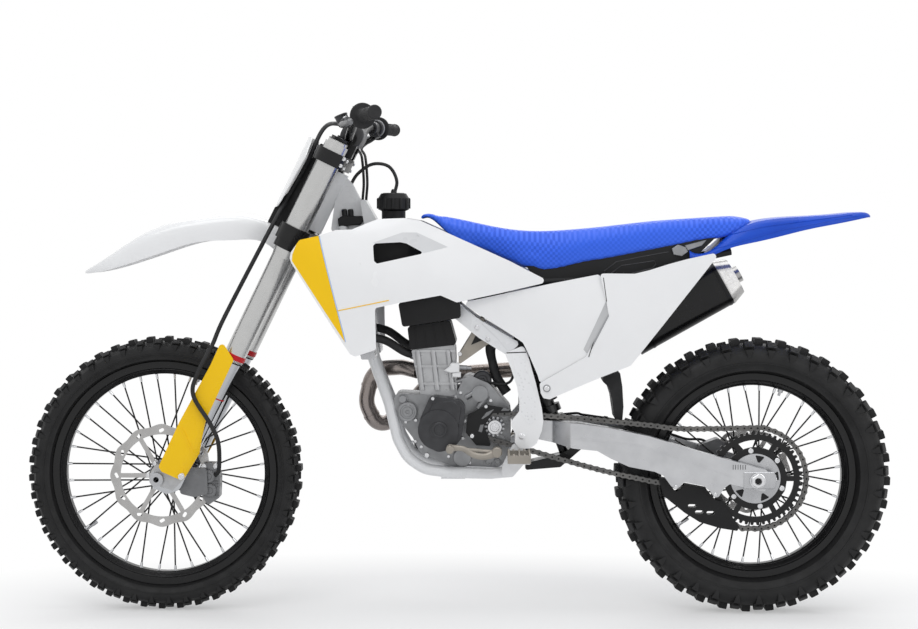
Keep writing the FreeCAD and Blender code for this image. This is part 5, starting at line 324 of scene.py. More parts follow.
class Form:
    """Faces collected for one piece."""

    def __init__(self):
        self.points = []
        self.faces = []

    def point(self, place):
        self.points.append(Vector(place))
        return len(self.points) - 1

    def face(self, *corners):
        self.faces.append(corners)

    def bridge(self, low, high, closed):
        """Faces between two rows of points; a row of one point makes a fan."""
        count = max(len(low), len(high))
        for i in range(count if closed else count - 1):
            j = (i + 1) % count
            if len(low) == 1:
                self.face(low[0], high[i], high[j])
            elif len(high) == 1:
                self.face(low[i], high[0], low[j])
            else:
                self.face(low[i], low[j], high[j], high[i])

    def loft(self, rows, closed=True, capped=True):
        """Faces through rows of points, and over the two end rows."""
        for low, high in zip(rows, rows[1:]):
            self.bridge(low, high, closed)
        if capped:
            self.face(*reversed(rows[0]))
            self.face(*rows[-1])
        return self

    def turned(self, place, direction, profile, segments, flats=()):
        """A profile of (radius, height) turned about a line; the rows in flats are hexagons."""
        place, along = Vector(place), Vector(direction).normalized()
        u, v = square_to(along)
        rows = []
        for index, (radius, height) in enumerate(profile):
            centre = place + along * height
            if radius == 0:
                rows.append([self.point(centre)])
                continue
            row = []
            for k in range(segments):
                angle = math.tau * k / segments
                reach = radius
                if index in flats:
                    reach /= math.cos((angle + math.pi / 6) % (math.pi / 3) - math.pi / 6)
                row.append(self.point(centre + (u * math.cos(angle) + v * math.sin(angle)) * reach))
            rows.append(row)
        return self.loft(rows, capped=False)

    def pipe(self, path, radius, segments, closed=False):
        """A tube along a path; radius is one number or one for each point."""
        path = [Vector(p) for p in path]
        count = len(path)
        rows, side = [], None
        for i, centre in enumerate(path):
            before = path[i - 1] if i or closed else path[0]
            after = path[(i + 1) % count] if i < count - 1 or closed else path[-1]
            ahead = (after - before).normalized()
            if side is None:
                side = square_to(ahead)[0]
            side = (side - ahead * side.dot(ahead)).normalized()
            up = ahead.cross(side)
            reach = radius[i] if isinstance(radius, (list, tuple)) else radius
            rows.append([self.point(centre + (side * math.cos(a) + up * math.sin(a)) * reach)
                         for a in (math.tau * k / segments for k in range(segments))])
        return self.loft(rows + rows[:1] if closed else rows, capped=not closed)

    def slab(self, outline, place, u, v, depth, bevel=0.0):
        """A flat outline made deep along u x v, with its far edge bevelled."""
        place, u, v = Vector(place), Vector(u).normalized(), Vector(v).normalized()
        out = u.cross(v)
        top = inset(outline, bevel) if bevel else outline
        layers = [(outline, 0.0), (outline, depth - bevel), (top, depth)]
        if not bevel:
            del layers[1]
        return self.loft([[self.point(place + u * a + v * b + out * height) for a, b in shape]
                          for shape, height in layers])

    def sheet(self, rows, closed=False):
        """A net of faces over rows of places."""
        marked = [[self.point(p) for p in row] for row in rows]
        self.loft(marked, closed, capped=False)
        return marked

    def flipped(self):
        """The same form on the other side of the centre plane."""
        other = Form()
        other.points = [Vector((p.x, -p.y, p.z)) for p in self.points]
        other.faces = [tuple(reversed(face)) for face in self.faces]
        return other

    def join(self, other):
        base = len(self.points)
        self.points.extend(other.points)
        self.faces.extend(tuple(base + i for i in face) for face in other.faces)
        return self

    def piece(self, name, body, material, replaces=()):
        """The form as an object that rides on a body."""
        mesh = bpy.data.meshes.new(name)
        mesh.from_pydata([at(*p) for p in self.points], [], self.faces)
        shell = bmesh.new()
        shell.from_mesh(mesh)
        bmesh.ops.recalc_face_normals(shell, faces=shell.faces)
        shell.to_mesh(mesh)
        shell.free()
        finish_skin(mesh, material, FORM_ANGLE)
        return placed(name, mesh, body, replaces)


def forms(count):
    return [Form() for _ in range(count)]


def finish_skin(mesh, material, angle):
    """One material over smooth faces, with the edges past an angle left sharp."""
    for face in mesh.polygons:
        face.use_smooth = True
    mesh.set_sharp_from_angle(angle=math.radians(angle))
    mesh.materials.append(MATERIALS[material])


def placed(name, mesh, body, replaces=()):
    thing = bpy.data.objects.new(name, mesh)
    bpy.context.scene.collection.objects.link(thing)
    if body:
        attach(thing, body)
    if replaces:
        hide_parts(*replaces)
    return thing


def square_to(direction):
    """Two unit directions square to this one."""
    helper = Vector((0, 0, 1)) if abs(direction.z) < 0.9 else Vector((1, 0, 0))
    side = direction.cross(helper).normalized()
    return side, side.cross(direction).normalized()


def inset(outline, distance):
    """The outline moved inwards by a distance, corner by corner."""
    count = len(outline)
    turn = sum(outline[i - 1][0] * outline[i][1] - outline[i][0] * outline[i - 1][1] for i in range(count))
    sign = 1.0 if turn > 0 else -1.0
    moved = []
    for i, (x, y) in enumerate(outline):
        (x0, y0), (x1, y1) = outline[i - 1], outline[(i + 1) % count]
        a = Vector((y0 - y, x - x0)).normalized() * sign
        b = Vector((y - y1, x1 - x)).normalized() * sign
        both = a + b
        scale = distance / max(0.35, both.length_squared / 2)
        moved.append((x + both.x * scale, y + both.y * scale))
    return moved


def curve(points, steps, closed=False):
    """A smooth line through its points."""
    points = [Vector(p) for p in points]
    count = len(points)
    line = []
    for i in range(count if closed else count - 1):
        p1, p2 = points[i], points[(i + 1) % count]
        p0 = points[i - 1] if i or closed else p1 * 2 - p2
        p3 = points[(i + 2) % count] if i + 2 < count or closed else p2 * 2 - p1
        for k in range(steps):
            t = k / steps
            line.append(0.5 * (2 * p1 + (p2 - p0) * t + (2 * p0 - 5 * p1 + 4 * p2 - p3) * t * t
                               + (3 * p1 - p0 - 3 * p2 + p3) * t ** 3))
    return line if closed else line + [points[-1]]


def even(line, count):
    """Points at even distances along a closed line."""
    line = list(line) + [line[0]]
    lengths = [0.0]
    for a, b in zip(line, line[1:]):
        lengths.append(lengths[-1] + (b - a).length)
    places, i = [], 0
    for k in range(count):
        goal = lengths[-1] * k / count
        while i < len(line) - 2 and lengths[i + 1] < goal:
            i += 1
        span = lengths[i + 1] - lengths[i]
        places.append(line[i].lerp(line[i + 1], (goal - lengths[i]) / span if span else 0.0))
    return places


def between(value, table):
    """The value read from a table of (place, value)."""
    for (x0, y0), (x1, y1) in zip(table, table[1:]):
        if value <= x1:
            return y0 + (y1 - y0) * (value - x0) / (x1 - x0)
    return table[-1][1]


def round_about(middle, reach, count, first=0.0):
    """Places evenly round a middle, in the plane of the wheels."""
    turns = [first + math.tau * k / count for k in range(count)]
    return [middle + Vector((math.cos(turn) * reach, 0.0, math.sin(turn) * reach)) for turn in turns]


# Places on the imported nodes

TREES = {}


def surface(node):
    """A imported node's faces, ready for rays."""
    if node not in TREES:
        mesh = NODES[node].data
        TREES[node] = BVHTree.FromPolygons([v.co.copy() for v in mesh.vertices],
                                           [tuple(f.vertices) for f in mesh.polygons])
    return TREES[node]


def ray(nodes, start, direction):
    """Where a line first meets one of the nodes, and the outward direction there."""
    direction = Vector(direction).normalized()
    best = None
    for node in nodes:
        place, normal, _, distance = surface(node).ray_cast(at(*start), direction)
        if place is not None and (best is None or distance < best[2]):
            spot = Vector((place.x / MM, place.y / MM, place.z / MM + SEAT_HEIGHT))
            best = (spot, -normal if normal.dot(direction) > 0 else normal, distance)
    return best


def struck(node, start, direction):
    """Where a line first meets one node."""
    return ray([node], start, direction)[0]


def toward(px, py):
    """The line from the camera through a point of the picture's frame."""
    return Vector(((PRINCIPAL[0] - px) / FOCAL_PIXELS, -1.0, (PRINCIPAL[1] - py) / FOCAL_PIXELS))


def seen(px, py, *nodes):
    """The place on the nodes that shows at a point of the picture's frame, and its outward direction."""
    found = ray(nodes, CAMERA_PLACE, toward(px, py))
    if found is None:
        raise ValueError(f"none of {nodes} shows at {px}, {py}")
    return found[0], found[1]


def traced(pixels, node, depth):
    """Side-view places for points of the picture's frame: on the node where it shows, else at a depth."""
    places = []
    for px, py in pixels:
        found = ray([node], CAMERA_PLACE, toward(px, py))
        spot = found[0] if found else CAMERA_PLACE + toward(px, py) * (CAMERA_PLACE.y - depth)
        places.append((spot.x, spot.z))
    return places


def patch(name, node, outlines, material, lift, sides, facing=0.2):
    """A thin layer over a node's skin inside convex side-view outlines, on the left, the right or both."""
    made = bmesh.new()
    for side in sides:
        for corners in outlines:
            part = bmesh.new()
            part.from_mesh(NODES[node].data)
            bmesh.ops.remove_doubles(part, verts=part.verts[:], dist=1e-6)
            away = [f for f in part.faces
                    if f.normal.y * side < facing or f.calc_center_median().y * side < 0.0]
            bmesh.ops.delete(part, geom=away, context="FACES")
            middle = sum((Vector(c) for c in corners), Vector((0.0, 0.0))) / len(corners)
            for i, (x, z) in enumerate(corners):
                x0, z0 = corners[i - 1]
                out = Vector((z - z0, x0 - x))
                if out.dot(Vector((x, z)) - middle) < 0:
                    out = -out
                geometry = part.verts[:] + part.edges[:] + part.faces[:]
                bmesh.ops.bisect_plane(part, geom=geometry, plane_co=at(x, 0.0, z),
                                       plane_no=(out.x, 0.0, out.y), clear_outer=True)
            part.normal_update()
            tops = {v: made.verts.new(v.co + v.normal * (lift * MM)) for v in part.verts}
            lows = {v: made.verts.new(v.co - v.normal * (PATCH_ROOT * MM)) for v in part.verts}
            for f in part.faces:
                made.faces.new([tops[v] for v in f.verts])
                made.faces.new([lows[v] for v in reversed(f.verts)])
            for edge in part.edges:
                if edge.is_boundary:
                    loop = edge.link_loops[0]
                    a, b = loop.vert, loop.link_loop_next.vert
                    made.faces.new([tops[b], tops[a], lows[a], lows[b]])
            part.free()
    mesh = bpy.data.meshes.new(name)
    made.to_mesh(mesh)
    made.free()
    finish_skin(mesh, material, PATCH_ANGLE)
    placed(name, mesh, "steering" if node in STEERED else "chassis")


def stroke(a, b, width):
    """The four corners of a straight line of some width in the side view."""
    a, b = Vector(a), Vector(b)
    along = (b - a).normalized()
    side = Vector((-along.y, along.x)) * (width / 2)
    return [tuple(a + side), tuple(b + side), tuple(b - side), tuple(a - side)]


def blade(form, path, wide, thick, wide_way):
    """A bar of oval section along a path; wide and thick are tables over the path's share."""
    rows = []
    count = len(path)
    for i, centre in enumerate(path):
        ahead = (path[min(i + 1, count - 1)] - path[max(i - 1, 0)]).normalized()
        across = (wide_way - ahead * wide_way.dot(ahead)).normalized()
        up = ahead.cross(across)
        share = i / (count - 1)
        a, b = between(share, wide), between(share, thick)
        rows.append([form.point(centre + across * (math.cos(t) * a) + up * (math.sin(t) * b))
                     for t in (math.tau * k / 14 for k in range(14))])
    form.loft(rows)


def plug(radius, height):
    """The profile of a plain round plug."""
    return [(0, 0), (radius, 0), (radius, height), (0, height)]


def bolt(form, place, direction, radius):
    """A flanged bolt head with a hexagon and a socket."""
    rise = radius * 0.9
    profile = [(0, -1.5), (radius * 1.5, -1.5), (radius * 1.5, 0.7), (radius * 1.3, 1.2), (radius, 1.2),
               (radius, rise), (radius * 0.86, rise + 0.7), (radius * 0.5, rise + 0.7),
               (radius * 0.45, rise - 1.6), (0, rise - 1.6)]
    return form.turned(place, direction, profile, 18, flats=(4, 5))


def cap_screw(form, place, direction, radius, rise=4.0):
    """A round-headed screw with a socket."""
    profile = [(0, -1.5), (radius, -1.5), (radius, rise - 0.8), (radius * 0.86, rise), (radius * 0.52, rise),
               (radius * 0.48, rise - 2.2), (0, rise - 2.2)]
    return form.turned(place, direction, profile, 16)


def band(form, place, direction, radius, width):
    """A clamp band round a hose."""
    form.turned(Vector(place) - Vector(direction).normalized() * (width / 2), direction,
                [(radius, 0), (radius + 1.6, 0), (radius + 1.6, width), (radius, width)], 24)


# Directions, axles and the steering axis

LEFTWARD, RIGHTWARD, UPWARD = Vector((0, 1, 0)), Vector((0, -1, 0)), Vector((0, 0, 1))
FRONT_AXLE = Vector((953.0, 0.0, 348.0))
REAR_AXLE = Vector((-532.0, 0.0, 347.0))
RAKE = math.radians(26.1)
UP_FORK = Vector((-math.sin(RAKE), 0.0, math.cos(RAKE)))
AHEAD_FORK = Vector((math.cos(RAKE), 0.0, math.sin(RAKE)))
STEERING_FOOT = FRONT_AXLE - AHEAD_FORK * 60.0
LEG_Y, LEG_AHEAD = 105.0, 22.0
SIDES = (1.0, -1.0)


def steering_point(up, ahead, left):
    """A place by the raked steering axis: up along it, ahead of it and to the left."""
    return STEERING_FOOT + UP_FORK * up + AHEAD_FORK * ahead + Vector((0.0, left, 0.0))


def wheel_place(axle, angle, spot):
    """A place on a wheel, from its angle and its (reach, place across)."""
    return axle + Vector((math.cos(angle) * spot[0], spot[1], math.sin(angle) * spot[0]))


# Coloured fields, lines and raised edges on the imported nodes; some fields and lines are painted shade in
# recesses and creases

BOTH, LEFT, RIGHT = (1, -1), (1,), (-1,)
STEERED = ("fork_guards", "fork_inner_tubes")

# Piece, node, depth of points beside it, line width or 0 for fields, material, lift, sides, picture points
PATCHES = (
    ("shroud_yellow", "radiator_shrouds", 170.0, 0, "yellow", 0.6, BOTH, [
        ((292.1, 254.4), (299.8, 239.8), (318.3, 235.9), (344.4, 342.4), (291.5, 260.8))]),
    # Painted shade in the shroud's pocket
    ("shroud_pocket_shade", "radiator_shrouds", 150.0, 0, "painted_shade_white", 0.25, BOTH, [
        ((372.0, 243.0), (402.0, 232.5), (417.0, 232.5), (448.0, 247.0), (424.0, 253.0))]),
    ("shroud_edge", "radiator_shrouds", 170.0, 2.4, "pale_blue", 0.9, BOTH, [
        ((319.0, 236.0), (345.0, 342.2))]),
    ("shroud_rule", "radiator_shrouds", 150.0, 2.2, "yellow", 0.9, BOTH, [((337.0, 311.0), (388.6, 300.4))]),
    ("panel_seam", "side_panels", 120.0, 1.8, "black_plastic", 0.3, BOTH, [((598.0, 275.0), (606.5, 301.0))]),
    # Painted shade in the side panel's scoop, in grey
    ("panel_scoop_shade", "side_panels", 120.0, 0, "grey_plastic", 0.5, BOTH, [
        ((606.0, 300.0), (609.0, 316.0), (588.0, 357.0), (584.0, 350.0))]),
    # Painted shade in the side cover's scoop
    ("cover_scoop_shade", "side_covers", 120.0, 0, "scoop_shade_grey", 0.4, BOTH, [
        ((606.0, 301.0), (608.8, 316.5), (590.0, 357.0), (583.5, 349.5))]),
    # Painted shade: a black line along the scoop's shaded edge
    ("scoop_edge_shade", "side_panels", 120.0, 2.0, "black_plastic", 0.8, BOTH, [
        ((606.5, 300.0), (584.0, 350.0))]),
    ("engine_stay_window", "engine_stay", 60.0, 0, "black_plastic", 0.3, BOTH, [
        ((476.3, 333.7), (482.8, 340.2), (471.0, 345.1))]),
    ("guard_windows", "sprocket_guard", 96.0, 0, "grey_cast", 0.3, LEFT, [
        ((501.2, 411.2), (504.7, 406.9), (512.5, 404.0), (509.2, 411.2)),
        ((481.5, 419.0), (486.5, 413.0), (494.0, 409.6), (496.0, 411.0), (489.0, 415.5), (484.5, 420.5)),
        ((478.5, 432.0), (480.5, 425.5), (484.0, 425.0), (482.0, 433.0))]),
    ("head_cover_ribs", "head_cover", 60.0, 2.2, "black_plastic", 1.6, LEFT, [
        ((415.0, 328.0), (416.5, 347.0)), ((424.0, 326.5), (426.0, 346.0)),
        ((433.0, 325.0), (436.0, 344.5)), ((441.0, 323.0), (447.5, 342.5))]),
    ("guard_dimples", "frame_guards", 90.0, 0, "dimpled", 0.4, BOTH, [
        ((512.7, 354.2), (524.2, 357.9), (530.3, 382.1), (519.4, 390.6)),
        ((519.4, 390.6), (530.3, 382.1), (536.4, 399.1), (537.6, 420.0), (529.1, 425.0), (521.5, 414.0))]),
    ("guard_seam", "frame_guards", 90.0, 2.4, "black_plastic", 0.5, BOTH, [((506.7, 353.0), (524.8, 346.4))]),
    ("guard_ridge", "fork_guards", 138.0, 4.5, "yellow", 1.6, BOTH, [((179.5, 429.5), (191.0, 455.0))]),
    # Painted shade: a grey line along the frame spar's crease
    ("spar_crease_shade", "main_frame", 90.0, 2.4, "painted_shade_white", 0.8, BOTH, [
        ((482.0, 324.0), (497.5, 338.5), (507.0, 350.0))]),
    ("rear_fender_ridge_0", "rear_fender", 40.0, 3.0, "blue", 1.4, BOTH, [
        ((706.9, 247.5), (780.0, 229.5), (855.0, 215.8))]),
    ("rear_fender_ridge_1", "rear_fender", 40.0, 3.0, "blue", 1.4, BOTH, [
        ((700.0, 241.0), (760.0, 226.5), (850.0, 214.6))]),
    ("sprocket_guard_rim", "sprocket_guard", 96.0, 3.0, "black_plastic", 2.4, LEFT, [
        ((470.0, 417.0), (480.0, 405.0), (497.0, 404.0), (509.0, 409.0))]),
    ("swingarm_crease", "swingarm", 90.0, 2.6, "swingarm", 1.2, BOTH, [
        ((568.0, 438.0), (640.0, 446.0), (690.0, 462.0), (735.0, 478.0))]),
    ("axle_lug_skins", "fork_inner_tubes", 112.0, 0, "light_cast", 0.5, BOTH, [
        ((150.5, 467.5), (163.0, 469.0), (185.5, 477.5), (170.0, 493.0), (157.0, 489.0))]),
)

# Strips across the silencer in the side view: piece, material, lift, lines
SILENCER_STRIPS = (
    ("silencer_cap", "steel", 0.7, [((-476.0, 827.0), (-530.0, 857.4))]),
    ("silencer_bands", "black_anodised", 1.0, [((-268.0, 709.6), (-274.0, 713.0)),
                                              ((-466.0, 821.2), (-472.0, 824.6))]),
)
SILENCER_STRIP_WIDTH = 190.0
ALL_ROUND = -2.0

for name, node, depth, width, material, lift, sides, outlines in PATCHES:
    fields = [traced(pixels, node, depth) for pixels in outlines]
    if width:
        fields = [stroke(a, b, width) for line in fields for a, b in zip(line, line[1:])]
    patch(name, node, fields, material, lift, sides)
for name, material, lift, lines in SILENCER_STRIPS:
    strips = [stroke(*line, SILENCER_STRIP_WIDTH) for line in lines]
    patch(name, "silencer", strips, material, lift, RIGHT, ALL_ROUND)


# Tyres

TREAD_LINE = [(0.0, 1.0), (0.22, 0.997), (0.44, 0.987), (0.60, 0.962), (0.78, 0.915), (0.90, 0.865),
              (1.0, 0.80)]
TREAD_BASE = [(0.0, 0.0), (0.25, 0.003), (0.47, 0.015), (0.72, 0.075)]
SIDEWALL = [(0.91, 0.62), (0.955, 0.52), (0.965, 0.44), (0.945, 0.34), (0.965, 0.335), (0.955, 0.30),
            (0.915, 0.295), (0.86, 0.215), (0.80, 0.15), (0.79, 0.10)]
TREAD_STEP = 0.04
FIRST_LUG = -math.pi / 2
CROWN_START, CROWN_END = 0.03, 0.42
SHOULDER_START, SHOULDER_END, BUTTRESS_END = 0.52, 0.96, 0.94
SHOULDER_BAND = (0.55, 0.99)
SHOULDER_DROP = 4.0
KNOB_ROOT, KNOB_EDGE, KNOB_TRIM = -1.5, 1.1, 0.06
# A buttress's rows: share of the height, trim of its length, how far it stands out, share of the width
BUTTRESS = ((0.70, 0.10, 1.6, 0.985), (0.60, 0.216, 1.9, 0.985), (0.46, 0.36, 0.2, 0.972))
BUTTRESS_ROOT = -2.0


class Tyre:
    """A tyre's form and sizes; a spot on it is (reach from the axle, place across)."""

    def __init__(self, axle, rim, tip, half_width, height):
        self.form = Form()
        self.axle, self.rim, self.tip, self.half_width, self.height = axle, rim, tip, half_width, height

    def top(self, u):
        """The tread line's spot at a share of the half width."""
        return Vector((self.rim + between(abs(u), TREAD_LINE) * (self.tip - self.rim), u * self.half_width))

    def deep(self, u, depth):
        """The spot a depth below the tread line."""
        along = self.top(min(1.0, u + TREAD_STEP)) - self.top(max(-1.0, u - TREAD_STEP))
        return self.top(u) - Vector((along.y, -along.x)).normalized() * depth

    def carcass(self, bead_seat, bead, steps):
        """The tyre's body with its bead ridge."""
        tall = self.tip - self.rim
        floor_share = 1.0 - self.height / tall
        half = [(self.rim + (floor_share - v) * tall, u * self.half_width) for u, v in TREAD_BASE]
        half += [(self.rim + v * tall, u * self.half_width) for u, v in SIDEWALL]
        half += [(self.rim + 1.5, bead + 1.0), (self.rim, bead), (bead_seat, bead), (bead_seat, 0.0)]
        section = [(reach, -across) for reach, across in reversed(half[1:])] + half
        marked = self.form.sheet([[wheel_place(self.axle, math.tau * i / steps, spot) for spot in section]
                                  for i in range(steps)])
        self.form.bridge(marked[-1], marked[0], closed=False)

    def knob(self, side, edges, first, last, drop=0.0, steps=2):
        """One tread block with drafted sides and a bevelled top."""
        low, high = edges
        top = self.height - drop
        span = last - first
        rows = []
        levels = ((KNOB_ROOT, 0.0), (top - KNOB_EDGE, KNOB_TRIM), (top, KNOB_TRIM + KNOB_EDGE / 16.0))
        for lift, trim in levels:
            b0, b1 = low + (high - low) * trim * 0.8, high - (high - low) * trim * 0.5
            shares = [b0 + (b1 - b0) * k / steps for k in range(steps + 1)]
            around = ((first + span * trim, shares), (last - span * trim, shares[::-1]))
            depth = self.height - lift
            spots = [(angle, self.deep(u * side, depth)) for angle, order in around for u in order]
            rows.append([self.form.point(wheel_place(self.axle, angle, spot)) for angle, spot in spots])
        self.form.loft(rows, capped=False)
        self.form.face(*rows[-1])

    def buttress(self, side, first, last):
        """The tapering rib that carries a shoulder block down the sidewall."""
        span = last - first
        rows = []
        for share, trim, stand, across in BUTTRESS:
            reach = self.rim + share * (self.tip - self.rim)
            a0, a1 = first + span * trim, last - span * trim
            corners = ((a0, BUTTRESS_ROOT), (a0, stand), (a1, stand), (a1, BUTTRESS_ROOT))
            rows.append([wheel_place(self.axle, angle, (reach, (across * self.half_width + out) * side))
                         for angle, out in corners])
        marked = self.form.sheet(rows, closed=True)
        self.form.face(*marked[0])
        self.form.face(*marked[-1])


def tyre_piece(end, tyre, bead_seat, bead, pitches, crown_bands):
    """A knobbly tyre over the CAD one: its carcass, then every block of the tread."""
    tyre.carcass(bead_seat, bead, pitches * 4)
    pitch = math.tau / pitches
    for i in range(pitches):
        start = FIRST_LUG + pitch * i
        for side in SIDES:
            for edges in crown_bands:
                tyre.knob(side, edges, start + pitch * CROWN_START, start + pitch * CROWN_END)
            shoulder = start + pitch * SHOULDER_START
            tyre.knob(side, SHOULDER_BAND, shoulder, start + pitch * SHOULDER_END, SHOULDER_DROP, 3)
            tyre.buttress(side, shoulder, start + pitch * BUTTRESS_END)
    tyre.form.piece(end + "_tread", end + "_wheel", "tyre", [end + "_tyre"])


tyre_piece("front", Tyre(FRONT_AXLE, 284.0, 348.0, 46.0, 13.0), 272.5, 20.5, 46, [(0.04, 0.43)])
tyre_piece("rear", Tyre(REAR_AXLE, 258.0, 347.0, 62.0, 15.0), 246.5, 26.5, 36, [(0.03, 0.21), (0.25, 0.44)])


# Chain

CHAIN_LINE = 76.0
CHAIN_LINKS = 114
DRIVE = Vector((117.0, CHAIN_LINE, 475.0))
DRIVEN = REAR_AXLE + Vector((0.0, CHAIN_LINE, 0.0))
DRIVE_RADIUS, DRIVEN_RADIUS = 33.17, 126.41
PLATE_THICKNESS, PLATE_RADIUS, PLATE_WAIST = 1.6, 6.9, 5.0
OUTER_PLATE, INNER_PLATE = 5.4, 3.4


def arc(centre, radius, start, end, count):
    """Places along an arc, from one angle to another, in degrees."""
    turns = [math.radians(start + (end - start) * i / (count - 1)) for i in range(count)]
    return [centre + Vector((math.cos(turn) * radius, 0.0, math.sin(turn) * radius)) for turn in turns]


def chain_line():
    """The pins' places, evenly along the loop."""
    span = DRIVE.x - DRIVEN.x
    rise = (DRIVE.z + DRIVE_RADIUS) - (DRIVEN.z + DRIVEN_RADIUS)
    drop = (DRIVE.z - DRIVE_RADIUS) - (DRIVEN.z - DRIVEN_RADIUS)
    line = arc(DRIVE, DRIVE_RADIUS, -62.0, 93.0, 12)
    line += [Vector((DRIVE.x - u * span, CHAIN_LINE, DRIVEN.z + DRIVEN_RADIUS + v * rise))
             for u, v in ((0.19, 0.84), (0.40, 0.52), (0.60, 0.16), (0.73, -0.10))]
    line += arc(DRIVEN, DRIVEN_RADIUS, 94.0, 291.0, 24)
    line += [Vector((DRIVEN.x + u * span, CHAIN_LINE, DRIVEN.z - DRIVEN_RADIUS + v * drop))
             for u, v in ((0.26, 0.43), (0.42, 0.55), (0.62, 0.68))]
    return even(curve(line, 8, closed=True), CHAIN_LINKS)


def link_outline(length):
    """A chain plate: two rounded ends and a waist, as (along, across)."""
    outline = []
    for centre, start, waist in ((0.0, 60, -PLATE_WAIST), (length, 240, PLATE_WAIST)):
        for k in range(9):
            angle = math.radians(start + 240 * k / 8)
            outline.append((centre + PLATE_RADIUS * math.cos(angle), PLATE_RADIUS * math.sin(angle)))
        outline.append((length / 2, waist))
    return outline


def chain_piece():
    """The chain's plates, rollers and pins."""
    form = Form()
    pins = chain_line()
    for i, pin in enumerate(pins):
        ahead = pins[(i + 1) % CHAIN_LINKS] - pin
        u = ahead.normalized()
        near = OUTER_PLATE if i % 2 == 0 else INNER_PLATE
        for y in (near, -near - PLATE_THICKNESS):
            form.slab(link_outline(ahead.length), pin + LEFTWARD * y, u, LEFTWARD.cross(u), PLATE_THICKNESS)
        form.turned(pin - LEFTWARD * 3.2, LEFTWARD, plug(4.9, 6.4), 12)
        form.turned(pin - LEFTWARD * 7.0, LEFTWARD, plug(2.3, 14.0), 8)
    form.piece("chain_links", "chassis", "dark_steel", ["chain"])


chain_piece()


# Seat and bar pad

CUSHION_VOXEL = 5.0
CUSHION_FRAMES = 20
CLOTH = {"use_pressure": True, "uniform_pressure_force": 4.0, "tension_stiffness": 25.0,
         "compression_stiffness": 25.0, "bending_stiffness": 6.0}


def modified(thing, kind, **settings):
    """Applies one modifier to a piece."""
    modifier = thing.modifiers.new(kind.lower(), kind)
    for key, value in settings.items():
        setattr(modifier, key, value)
    bpy.ops.object.modifier_apply(modifier=modifier.name)


def blow_up(thing, swell):
    """Blows a piece up as cloth under pressure, but moves no point further than the swell."""
    rest = [v.co.copy() for v in thing.data.vertices]
    cloth = thing.modifiers.new("cloth", "CLOTH")
    for key, value in CLOTH.items():
        setattr(cloth.settings, key, value)
    cloth.settings.effector_weights.gravity = 0.0
    for number in range(1, CUSHION_FRAMES + 1):
        bpy.context.scene.frame_set(number)
    swollen = thing.evaluated_get(bpy.context.evaluated_depsgraph_get()).data
    goals = [v.co.copy() for v in swollen.vertices]
    thing.modifiers.remove(cloth)
    bpy.context.scene.frame_set(1)
    for v, start, goal in zip(thing.data.vertices, rest, goals):
        step = goal - start
        v.co = start + step * min(1.0, swell * MM / max(step.length, 1e-9))


def cushion(node, name, body, material, shrink, swell):
    """A foam piece and its cover: the CAD solid shrunk a little, blown up as cloth, then smoothed."""
    mesh = NODES[node].data.copy()
    mesh.materials.clear()
    mesh.materials.append(MATERIALS[material])
    thing = placed(name, mesh, body, [node])
    bpy.context.view_layer.objects.active = thing
    for other in bpy.context.selected_objects:
        other.select_set(False)
    thing.select_set(True)
    middle = sum((v.co for v in mesh.vertices), Vector()) / len(mesh.vertices)
    for v in mesh.vertices:
        for axis in range(3):
            v.co[axis] = middle[axis] + (v.co[axis] - middle[axis]) * shrink[axis]
    modified(thing, "REMESH", mode="VOXEL", voxel_size=CUSHION_VOXEL * MM)
    blow_up(thing, swell)
    modified(thing, "SMOOTH", iterations=6)
    modified(thing, "SUBSURF", levels=1, render_levels=1)
    for face in thing.data.polygons:
        face.use_smooth = True


cushion("seat", "seat_cover", "chassis", "seat", (1.0, 0.965, 1.0), 4.0)
cushion("bar_pad", "bar_pad_cover", "steering", "pad", (0.94, 0.97, 0.94), 3.0)


# Wheels

SPOKES = 36
SPOKE_LEAN = math.radians(42.0)
NIPPLE = [(0, 0), (4.6, 0), (4.6, 1.6), (3.4, 2.6), (3.4, 11.0), (2.8, 15.0), (2.1, 15.6), (0, 15.6)]
SPOKE_HEAD = [(0, 0), (3.0, 0.4), (3.3, 3.0), (2.4, 7.0), (0, 7.0)]
VALVE = [(0, 0), (6.4, 0), (6.4, 4.0), (4.1, 4.0), (4.1, 20.0), (4.8, 20.0), (4.8, 32.0), (3.6, 34.0),
         (0, 34.0)]
RIM_LOCK = [(0, 0), (8.6, 0), (8.6, 1.6), (6.6, 1.6), (6.6, 8.0), (3.4, 8.0), (3.4, 17.0), (0, 17.0)]
HUB_SEAL = [(15.0, 0), (19.4, 0), (19.4, 1.2), (17.6, 1.8), (15.0, 1.8)]
# Angle on the wheel, profile, segments, hexagon rows
RIM_FITTINGS = ((-0.62, VALVE, 16, (1, 2)), (1.9, RIM_LOCK, 18, (3, 4)))


def wheel_details(end, axle, well, flange, bead):
    """Nipples, spoke heads, a valve, a rim lock and the rim's raised lines."""
    nipples, valve, rings = forms(3)
    for i in range(SPOKES):
        side = 1.0 if i % 2 == 0 else -1.0
        lean = SPOKE_LEAN if (i // 2) % 2 == 0 else -SPOKE_LEAN
        angle = math.tau * (i + 0.5) / SPOKES
        outer = wheel_place(axle, angle, (well + 1.0, side * 5.0))
        inner = wheel_place(axle, angle + lean, (34.0, side * flange))
        along = (inner - outer).normalized()
        nipples.turned(outer, along, NIPPLE, 10)
        nipples.turned(inner - along * 4.0, along, SPOKE_HEAD, 8)
    for angle, profile, segments, flats in RIM_FITTINGS:
        foot = wheel_place(axle, angle, (well + 0.5, 0.0))
        valve.turned(foot, axle - foot, profile, segments, flats)
    for side in SIDES:
        for reach, across in ((well + 12.0, bead - 2.0), (well + 4.0, bead * 0.52)):
            rings.pipe(round_about(axle + LEFTWARD * (side * across), reach, 96), 1.0, 6, closed=True)
    nipples.piece(end + "_nipples", end + "_wheel", "bright")
    valve.piece(end + "_valve", end + "_wheel", "silver")
    rings.piece(end + "_rim_beads", end + "_wheel", "black_anodised")


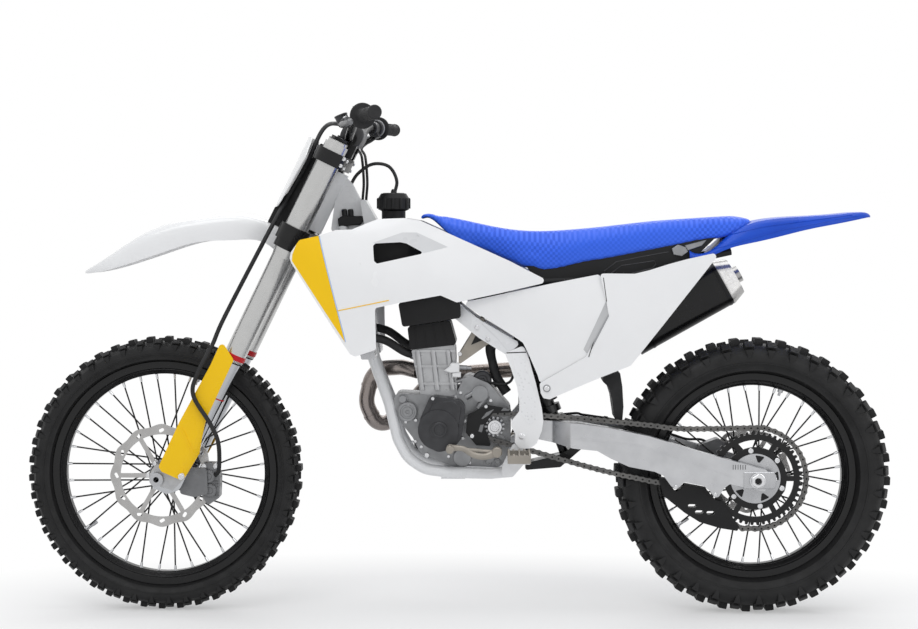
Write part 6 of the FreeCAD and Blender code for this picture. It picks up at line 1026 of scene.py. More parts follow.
def hub_details(end, axle, seal, rings):
    """Bolts of the discs and the sprocket, and the hub's seals."""
    form = Form()
    for reach, across, side, radius, first, rise in rings:
        for spot in round_about(axle + LEFTWARD * across, reach, 6, first):
            cap_screw(form, spot, LEFTWARD * side, radius, rise)
    for side in SIDES:
        form.turned(axle + LEFTWARD * (side * seal), LEFTWARD * side, HUB_SEAL, 36)
    form.piece(end + "_hub_bolts", end + "_wheel", "bright")


wheel_details("front", FRONT_AXLE, 252.5, 34.0, 25.0)
wheel_details("rear", REAR_AXLE, 227.0, 38.0, 31.0)
# Rings of screws: reach, place across, side, radius, first angle, rise
hub_details("front", FRONT_AXLE, 51.5, [(35.0, 64.0, 1.0, 5.4, 0.0, 3.0)])
hub_details("rear", REAR_AXLE, 61.5, [(35.0, -70.0, -1.0, 5.4, 0.0, 3.0), (70.0, 79.0, 1.0, 6.6, 0.35, 4.5)])


# Screws of the bodywork

PANEL_SCREW = (547.0, 388.6)
GUARD_SCREW = (522.0, 437.0)
PANEL_CUP = [(6.4, 0), (9.6, 0), (9.0, 1.2), (6.8, 1.4), (6.4, 0.6)]


def on_both_sides(form, one):
    """Adds one form and its mirror image to another."""
    form.join(one).join(one.flipped())


def body_screws():
    """A cupped screw on each side panel and a screw on each frame guard."""
    screws, cups = forms(2)
    place, normal = seen(*PANEL_SCREW, "side_panels")
    on_both_sides(screws, bolt(Form(), place, normal, 6.0))
    on_both_sides(cups, Form().turned(place, normal, PANEL_CUP, 28))
    place, normal = seen(*GUARD_SCREW, "frame_guards")
    on_both_sides(screws, bolt(Form(), place, normal, 5.0))
    cups.piece("panel_cups", "chassis", "grey_plastic")
    screws.piece("body_screws", "chassis", "bright")


body_screws()


# Engine, left side

ENGINE = ("crankcase", "cylinder", "ignition_cover", "head_cover", "sprocket_guard", "engine_stay")
LARGE_CAP = [(0, -2), (24, -2), (24, 3.2), (22.4, 4.4), (18, 4.4), (17, 2.8), (13, 2.8), (12, 5.0), (5, 5.0),
             (4, 3.0), (0, 3.0)]
SMALL_CAP = [(0, -2), (10, -2), (10, 4), (8.6, 5.4), (0, 5.4)]
LOWER_CAP = [(0, -2), (23, -2), (23, 3.2), (21.6, 4.6), (15, 4.6), (0, 5.4)]
COVER_PLUG = [(0, -2), (19, -2), (19, 1.6), (17.4, 2.6), (13.5, 2.6), (12.6, 0.8), (8, 0.8), (7.2, -1.5),
              (0, -1.5)]
SPROCKET_NUT = [(0, -2), (19, -2), (19, 4.0), (17.0, 6.4), (12.0, 7.0), (10.6, 5.4), (6.6, 5.4), (5.6, 8.4),
                (2.4, 8.4), (2.0, 6.0), (0, 6.0)]
STARTER_END = [(0, 0), (24, 0), (24, 14), (21, 18), (13, 18), (12, 21), (6, 21), (5, 26), (0, 26)]
CONNECTOR_STUB = [(0, 0), (6, 0), (6, 18), (4.6, 19), (4.6, 30), (0, 30)]
IGNITION_FACE = ((432.0, 402.5), (452.5, 399.5), (463.0, 406.5), (458.5, 437.5), (446.0, 448.0),
                 (424.0, 446.5), (417.5, 428.0))
IGNITION_LOW, IGNITION_HIGH, IGNITION_BEVEL = 112.0, 120.0, 5.0
# Screws: picture point and radius
ENGINE_SCREWS = ((432.7, 399.1, 4.4), (455.8, 397.3, 4.4), (460.6, 393.0, 4.0), (408.5, 404.5, 3.8),
                 (405.5, 422.7, 3.8), (415.5, 420.9, 4.2), (415.2, 442.1, 3.8), (421.2, 447.6, 4.2),
                 (426.7, 456.1, 6.4), (448.5, 457.3, 4.0), (464.8, 421.5, 4.4), (463.0, 439.1, 4.4),
                 (472.1, 436.7, 5.4), (486.1, 407.0, 4.4), (490.9, 400.9, 4.4), (477.6, 450.6, 4.6),
                 (469.7, 463.3, 4.0), (476.9, 327.6, 5.4), (487.9, 339.1, 5.4), (460.0, 354.2, 5.4))
CONNECTOR_BLOCKS = (([(-9, -2), (8, -8), (30, -6), (30, 18), (10, 18), (4, 8)], 14.0),
                    ([(12, -19), (34, -19), (34, -6), (12, -7)], 11.0))
# Stubs on the crankcase: two picture points, radius, place across
STUBS = (((466.0, 398.0), (480.0, 389.5), 7.6, 60.0), ((456.5, 382.0), (473.7, 375.0), 5.2, 56.0),
         ((478.5, 409.0), (487.4, 396.4), 9.6, 62.0))
LOOM = [(484.0, 380.0), (494.0, 383.5), (503.5, 384.5), (511.0, 381.0), (514.0, 371.0), (512.0, 360.0)]
DUCT = [(492.0, 340.0), (490.5, 351.0), (493.0, 364.0), (497.0, 378.0), (507.0, 393.0)]
LOOM_Y, DUCT_Y, STARTER_Y = 46.0, 30.0, 30.0


def button(form, px, py, nodes, profile, segments, flats=()):
    """A round form on the left side, placed by a point of the picture's frame."""
    form.turned(seen(px, py, *nodes)[0], LEFTWARD, profile, segments, flats)


def left_route(pixels, y, steps):
    """A smooth route beside the crankcase, at one place across."""
    return curve([(x, y, z) for x, z in traced(pixels, "crankcase", y)], steps)


def engine_caps(case, dark, shiny):
    """The engine's round caps and plugs, the raised ignition face and the screws."""
    button(case, 407.3, 412.4, ENGINE, LARGE_CAP, 36)
    button(case, 402.4, 399.7, ENGINE, SMALL_CAP, 24)
    button(case, 462.4, 458.5, ENGINE, LOWER_CAP, 36)
    for px, radius in ((487.9, 10.5), (497.6, 9.0)):
        button(case, px, 462.8, ("crankcase", "main_frame"),
               [(0, -2), (radius, -2), (radius, 4), (radius - 1.4, 5.2), (radius * 0.6, 5.2),
                (radius * 0.5, 3.0), (0, 3.0)], 24)
    button(dark, 439.4, 430.6, ENGINE, COVER_PLUG, 36, (6, 7))
    outline = [(-x, z) for x, z in traced(IGNITION_FACE, "ignition_cover", IGNITION_HIGH)]
    depth = IGNITION_HIGH - IGNITION_LOW
    dark.slab(outline, LEFTWARD * IGNITION_LOW, (-1, 0, 0), UPWARD, depth, IGNITION_BEVEL)
    button(shiny, 494.9, 427.6, ("drive_sprocket",), SPROCKET_NUT, 32)
    for px, py, radius in ENGINE_SCREWS:
        cap_screw(shiny, seen(px, py, *ENGINE, "main_frame")[0], LEFTWARD, radius)


def plug_connector(white, case):
    """The white connector beside the cylinder, and a round stub behind it."""
    place = seen(449.0, 369.0, "cylinder")[0] + Vector((4.0, -1.0, -2.0))
    for outline, depth in CONNECTOR_BLOCKS:
        white.slab(outline, place, (-1, 0, 0), UPWARD, depth, 2.0)
    case.turned(place + Vector((-30.0, 6.0, 6.0)), (-1, 0, -0.06), CONNECTOR_STUB, 20)


def engine_stubs(case):
    """Three stepped stubs beside the crankcase."""
    for first, last, radius, side in STUBS:
        (x0, z0), (x1, z1) = traced([first, last], "crankcase", side)
        length = math.hypot(x1 - x0, z1 - z0)
        case.turned((x0, side - 3.0, z0), (x1 - x0, 0, z1 - z0),
                    [(0, 0), (radius, 0), (radius, length * 0.7), (radius * 0.8, length * 0.74),
                     (radius * 0.8, length), (0, length)], 20)


def engine_left():
    case, dark, black, shiny, white = forms(5)
    engine_caps(case, dark, shiny)
    plug_connector(white, case)
    engine_stubs(case)
    (x, z), = traced([(482.5, 378.0)], "crankcase", 44.0)
    dark.turned((x, STARTER_Y, z), LEFTWARD, STARTER_END, 36)
    black.pipe(left_route(LOOM, LOOM_Y, 8), 3.4, 12)
    blade(black, left_route(DUCT, DUCT_Y, 6), [(0, 15.0), (0.4, 11.0), (1.0, 13.0)], [(0, 9.0), (1.0, 8.0)],
          Vector((1, 0, 0)))
    black.piece("engine_loom", "chassis", "rubber")
    case.piece("engine_covers", "chassis", "cast")
    dark.piece("ignition_plug", "chassis", "dark_cast")
    shiny.piece("engine_bolts", "chassis", "bright")
    white.piece("plug_connector", "chassis", "white")


engine_left()


# Handlebar and controls

BAR_BEND = Vector((451.0, 215.0, 1233.0))
BAR_END = Vector((393.0, 402.0, 1236.0))
LEVER_AHEAD = Vector((0.93, 0.0, -0.37))
LEVER_UP = Vector((0.37, 0.0, 0.93))
CLAMP_RING = [(11.2, 0), (15.4, 0), (17, 1.6), (17, 24.4), (15.4, 26), (11.2, 26)]
CLAMP_EAR = [(-9, -11), (9, -11), (9, 13), (-9, 13)]
EAR_LIFT, EAR_DEPTH = 15.5, 11.0
# Places by the bar: distance from the middle, and distance ahead of the bar
CLAMP_INNER, CLAMP_MIDDLE, CLAMP_OUTER = 236.0, 249.0, 262.0
CYLINDER_START, CYLINDER_END = (204.0, 32.0), (268.0, 34.0)
RESERVOIR_FOOT = (226.0, 33.0)
LEVER_ROUTE = ((262.0, 34.0), (275.0, 47.0), (296.0, 57.0), (340.0, 57.5), (388.0, 57.0))
GRIP_INNER, GRIP_OUTER = 285.0, 406.0
HOUSING_INNER, HOUSING_START, HOUSING_END = 258.0, 262.5, 285.0
CYLINDER = [(0, 0), (9, 0), (11.5, 2), (11.5, 40), (13.5, 44), (13.5, 60), (11, 65), (0, 65)]
RESERVOIR = [(0, -4), (13.5, -4), (15.5, 0), (15.5, 9.0), (16.6, 9.4), (16.6, 12.4), (15.4, 13.4), (0, 13.4)]
LEVER_BALL = [(0, -6), (5.0, -5), (7.4, -1.5), (7.8, 1.5), (6.2, 5.0), (3.0, 7.0), (0, 7.4)]
GRIP_START = [(11.6, 0), (29.0, 0), (31.0, 1.6), (31.0, 4.0), (29.0, 5.6), (19.0, 6.2), (17.0, 8.5)]
GRIP_RIB = [(16.2, 0.0), (16.2, 3.2), (15.0, 3.8), (15.0, 5.2)]
GRIP_PITCH = 6.0
HOUSING = [(11.2, 0), (20.0, 0), (22.0, 2.0), (22.0, 19.5), (20.5, 21.5), (11.2, 21.5)]
HOUSING_NECK = [(0, 0), (10.0, 0), (10.0, 20.0), (6.0, 24.0), (0, 24.0)]
HOUSING_COVER = [(21.9, 0), (23.0, 0.6), (23.0, 5.2), (21.9, 5.8)]


def bar_point(side, out, forward=0.0):
    """A place on the handlebar's outer part, or ahead of it."""
    share = (out - BAR_BEND.y) / (BAR_END.y - BAR_BEND.y)
    place = BAR_BEND.lerp(BAR_END, share) + LEVER_AHEAD * forward
    place.y *= side
    return place


def controls(side, name, node):
    """A lever with its clamp, cylinder and reservoir beside the grip."""
    body, lever, bolts = forms(3)
    ahead, up = LEVER_AHEAD, LEVER_UP
    clamp = bar_point(side, CLAMP_INNER)
    along = (bar_point(side, CLAMP_OUTER) - clamp).normalized()
    body.turned(clamp, along, CLAMP_RING, 28)
    for way in SIDES:
        foot = bar_point(side, CLAMP_MIDDLE) + up * (EAR_LIFT * way) - ahead * 3.0
        body.slab(CLAMP_EAR, foot - ahead * 5.0, along, up * way, EAR_DEPTH * side * way)
        cap_screw(bolts, foot + ahead * 4.6, ahead, 4.0)
    start = bar_point(side, *CYLINDER_START)
    body.turned(start, bar_point(side, *CYLINDER_END) - start, CYLINDER, 24)
    cup = bar_point(side, *RESERVOIR_FOOT) + up * 8.0
    body.turned(cup, up, RESERVOIR, 28)
    for turn in (0.5, 3.64):
        out = along * (math.cos(turn) * 11.5) + ahead * (math.sin(turn) * 11.5)
        cap_screw(bolts, cup + up * 13.0 + out, up, 2.6, 1.6)
    path = curve([bar_point(side, *spot) for spot in LEVER_ROUTE], 8)
    blade(lever, path, [(0, 7.0), (0.25, 6.0), (0.7, 6.4), (0.94, 5.0), (1.0, 5.0)],
          [(0, 5.5), (0.25, 4.0), (0.94, 3.4), (1.0, 3.4)], up)
    lever.turned(path[-1] - along * 2.0, along, LEVER_BALL, 20)
    lever.turned(path[0] - up * 10.0, up, plug(7.5, 20), 18)
    cap_screw(bolts, path[0] + up * 10.0, up, 5.0)
    body.piece(name + "_body", "steering", "dark_cast", [node])
    lever.piece(name + "_lever", "steering", "grey_cast")
    bolts.piece(name + "_bolts", "steering", "bright")


def grip_pieces():
    """Ribbed grips with wide flanges, the throttle's housing and its cover."""
    grips, housing, cover = forms(3)
    for side in SIDES:
        first, last = bar_point(side, GRIP_INNER), bar_point(side, GRIP_OUTER)
        length = (last - first).length
        profile = list(GRIP_START)
        place = 10.0
        while place < length - 8.0:
            profile += [(radius, place + height) for radius, height in GRIP_RIB]
            place += GRIP_PITCH
        profile += [(16.8, length - 6.0), (17.0, length - 2.0), (14.5, length), (0, length)]
        grips.turned(first, last - first, profile, 40)
    along = bar_point(-1.0, HOUSING_END) - bar_point(-1.0, HOUSING_INNER)
    start = bar_point(-1.0, HOUSING_START)
    housing.turned(start, along, HOUSING, 36)
    neck = start + along * 0.4 + LEVER_UP * 6.0
    housing.turned(neck, LEVER_UP + Vector((0.35, 0.0, -0.5)), HOUSING_NECK, 18)
    cover.turned(start + along * 0.3, along, HOUSING_COVER, 36)
    grips.piece("grip_rubbers", "steering", "rubber", ["grips"])
    housing.piece("throttle_body", "steering", "dark_cast")
    cover.piece("throttle_cover", "steering", "grey_plastic")


controls(1.0, "clutch", "clutch_control")
controls(-1.0, "brake", "brake_control")
grip_pieces()


# Throttle cables

CABLE_ROUTE = [(440.0, -262.0, 1206.0), (466.0, -190.0, 1178.0), (448.0, -66.0, 1150.0),
               (440.0, -24.0, 1085.0), (444.0, -46.0, 1020.0), (424.0, -58.0, 972.0)]
CABLE_SPACING = 9.0


def cable_pieces():
    form = Form()
    for step in (0.0, CABLE_SPACING):
        path = curve([Vector(p) + Vector((step, 0, 0)) for p in CABLE_ROUTE], 10)
        form.pipe(path, 3.4, 12)
        form.pipe([path[0].lerp(path[1], -0.6), path[2], path[4]], [4.8, 4.8, 4.0], 12)
    thing = form.piece("cables", None, "rubber", ["throttle_cables"])
    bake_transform(thing)


cable_pieces()


# Fork

# Rings round each leg: height up the fork, profile, segments, hexagon rows
FORK_SEAL = (350.0, [(24.4, 0), (28.2, 0.6), (28.6, 2.0), (28.6, 13.0), (27.4, 14.0), (24.4, 14.0)], 40)
WIPER_LIP = (341.0, [(24.3, 0), (26.2, 0.4), (27.0, 3.0), (27.0, 9.0), (24.3, 9.0)], 40)
SAG_RING = (243.0, [(24.0, 0), (25.2, 0.5), (25.2, 3.0), (24.0, 3.5)], 32)
FORK_CAP = (946.0, [(0, 0), (25.0, 0), (25.0, 4.0), (21.0, 5.0), (18.0, 5.0), (18.0, 11.0), (16.6, 12.0),
                    (8.0, 12.0), (8.0, 15.0), (7.0, 16.0), (0, 16.0)], 36, (4, 5))
CLAMP_SCREWS = (680.0, 702.0, 893.0, 912.0)
STEM_SCREWS = ((344.0, 159.4), (340.7, 166.0))
GUARD_BOLT = (178.2, 478.2, 6.0)
CALIPER_BOLTS = ((209.0, 491.0, 4.4), (201.0, 468.5, 5.0), (213.5, 468.0, 4.6))
PISTON = [(0, 0), (17.5, 0), (17.5, 5.0), (15.0, 7.5), (9.0, 7.5), (8.0, 6.0), (0, 6.0)]
PISTON_PLACES = ((829.0, 83.5, 314.0), (832.0, 83.5, 349.0))
CALIPER_RIB = [(-14, -1.4), (14, -1.4), (14, 1.4), (-14, 1.4)]
CALIPER_RIBS = (300.0, 307.0, 322.0, 329.0, 336.0, 360.0)


def leg_ring(form, side, up, profile, segments, flats=()):
    """A ring round one leg of the fork."""
    form.turned(steering_point(up, LEG_AHEAD, side * LEG_Y), UP_FORK, profile, segments, flats)


def steering_bolts():
    """Screws of the triple clamps, and bolts of the guards' feet and the caliper."""
    form = Form()
    for side in SIDES:
        for up in CLAMP_SCREWS:
            place = struck("triple_clamps", steering_point(up, -80.0, side * LEG_Y), AHEAD_FORK)
            cap_screw(form, place, -AHEAD_FORK, 4.6)
    for px, py in STEM_SCREWS:
        on_both_sides(form, cap_screw(Form(), seen(px, py, "triple_clamps")[0], LEFTWARD, 5.0))
    px, py, radius = GUARD_BOLT
    on_both_sides(form, bolt(Form(), seen(px, py, "fork_guards")[0], LEFTWARD, radius))
    for px, py, radius in CALIPER_BOLTS:
        bolt(form, seen(px, py, "front_caliper")[0], LEFTWARD, radius)
    form.piece("steering_bolts", "steering", "bright")


def fork_details():
    """Seals, wiper lips, top caps and the sag ring."""
    red, black, caps = forms(3)
    for side in SIDES:
        leg_ring(red, side, *FORK_SEAL)
        leg_ring(black, side, *WIPER_LIP)
        leg_ring(caps, side, *FORK_CAP)
    leg_ring(red, 1.0, *SAG_RING)
    red.piece("fork_seals", "steering", "red")
    black.piece("fork_wiper_lips", "steering", "rubber")
    caps.piece("fork_caps", "steering", "black_anodised")


def caliper_pistons():
    """The front caliper's pistons and ribs."""
    form = Form()
    for place in PISTON_PLACES:
        form.turned(place, LEFTWARD, PISTON, 28)
    for z in CALIPER_RIBS:
        form.slab(CALIPER_RIB, (822.0, 83.0, z), (-1, 0, 0.1), (0.1, 0, 1), 4.5, 1.0)
    form.piece("front_caliper_pistons", "steering", "grey_cast")


fork_details()
steering_bolts()
caliper_pistons()


# Hoses and levers

# A coolant hose: places ahead, across and up
COOLANT_ROUTE = ((446.0, 92.0, 700.0), (392.0, 66.0, 690.0), (345.0, 40.0, 660.0), (312.0, 28.0, 648.0))
RIGHT_HOSE_LIFT = 16.0
VENT_ROUTE = [(372.0, 0.0, 1050.0), (364.0, 0.0, 1088.0), (384.0, 0.0, 1124.0), (425.0, 0.0, 1130.0),
              (462.0, 0.0, 1106.0), (482.0, 0.0, 1075.0)]
VENT_SOCKET = [(0, 0), (7.5, 0), (7.5, 8), (5.0, 13), (0, 13)]
BRAKE_ROUTE = [(815.0, 84.0, 352.0), (800.0, 120.0, 372.0), (797.0, 147.0, 440.0), (816.0, 150.0, 488.0),
               (858.0, 149.0, 560.0), (846.0, 145.0, 615.0), (814.0, 126.0, 680.0), (784.0, 110.0, 752.0),
               (676.0, 104.0, 958.0), (636.0, 62.0, 1040.0), (585.0, 58.0, 1130.0), (548.0, 20.0, 1216.0),
               (520.0, -90.0, 1236.0), (476.0, -214.0, 1216.0)]
REAR_ROUTE_START = [Vector((-440.0, -72.0, 408.0)), Vector((-418.0, -84.0, 424.0))]
REAR_ROUTE_END = [Vector((48.0, -104.0, 470.0)), Vector((70.0, -112.0, 440.0))]
GEAR_ROUTE = [(111.0, 138.0, 418.0), (140.0, 141.0, 408.0), (168.0, 139.0, 412.0), (196.0, 136.0, 427.0),
              (226.0, 136.0, 428.0)]
PEDAL_ROUTE = [(64.0, -126.0, 375.0), (130.0, -140.0, 388.0), (196.0, -150.0, 420.0), (240.0, -150.0, 428.0)]
GEAR_BOSS = [(0, 0), (13.0, 0), (13.0, 26.0), (11.0, 28.0), (0, 28.0)]
GEAR_RIB = [(9.6, 0.0), (9.6, 5.0), (8.4, 5.6), (8.4, 7.4)]
GEAR_RIB_PITCH = 8.0


def hoses():
    """The coolant, vent and front brake hoses on smooth lines, with their clamps."""
    black, clamps, front = forms(3)
    for side, lift in ((1.0, 0.0), (-1.0, RIGHT_HOSE_LIFT)):
        line = curve([(x, side * y, z + lift) for x, y, z in COOLANT_ROUTE], 10)
        black.pipe(line, 10.5, 16)
        for index in (3, len(line) - 4):
            band(clamps, line[index], line[index + 1] - line[index], 10.4, 9.0)
    black.pipe(curve(VENT_ROUTE, 10), 4.2, 12)
    black.turned((372.0, 0.0, 1054.0), (-0.1, 0, 1), VENT_SOCKET, 20)
    front.pipe(curve(BRAKE_ROUTE, 10), 5.4, 12)
    black.piece("hose_lines", "chassis", "rubber", ["engine_hoses"])
    clamps.piece("hose_clamps", "chassis", "bright")
    front.piece("brake_hose_line", "steering", "rubber", ["front_brake_hose"])


def rear_hose():
    """The rear brake's hose, laid along the swingarm's top from the caliper to the frame."""
    form = Form()
    line = REAR_ROUTE_START + [struck("swingarm", (x, -96.0, 700.0), -UPWARD) + UPWARD * 3.4
                               for x in range(-380, -60, 30)] + REAR_ROUTE_END
    form.pipe(curve(line, 5), 3.2, 10)
    for index in (4, 9):
        band(form, line[index], line[index + 1] - line[index], 3.4, 10.0)
    form.piece("rear_brake_hose_line", "chassis", "rubber")


def levers():
    """The gear lever's forged arm and the brake pedal's step, over the CAD's plain bars."""
    form = Form()
    blade(form, curve(GEAR_ROUTE, 8), [(0, 11.0), (0.2, 8.5), (0.8, 7.0), (1.0, 9.0)],
          [(0, 6.0), (0.8, 5.0), (1.0, 6.0)], UPWARD)
    form.turned((111.0, 118.0, 418.0), LEFTWARD, GEAR_BOSS, 28)
    ribs = [(radius, k * GEAR_RIB_PITCH + height) for k in range(6) for radius, height in GEAR_RIB]
    form.turned((226.0, 131.0, 428.0), LEFTWARD, [(0, 0)] + ribs + [(0, 47.5)], 20)
    blade(form, curve(PEDAL_ROUTE, 8), [(0, 9.0), (1.0, 6.5)], [(0, 5.0), (1.0, 4.0)], UPWARD)
    form.piece("forged_levers", "chassis", "bronze")


hoses()
rear_hose()
levers()


# Footpeg teeth

PEG_TOOTH = [(3.4, 0), (2.4, 3.4), (1.2, 5.0), (0, 5.0)]
PEG_TOP = 422.0
TOOTH_PLACES = [(x, 142.0 + k * 11.6) for x in (32.0, 57.0, 82.0) for k in range(9)]
TOOTH_PLACES += [(x, y) for y in (139.0, 237.0) for x in (44.0, 70.0)]

for side, name in ((1.0, "left"), (-1.0, "right")):
    teeth = Form()
    for x, y in TOOTH_PLACES:
        teeth.turned((x, side * y, PEG_TOP), UPWARD, PEG_TOOTH, 8)
    teeth.piece(name + "_peg_teeth", name + "_peg", "bronze")


# Rear axle blocks, filler cap and the box beside the frame's head

AXLE_BLOCK = [(-34, -21), (40, -21), (46, -12), (46, 12), (40, 21), (-34, 21)]
AXLE_MARK = [(-0.6, -6), (0.6, -6), (0.6, 6), (-0.6, 6)]
AXLE_NUT = [(0, 0), (19, 0), (19, 3.0), (15.5, 4.0), (15.5, 12.0), (14.0, 13.5), (9.0, 13.5), (8.0, 10.0),
            (0, 10.0)]
ADJUSTER = [(0, 0), (6, 0), (6, 6), (4, 7), (4, 18), (0, 18)]
CAP_X, CAP_FOOT, CAP_TOP = 372.0, 1018.0, 1042.0
CAP_LOBES, LOBE_REACH = 12, 38.6
NUT_Y, NUT_END_Y, ADJUSTER_Y, ADJUSTER_BACK = 120.0, 130.2, 96.0, 50.0
CAP_LOBE = [(0, 0), (4.2, 0), (4.2, 24.0), (2.6, 27.0), (0, 27.0)]
CAP_LID = [(30, 0), (30, 13.4), (26, 15.6), (20, 15.6), (18, 13.0), (0, 13.0)]
BOX_OUTLINE = [(-34, -14), (20, -10), (34, 4), (34, 12), (-20, 14), (-34, 6)]
BOX_PLUG = [(0, 0), (7, 0), (7, 15), (5, 18), (0, 18)]


def axle_blocks(bright, black, case):
    """Both ends of the rear axle: block, scale, nut, a black disc as painted shade at the bottom of the nut's
    hollow, and chain adjuster.
    """
    for side in SIDES:
        out = LEFTWARD * side
        y = struck("swingarm", (-505.0, side * 400.0, REAR_AXLE.z), -out).y
        case.slab(AXLE_BLOCK, REAR_AXLE + LEFTWARD * (y - side * 6.0), (-side, 0, 0), UPWARD, 9.0, 1.6)
        for k in range(6):
            mark = Vector((-502.0 + k * 6.0, y + side * 0.6, REAR_AXLE.z + 33.0))
            black.slab(AXLE_MARK, mark, (-side, 0, 0), UPWARD, 0.5)
        bright.turned(REAR_AXLE + out * NUT_Y, out, AXLE_NUT, 36, (4, 5))
        # Painted shade: a black disc at the bottom of the nut's hollow
        black.turned(REAR_AXLE + out * NUT_END_Y, out, plug(7.6, 0.6), 24)
        adjuster = REAR_AXLE + out * ADJUSTER_Y - Vector((ADJUSTER_BACK, 0, 0))
        bright.turned(adjuster, (1, 0, 0), ADJUSTER, 18, (1, 2))


def filler_cap(form):
    """The cap's lobes and its lid."""
    for k in range(CAP_LOBES):
        turn = math.tau * k / CAP_LOBES
        place = (CAP_X + math.cos(turn) * LOBE_REACH, math.sin(turn) * LOBE_REACH, CAP_FOOT)
        form.turned(place, UPWARD, CAP_LOBE, 10)
    form.turned((CAP_X, 0.0, CAP_TOP), UPWARD, CAP_LID, 32)


def small_pieces():
    bright, black, case = forms(3)
    for px, py in ((676.8, 487.6), (716.3, 495.2)):
        cap_screw(bright, seen(px, py, "swingarm", "chain_guide")[0], LEFTWARD, 5.0)
    axle_blocks(bright, black, case)
    filler_cap(black)
    box, _ = seen(352.0, 221.0, "main_frame")
    black.slab(BOX_OUTLINE, box - LEFTWARD * 2.0, (-1, 0, 0), (0.12, 0, 1), 18.0, 2.0)
    for x in (18.0, 2.0):
        black.turned(box + Vector((x, 4.0, 12.0)), (0.1, 0, 1), BOX_PLUG, 18)
    bright.piece("chassis_bolts", "chassis", "bright")
    black.piece("chassis_small_parts", "chassis", "black_plastic")
    case.piece("axle_blocks", "chassis", "silver")


small_pieces()


# Radiator fins: the low and high end of each face, and how far the fins stand out

RADIATOR_FACES = ((Vector((443.0, 0, 648.0)), Vector((488.0, 0, 904.8)), 0.64),
                  (Vector((408.8, 0, 648.0)), Vector((452.0, 0, 910.0)), -0.64))
FIN_INNER, FIN_OUTER, FIN_RADIUS = 74.0, 152.0, 1.3
FIN_STEPS = 48

fins = Form()
for side in SIDES:
    for low, high, out in RADIATOR_FACES:
        for k in range(2, FIN_STEPS - 2):
            spot = low.lerp(high, k / FIN_STEPS) + Vector((out, 0, 0))
            fins.pipe([spot + LEFTWARD * (side * y) for y in (FIN_INNER, FIN_OUTER)], FIN_RADIUS, 6)
fins.piece("radiator_fins", "chassis", "silver")


# Engine, right side

CLUTCH_MIDDLE = Vector((205.0, 0.0, 478.0))
CLUTCH_FACE = [(0, -2), (62, -2), (62, 2.0), (58, 4.4), (48, 5.2), (46, 3.4), (20, 3.4), (18, 5.4), (0, 6.4)]
# Round covers: ahead, up, radius
RIGHT_COVERS = ((103.0, 476.0, 27.0), (300.0, 420.0, 24.0), (126.0, 560.0, 14.0))
FAR_RIGHT = RIGHTWARD * 400.0


def engine_right():
    """The clutch cover's bolts and ring, the water pump and the oil filter's cap."""
    cover, bolts = forms(2)
    for spot in round_about(CLUTCH_MIDDLE, 80.0, 8, math.pi / 8):
        cap_screw(bolts, struck("crankcase", spot + FAR_RIGHT, LEFTWARD), RIGHTWARD, 4.6)
    cover.turned(struck("crankcase", CLUTCH_MIDDLE + FAR_RIGHT, LEFTWARD), RIGHTWARD, CLUTCH_FACE, 56)
    for x, z, radius in RIGHT_COVERS:
        place = struck("crankcase", Vector((x, 0.0, z)) + FAR_RIGHT, LEFTWARD)
        profile = [(0, -2), (radius, -2), (radius, 4), (radius - 2, 6), (radius * 0.5, 7), (radius * 0.45, 5),
                   (0, 5)]
        cover.turned(place, RIGHTWARD, profile, 32)
        for spot in round_about(place + LEFTWARD, radius + 3, 3):
            cap_screw(bolts, spot, RIGHTWARD, 3.8)
    cover.piece("clutch_cover_face", "chassis", "dark_cast")
    bolts.piece("engine_bolts_right", "chassis", "bright")


engine_right()


# Exhaust

EXHAUST_ROUTE = [Vector(p) for p in ((311.9, -25.9, 605.5), (353.9, -48.0, 613.6), (430.3, -88.0, 605.5),
                                     (450.0, -80.0, 519.9), (420.0, -94.0, 452.0), (359.6, -122.0, 483.9),
                                     (269.9, -136.0, 585.7), (79.6, -136.0, 599.6), (-110.8, -142.0, 620.6),
                                     (-186.5, -162.0, 663.5))]
# Weld rings: the route's piece and the share along it
WELD_RINGS = ((2, 0.5), (3, 0.5), (7, 0.15), (7, 0.24), (7, 0.8))
SPRING_PITCH, SPRING_TURN, SPRING_RADIUS, SPRING_REACH = 1.6 / 6.0, 1.05, 3.4, 25.0


def exhaust_details():
    """The header's weld rings and the joint's springs."""
    rings, springs = forms(2)
    for index, share in WELD_RINGS:
        here, there = EXHAUST_ROUTE[index:index + 2]
        band(rings, here.lerp(there, share), there - here, 19.8, 7.0)
    here, there = EXHAUST_ROUTE[7:9]
    ahead = (there - here).normalized()
    u, v = square_to(ahead)
    start = here.lerp(there, 0.10)
    for turn in (0.6, 3.7):
        foot = start + (u * math.cos(turn) + v * math.sin(turn)) * SPRING_REACH
        coil = []
        for k in range(120):
            out = u * math.cos(k * SPRING_TURN) + v * math.sin(k * SPRING_TURN)
            coil.append(foot + ahead * (SPRING_PITCH * k) + out * SPRING_RADIUS)
        springs.pipe(coil, 0.9, 6)
    rings.piece("exhaust_rings", "chassis", "header")
    springs.piece("exhaust_springs", "chassis", "bright")


exhaust_details()


# Painted shade: thin black marks laid in the three-cornered pockets round both hubs' outer faces

POCKET = [(9, 7.5), (11, 5.5), (2.4, -9), (-2.4, -9), (-11, 5.5), (-9, 7.5)]
POCKETS = 5


def hub_pocket_shade(name, end, axle, side, reach):
    form = Form()
    across = LEFTWARD * side
    for spot in round_about(Vector((0, 0, 0)), 1.0, POCKETS, math.tau * 0.4 / POCKETS):
        place = struck(end + "_hub", axle + spot * reach + across * 300.0, -across)
        # A thin black slab on the hub: painted shade in the pocket
        form.slab(POCKET, place - across * 0.4, spot.cross(across), spot, 0.8)
    form.piece(name + "_hub_pocket_shade", end + "_wheel", "black_plastic")


hub_pocket_shade("rear", "rear", REAR_AXLE, 1.0, 50.0)
hub_pocket_shade("rear_right", "rear", REAR_AXLE, -1.0, 26.0)
hub_pocket_shade("front", "front", FRONT_AXLE, 1.0, 26.0)


# Skin below the seat, with its hand recess and the casting at its rear end

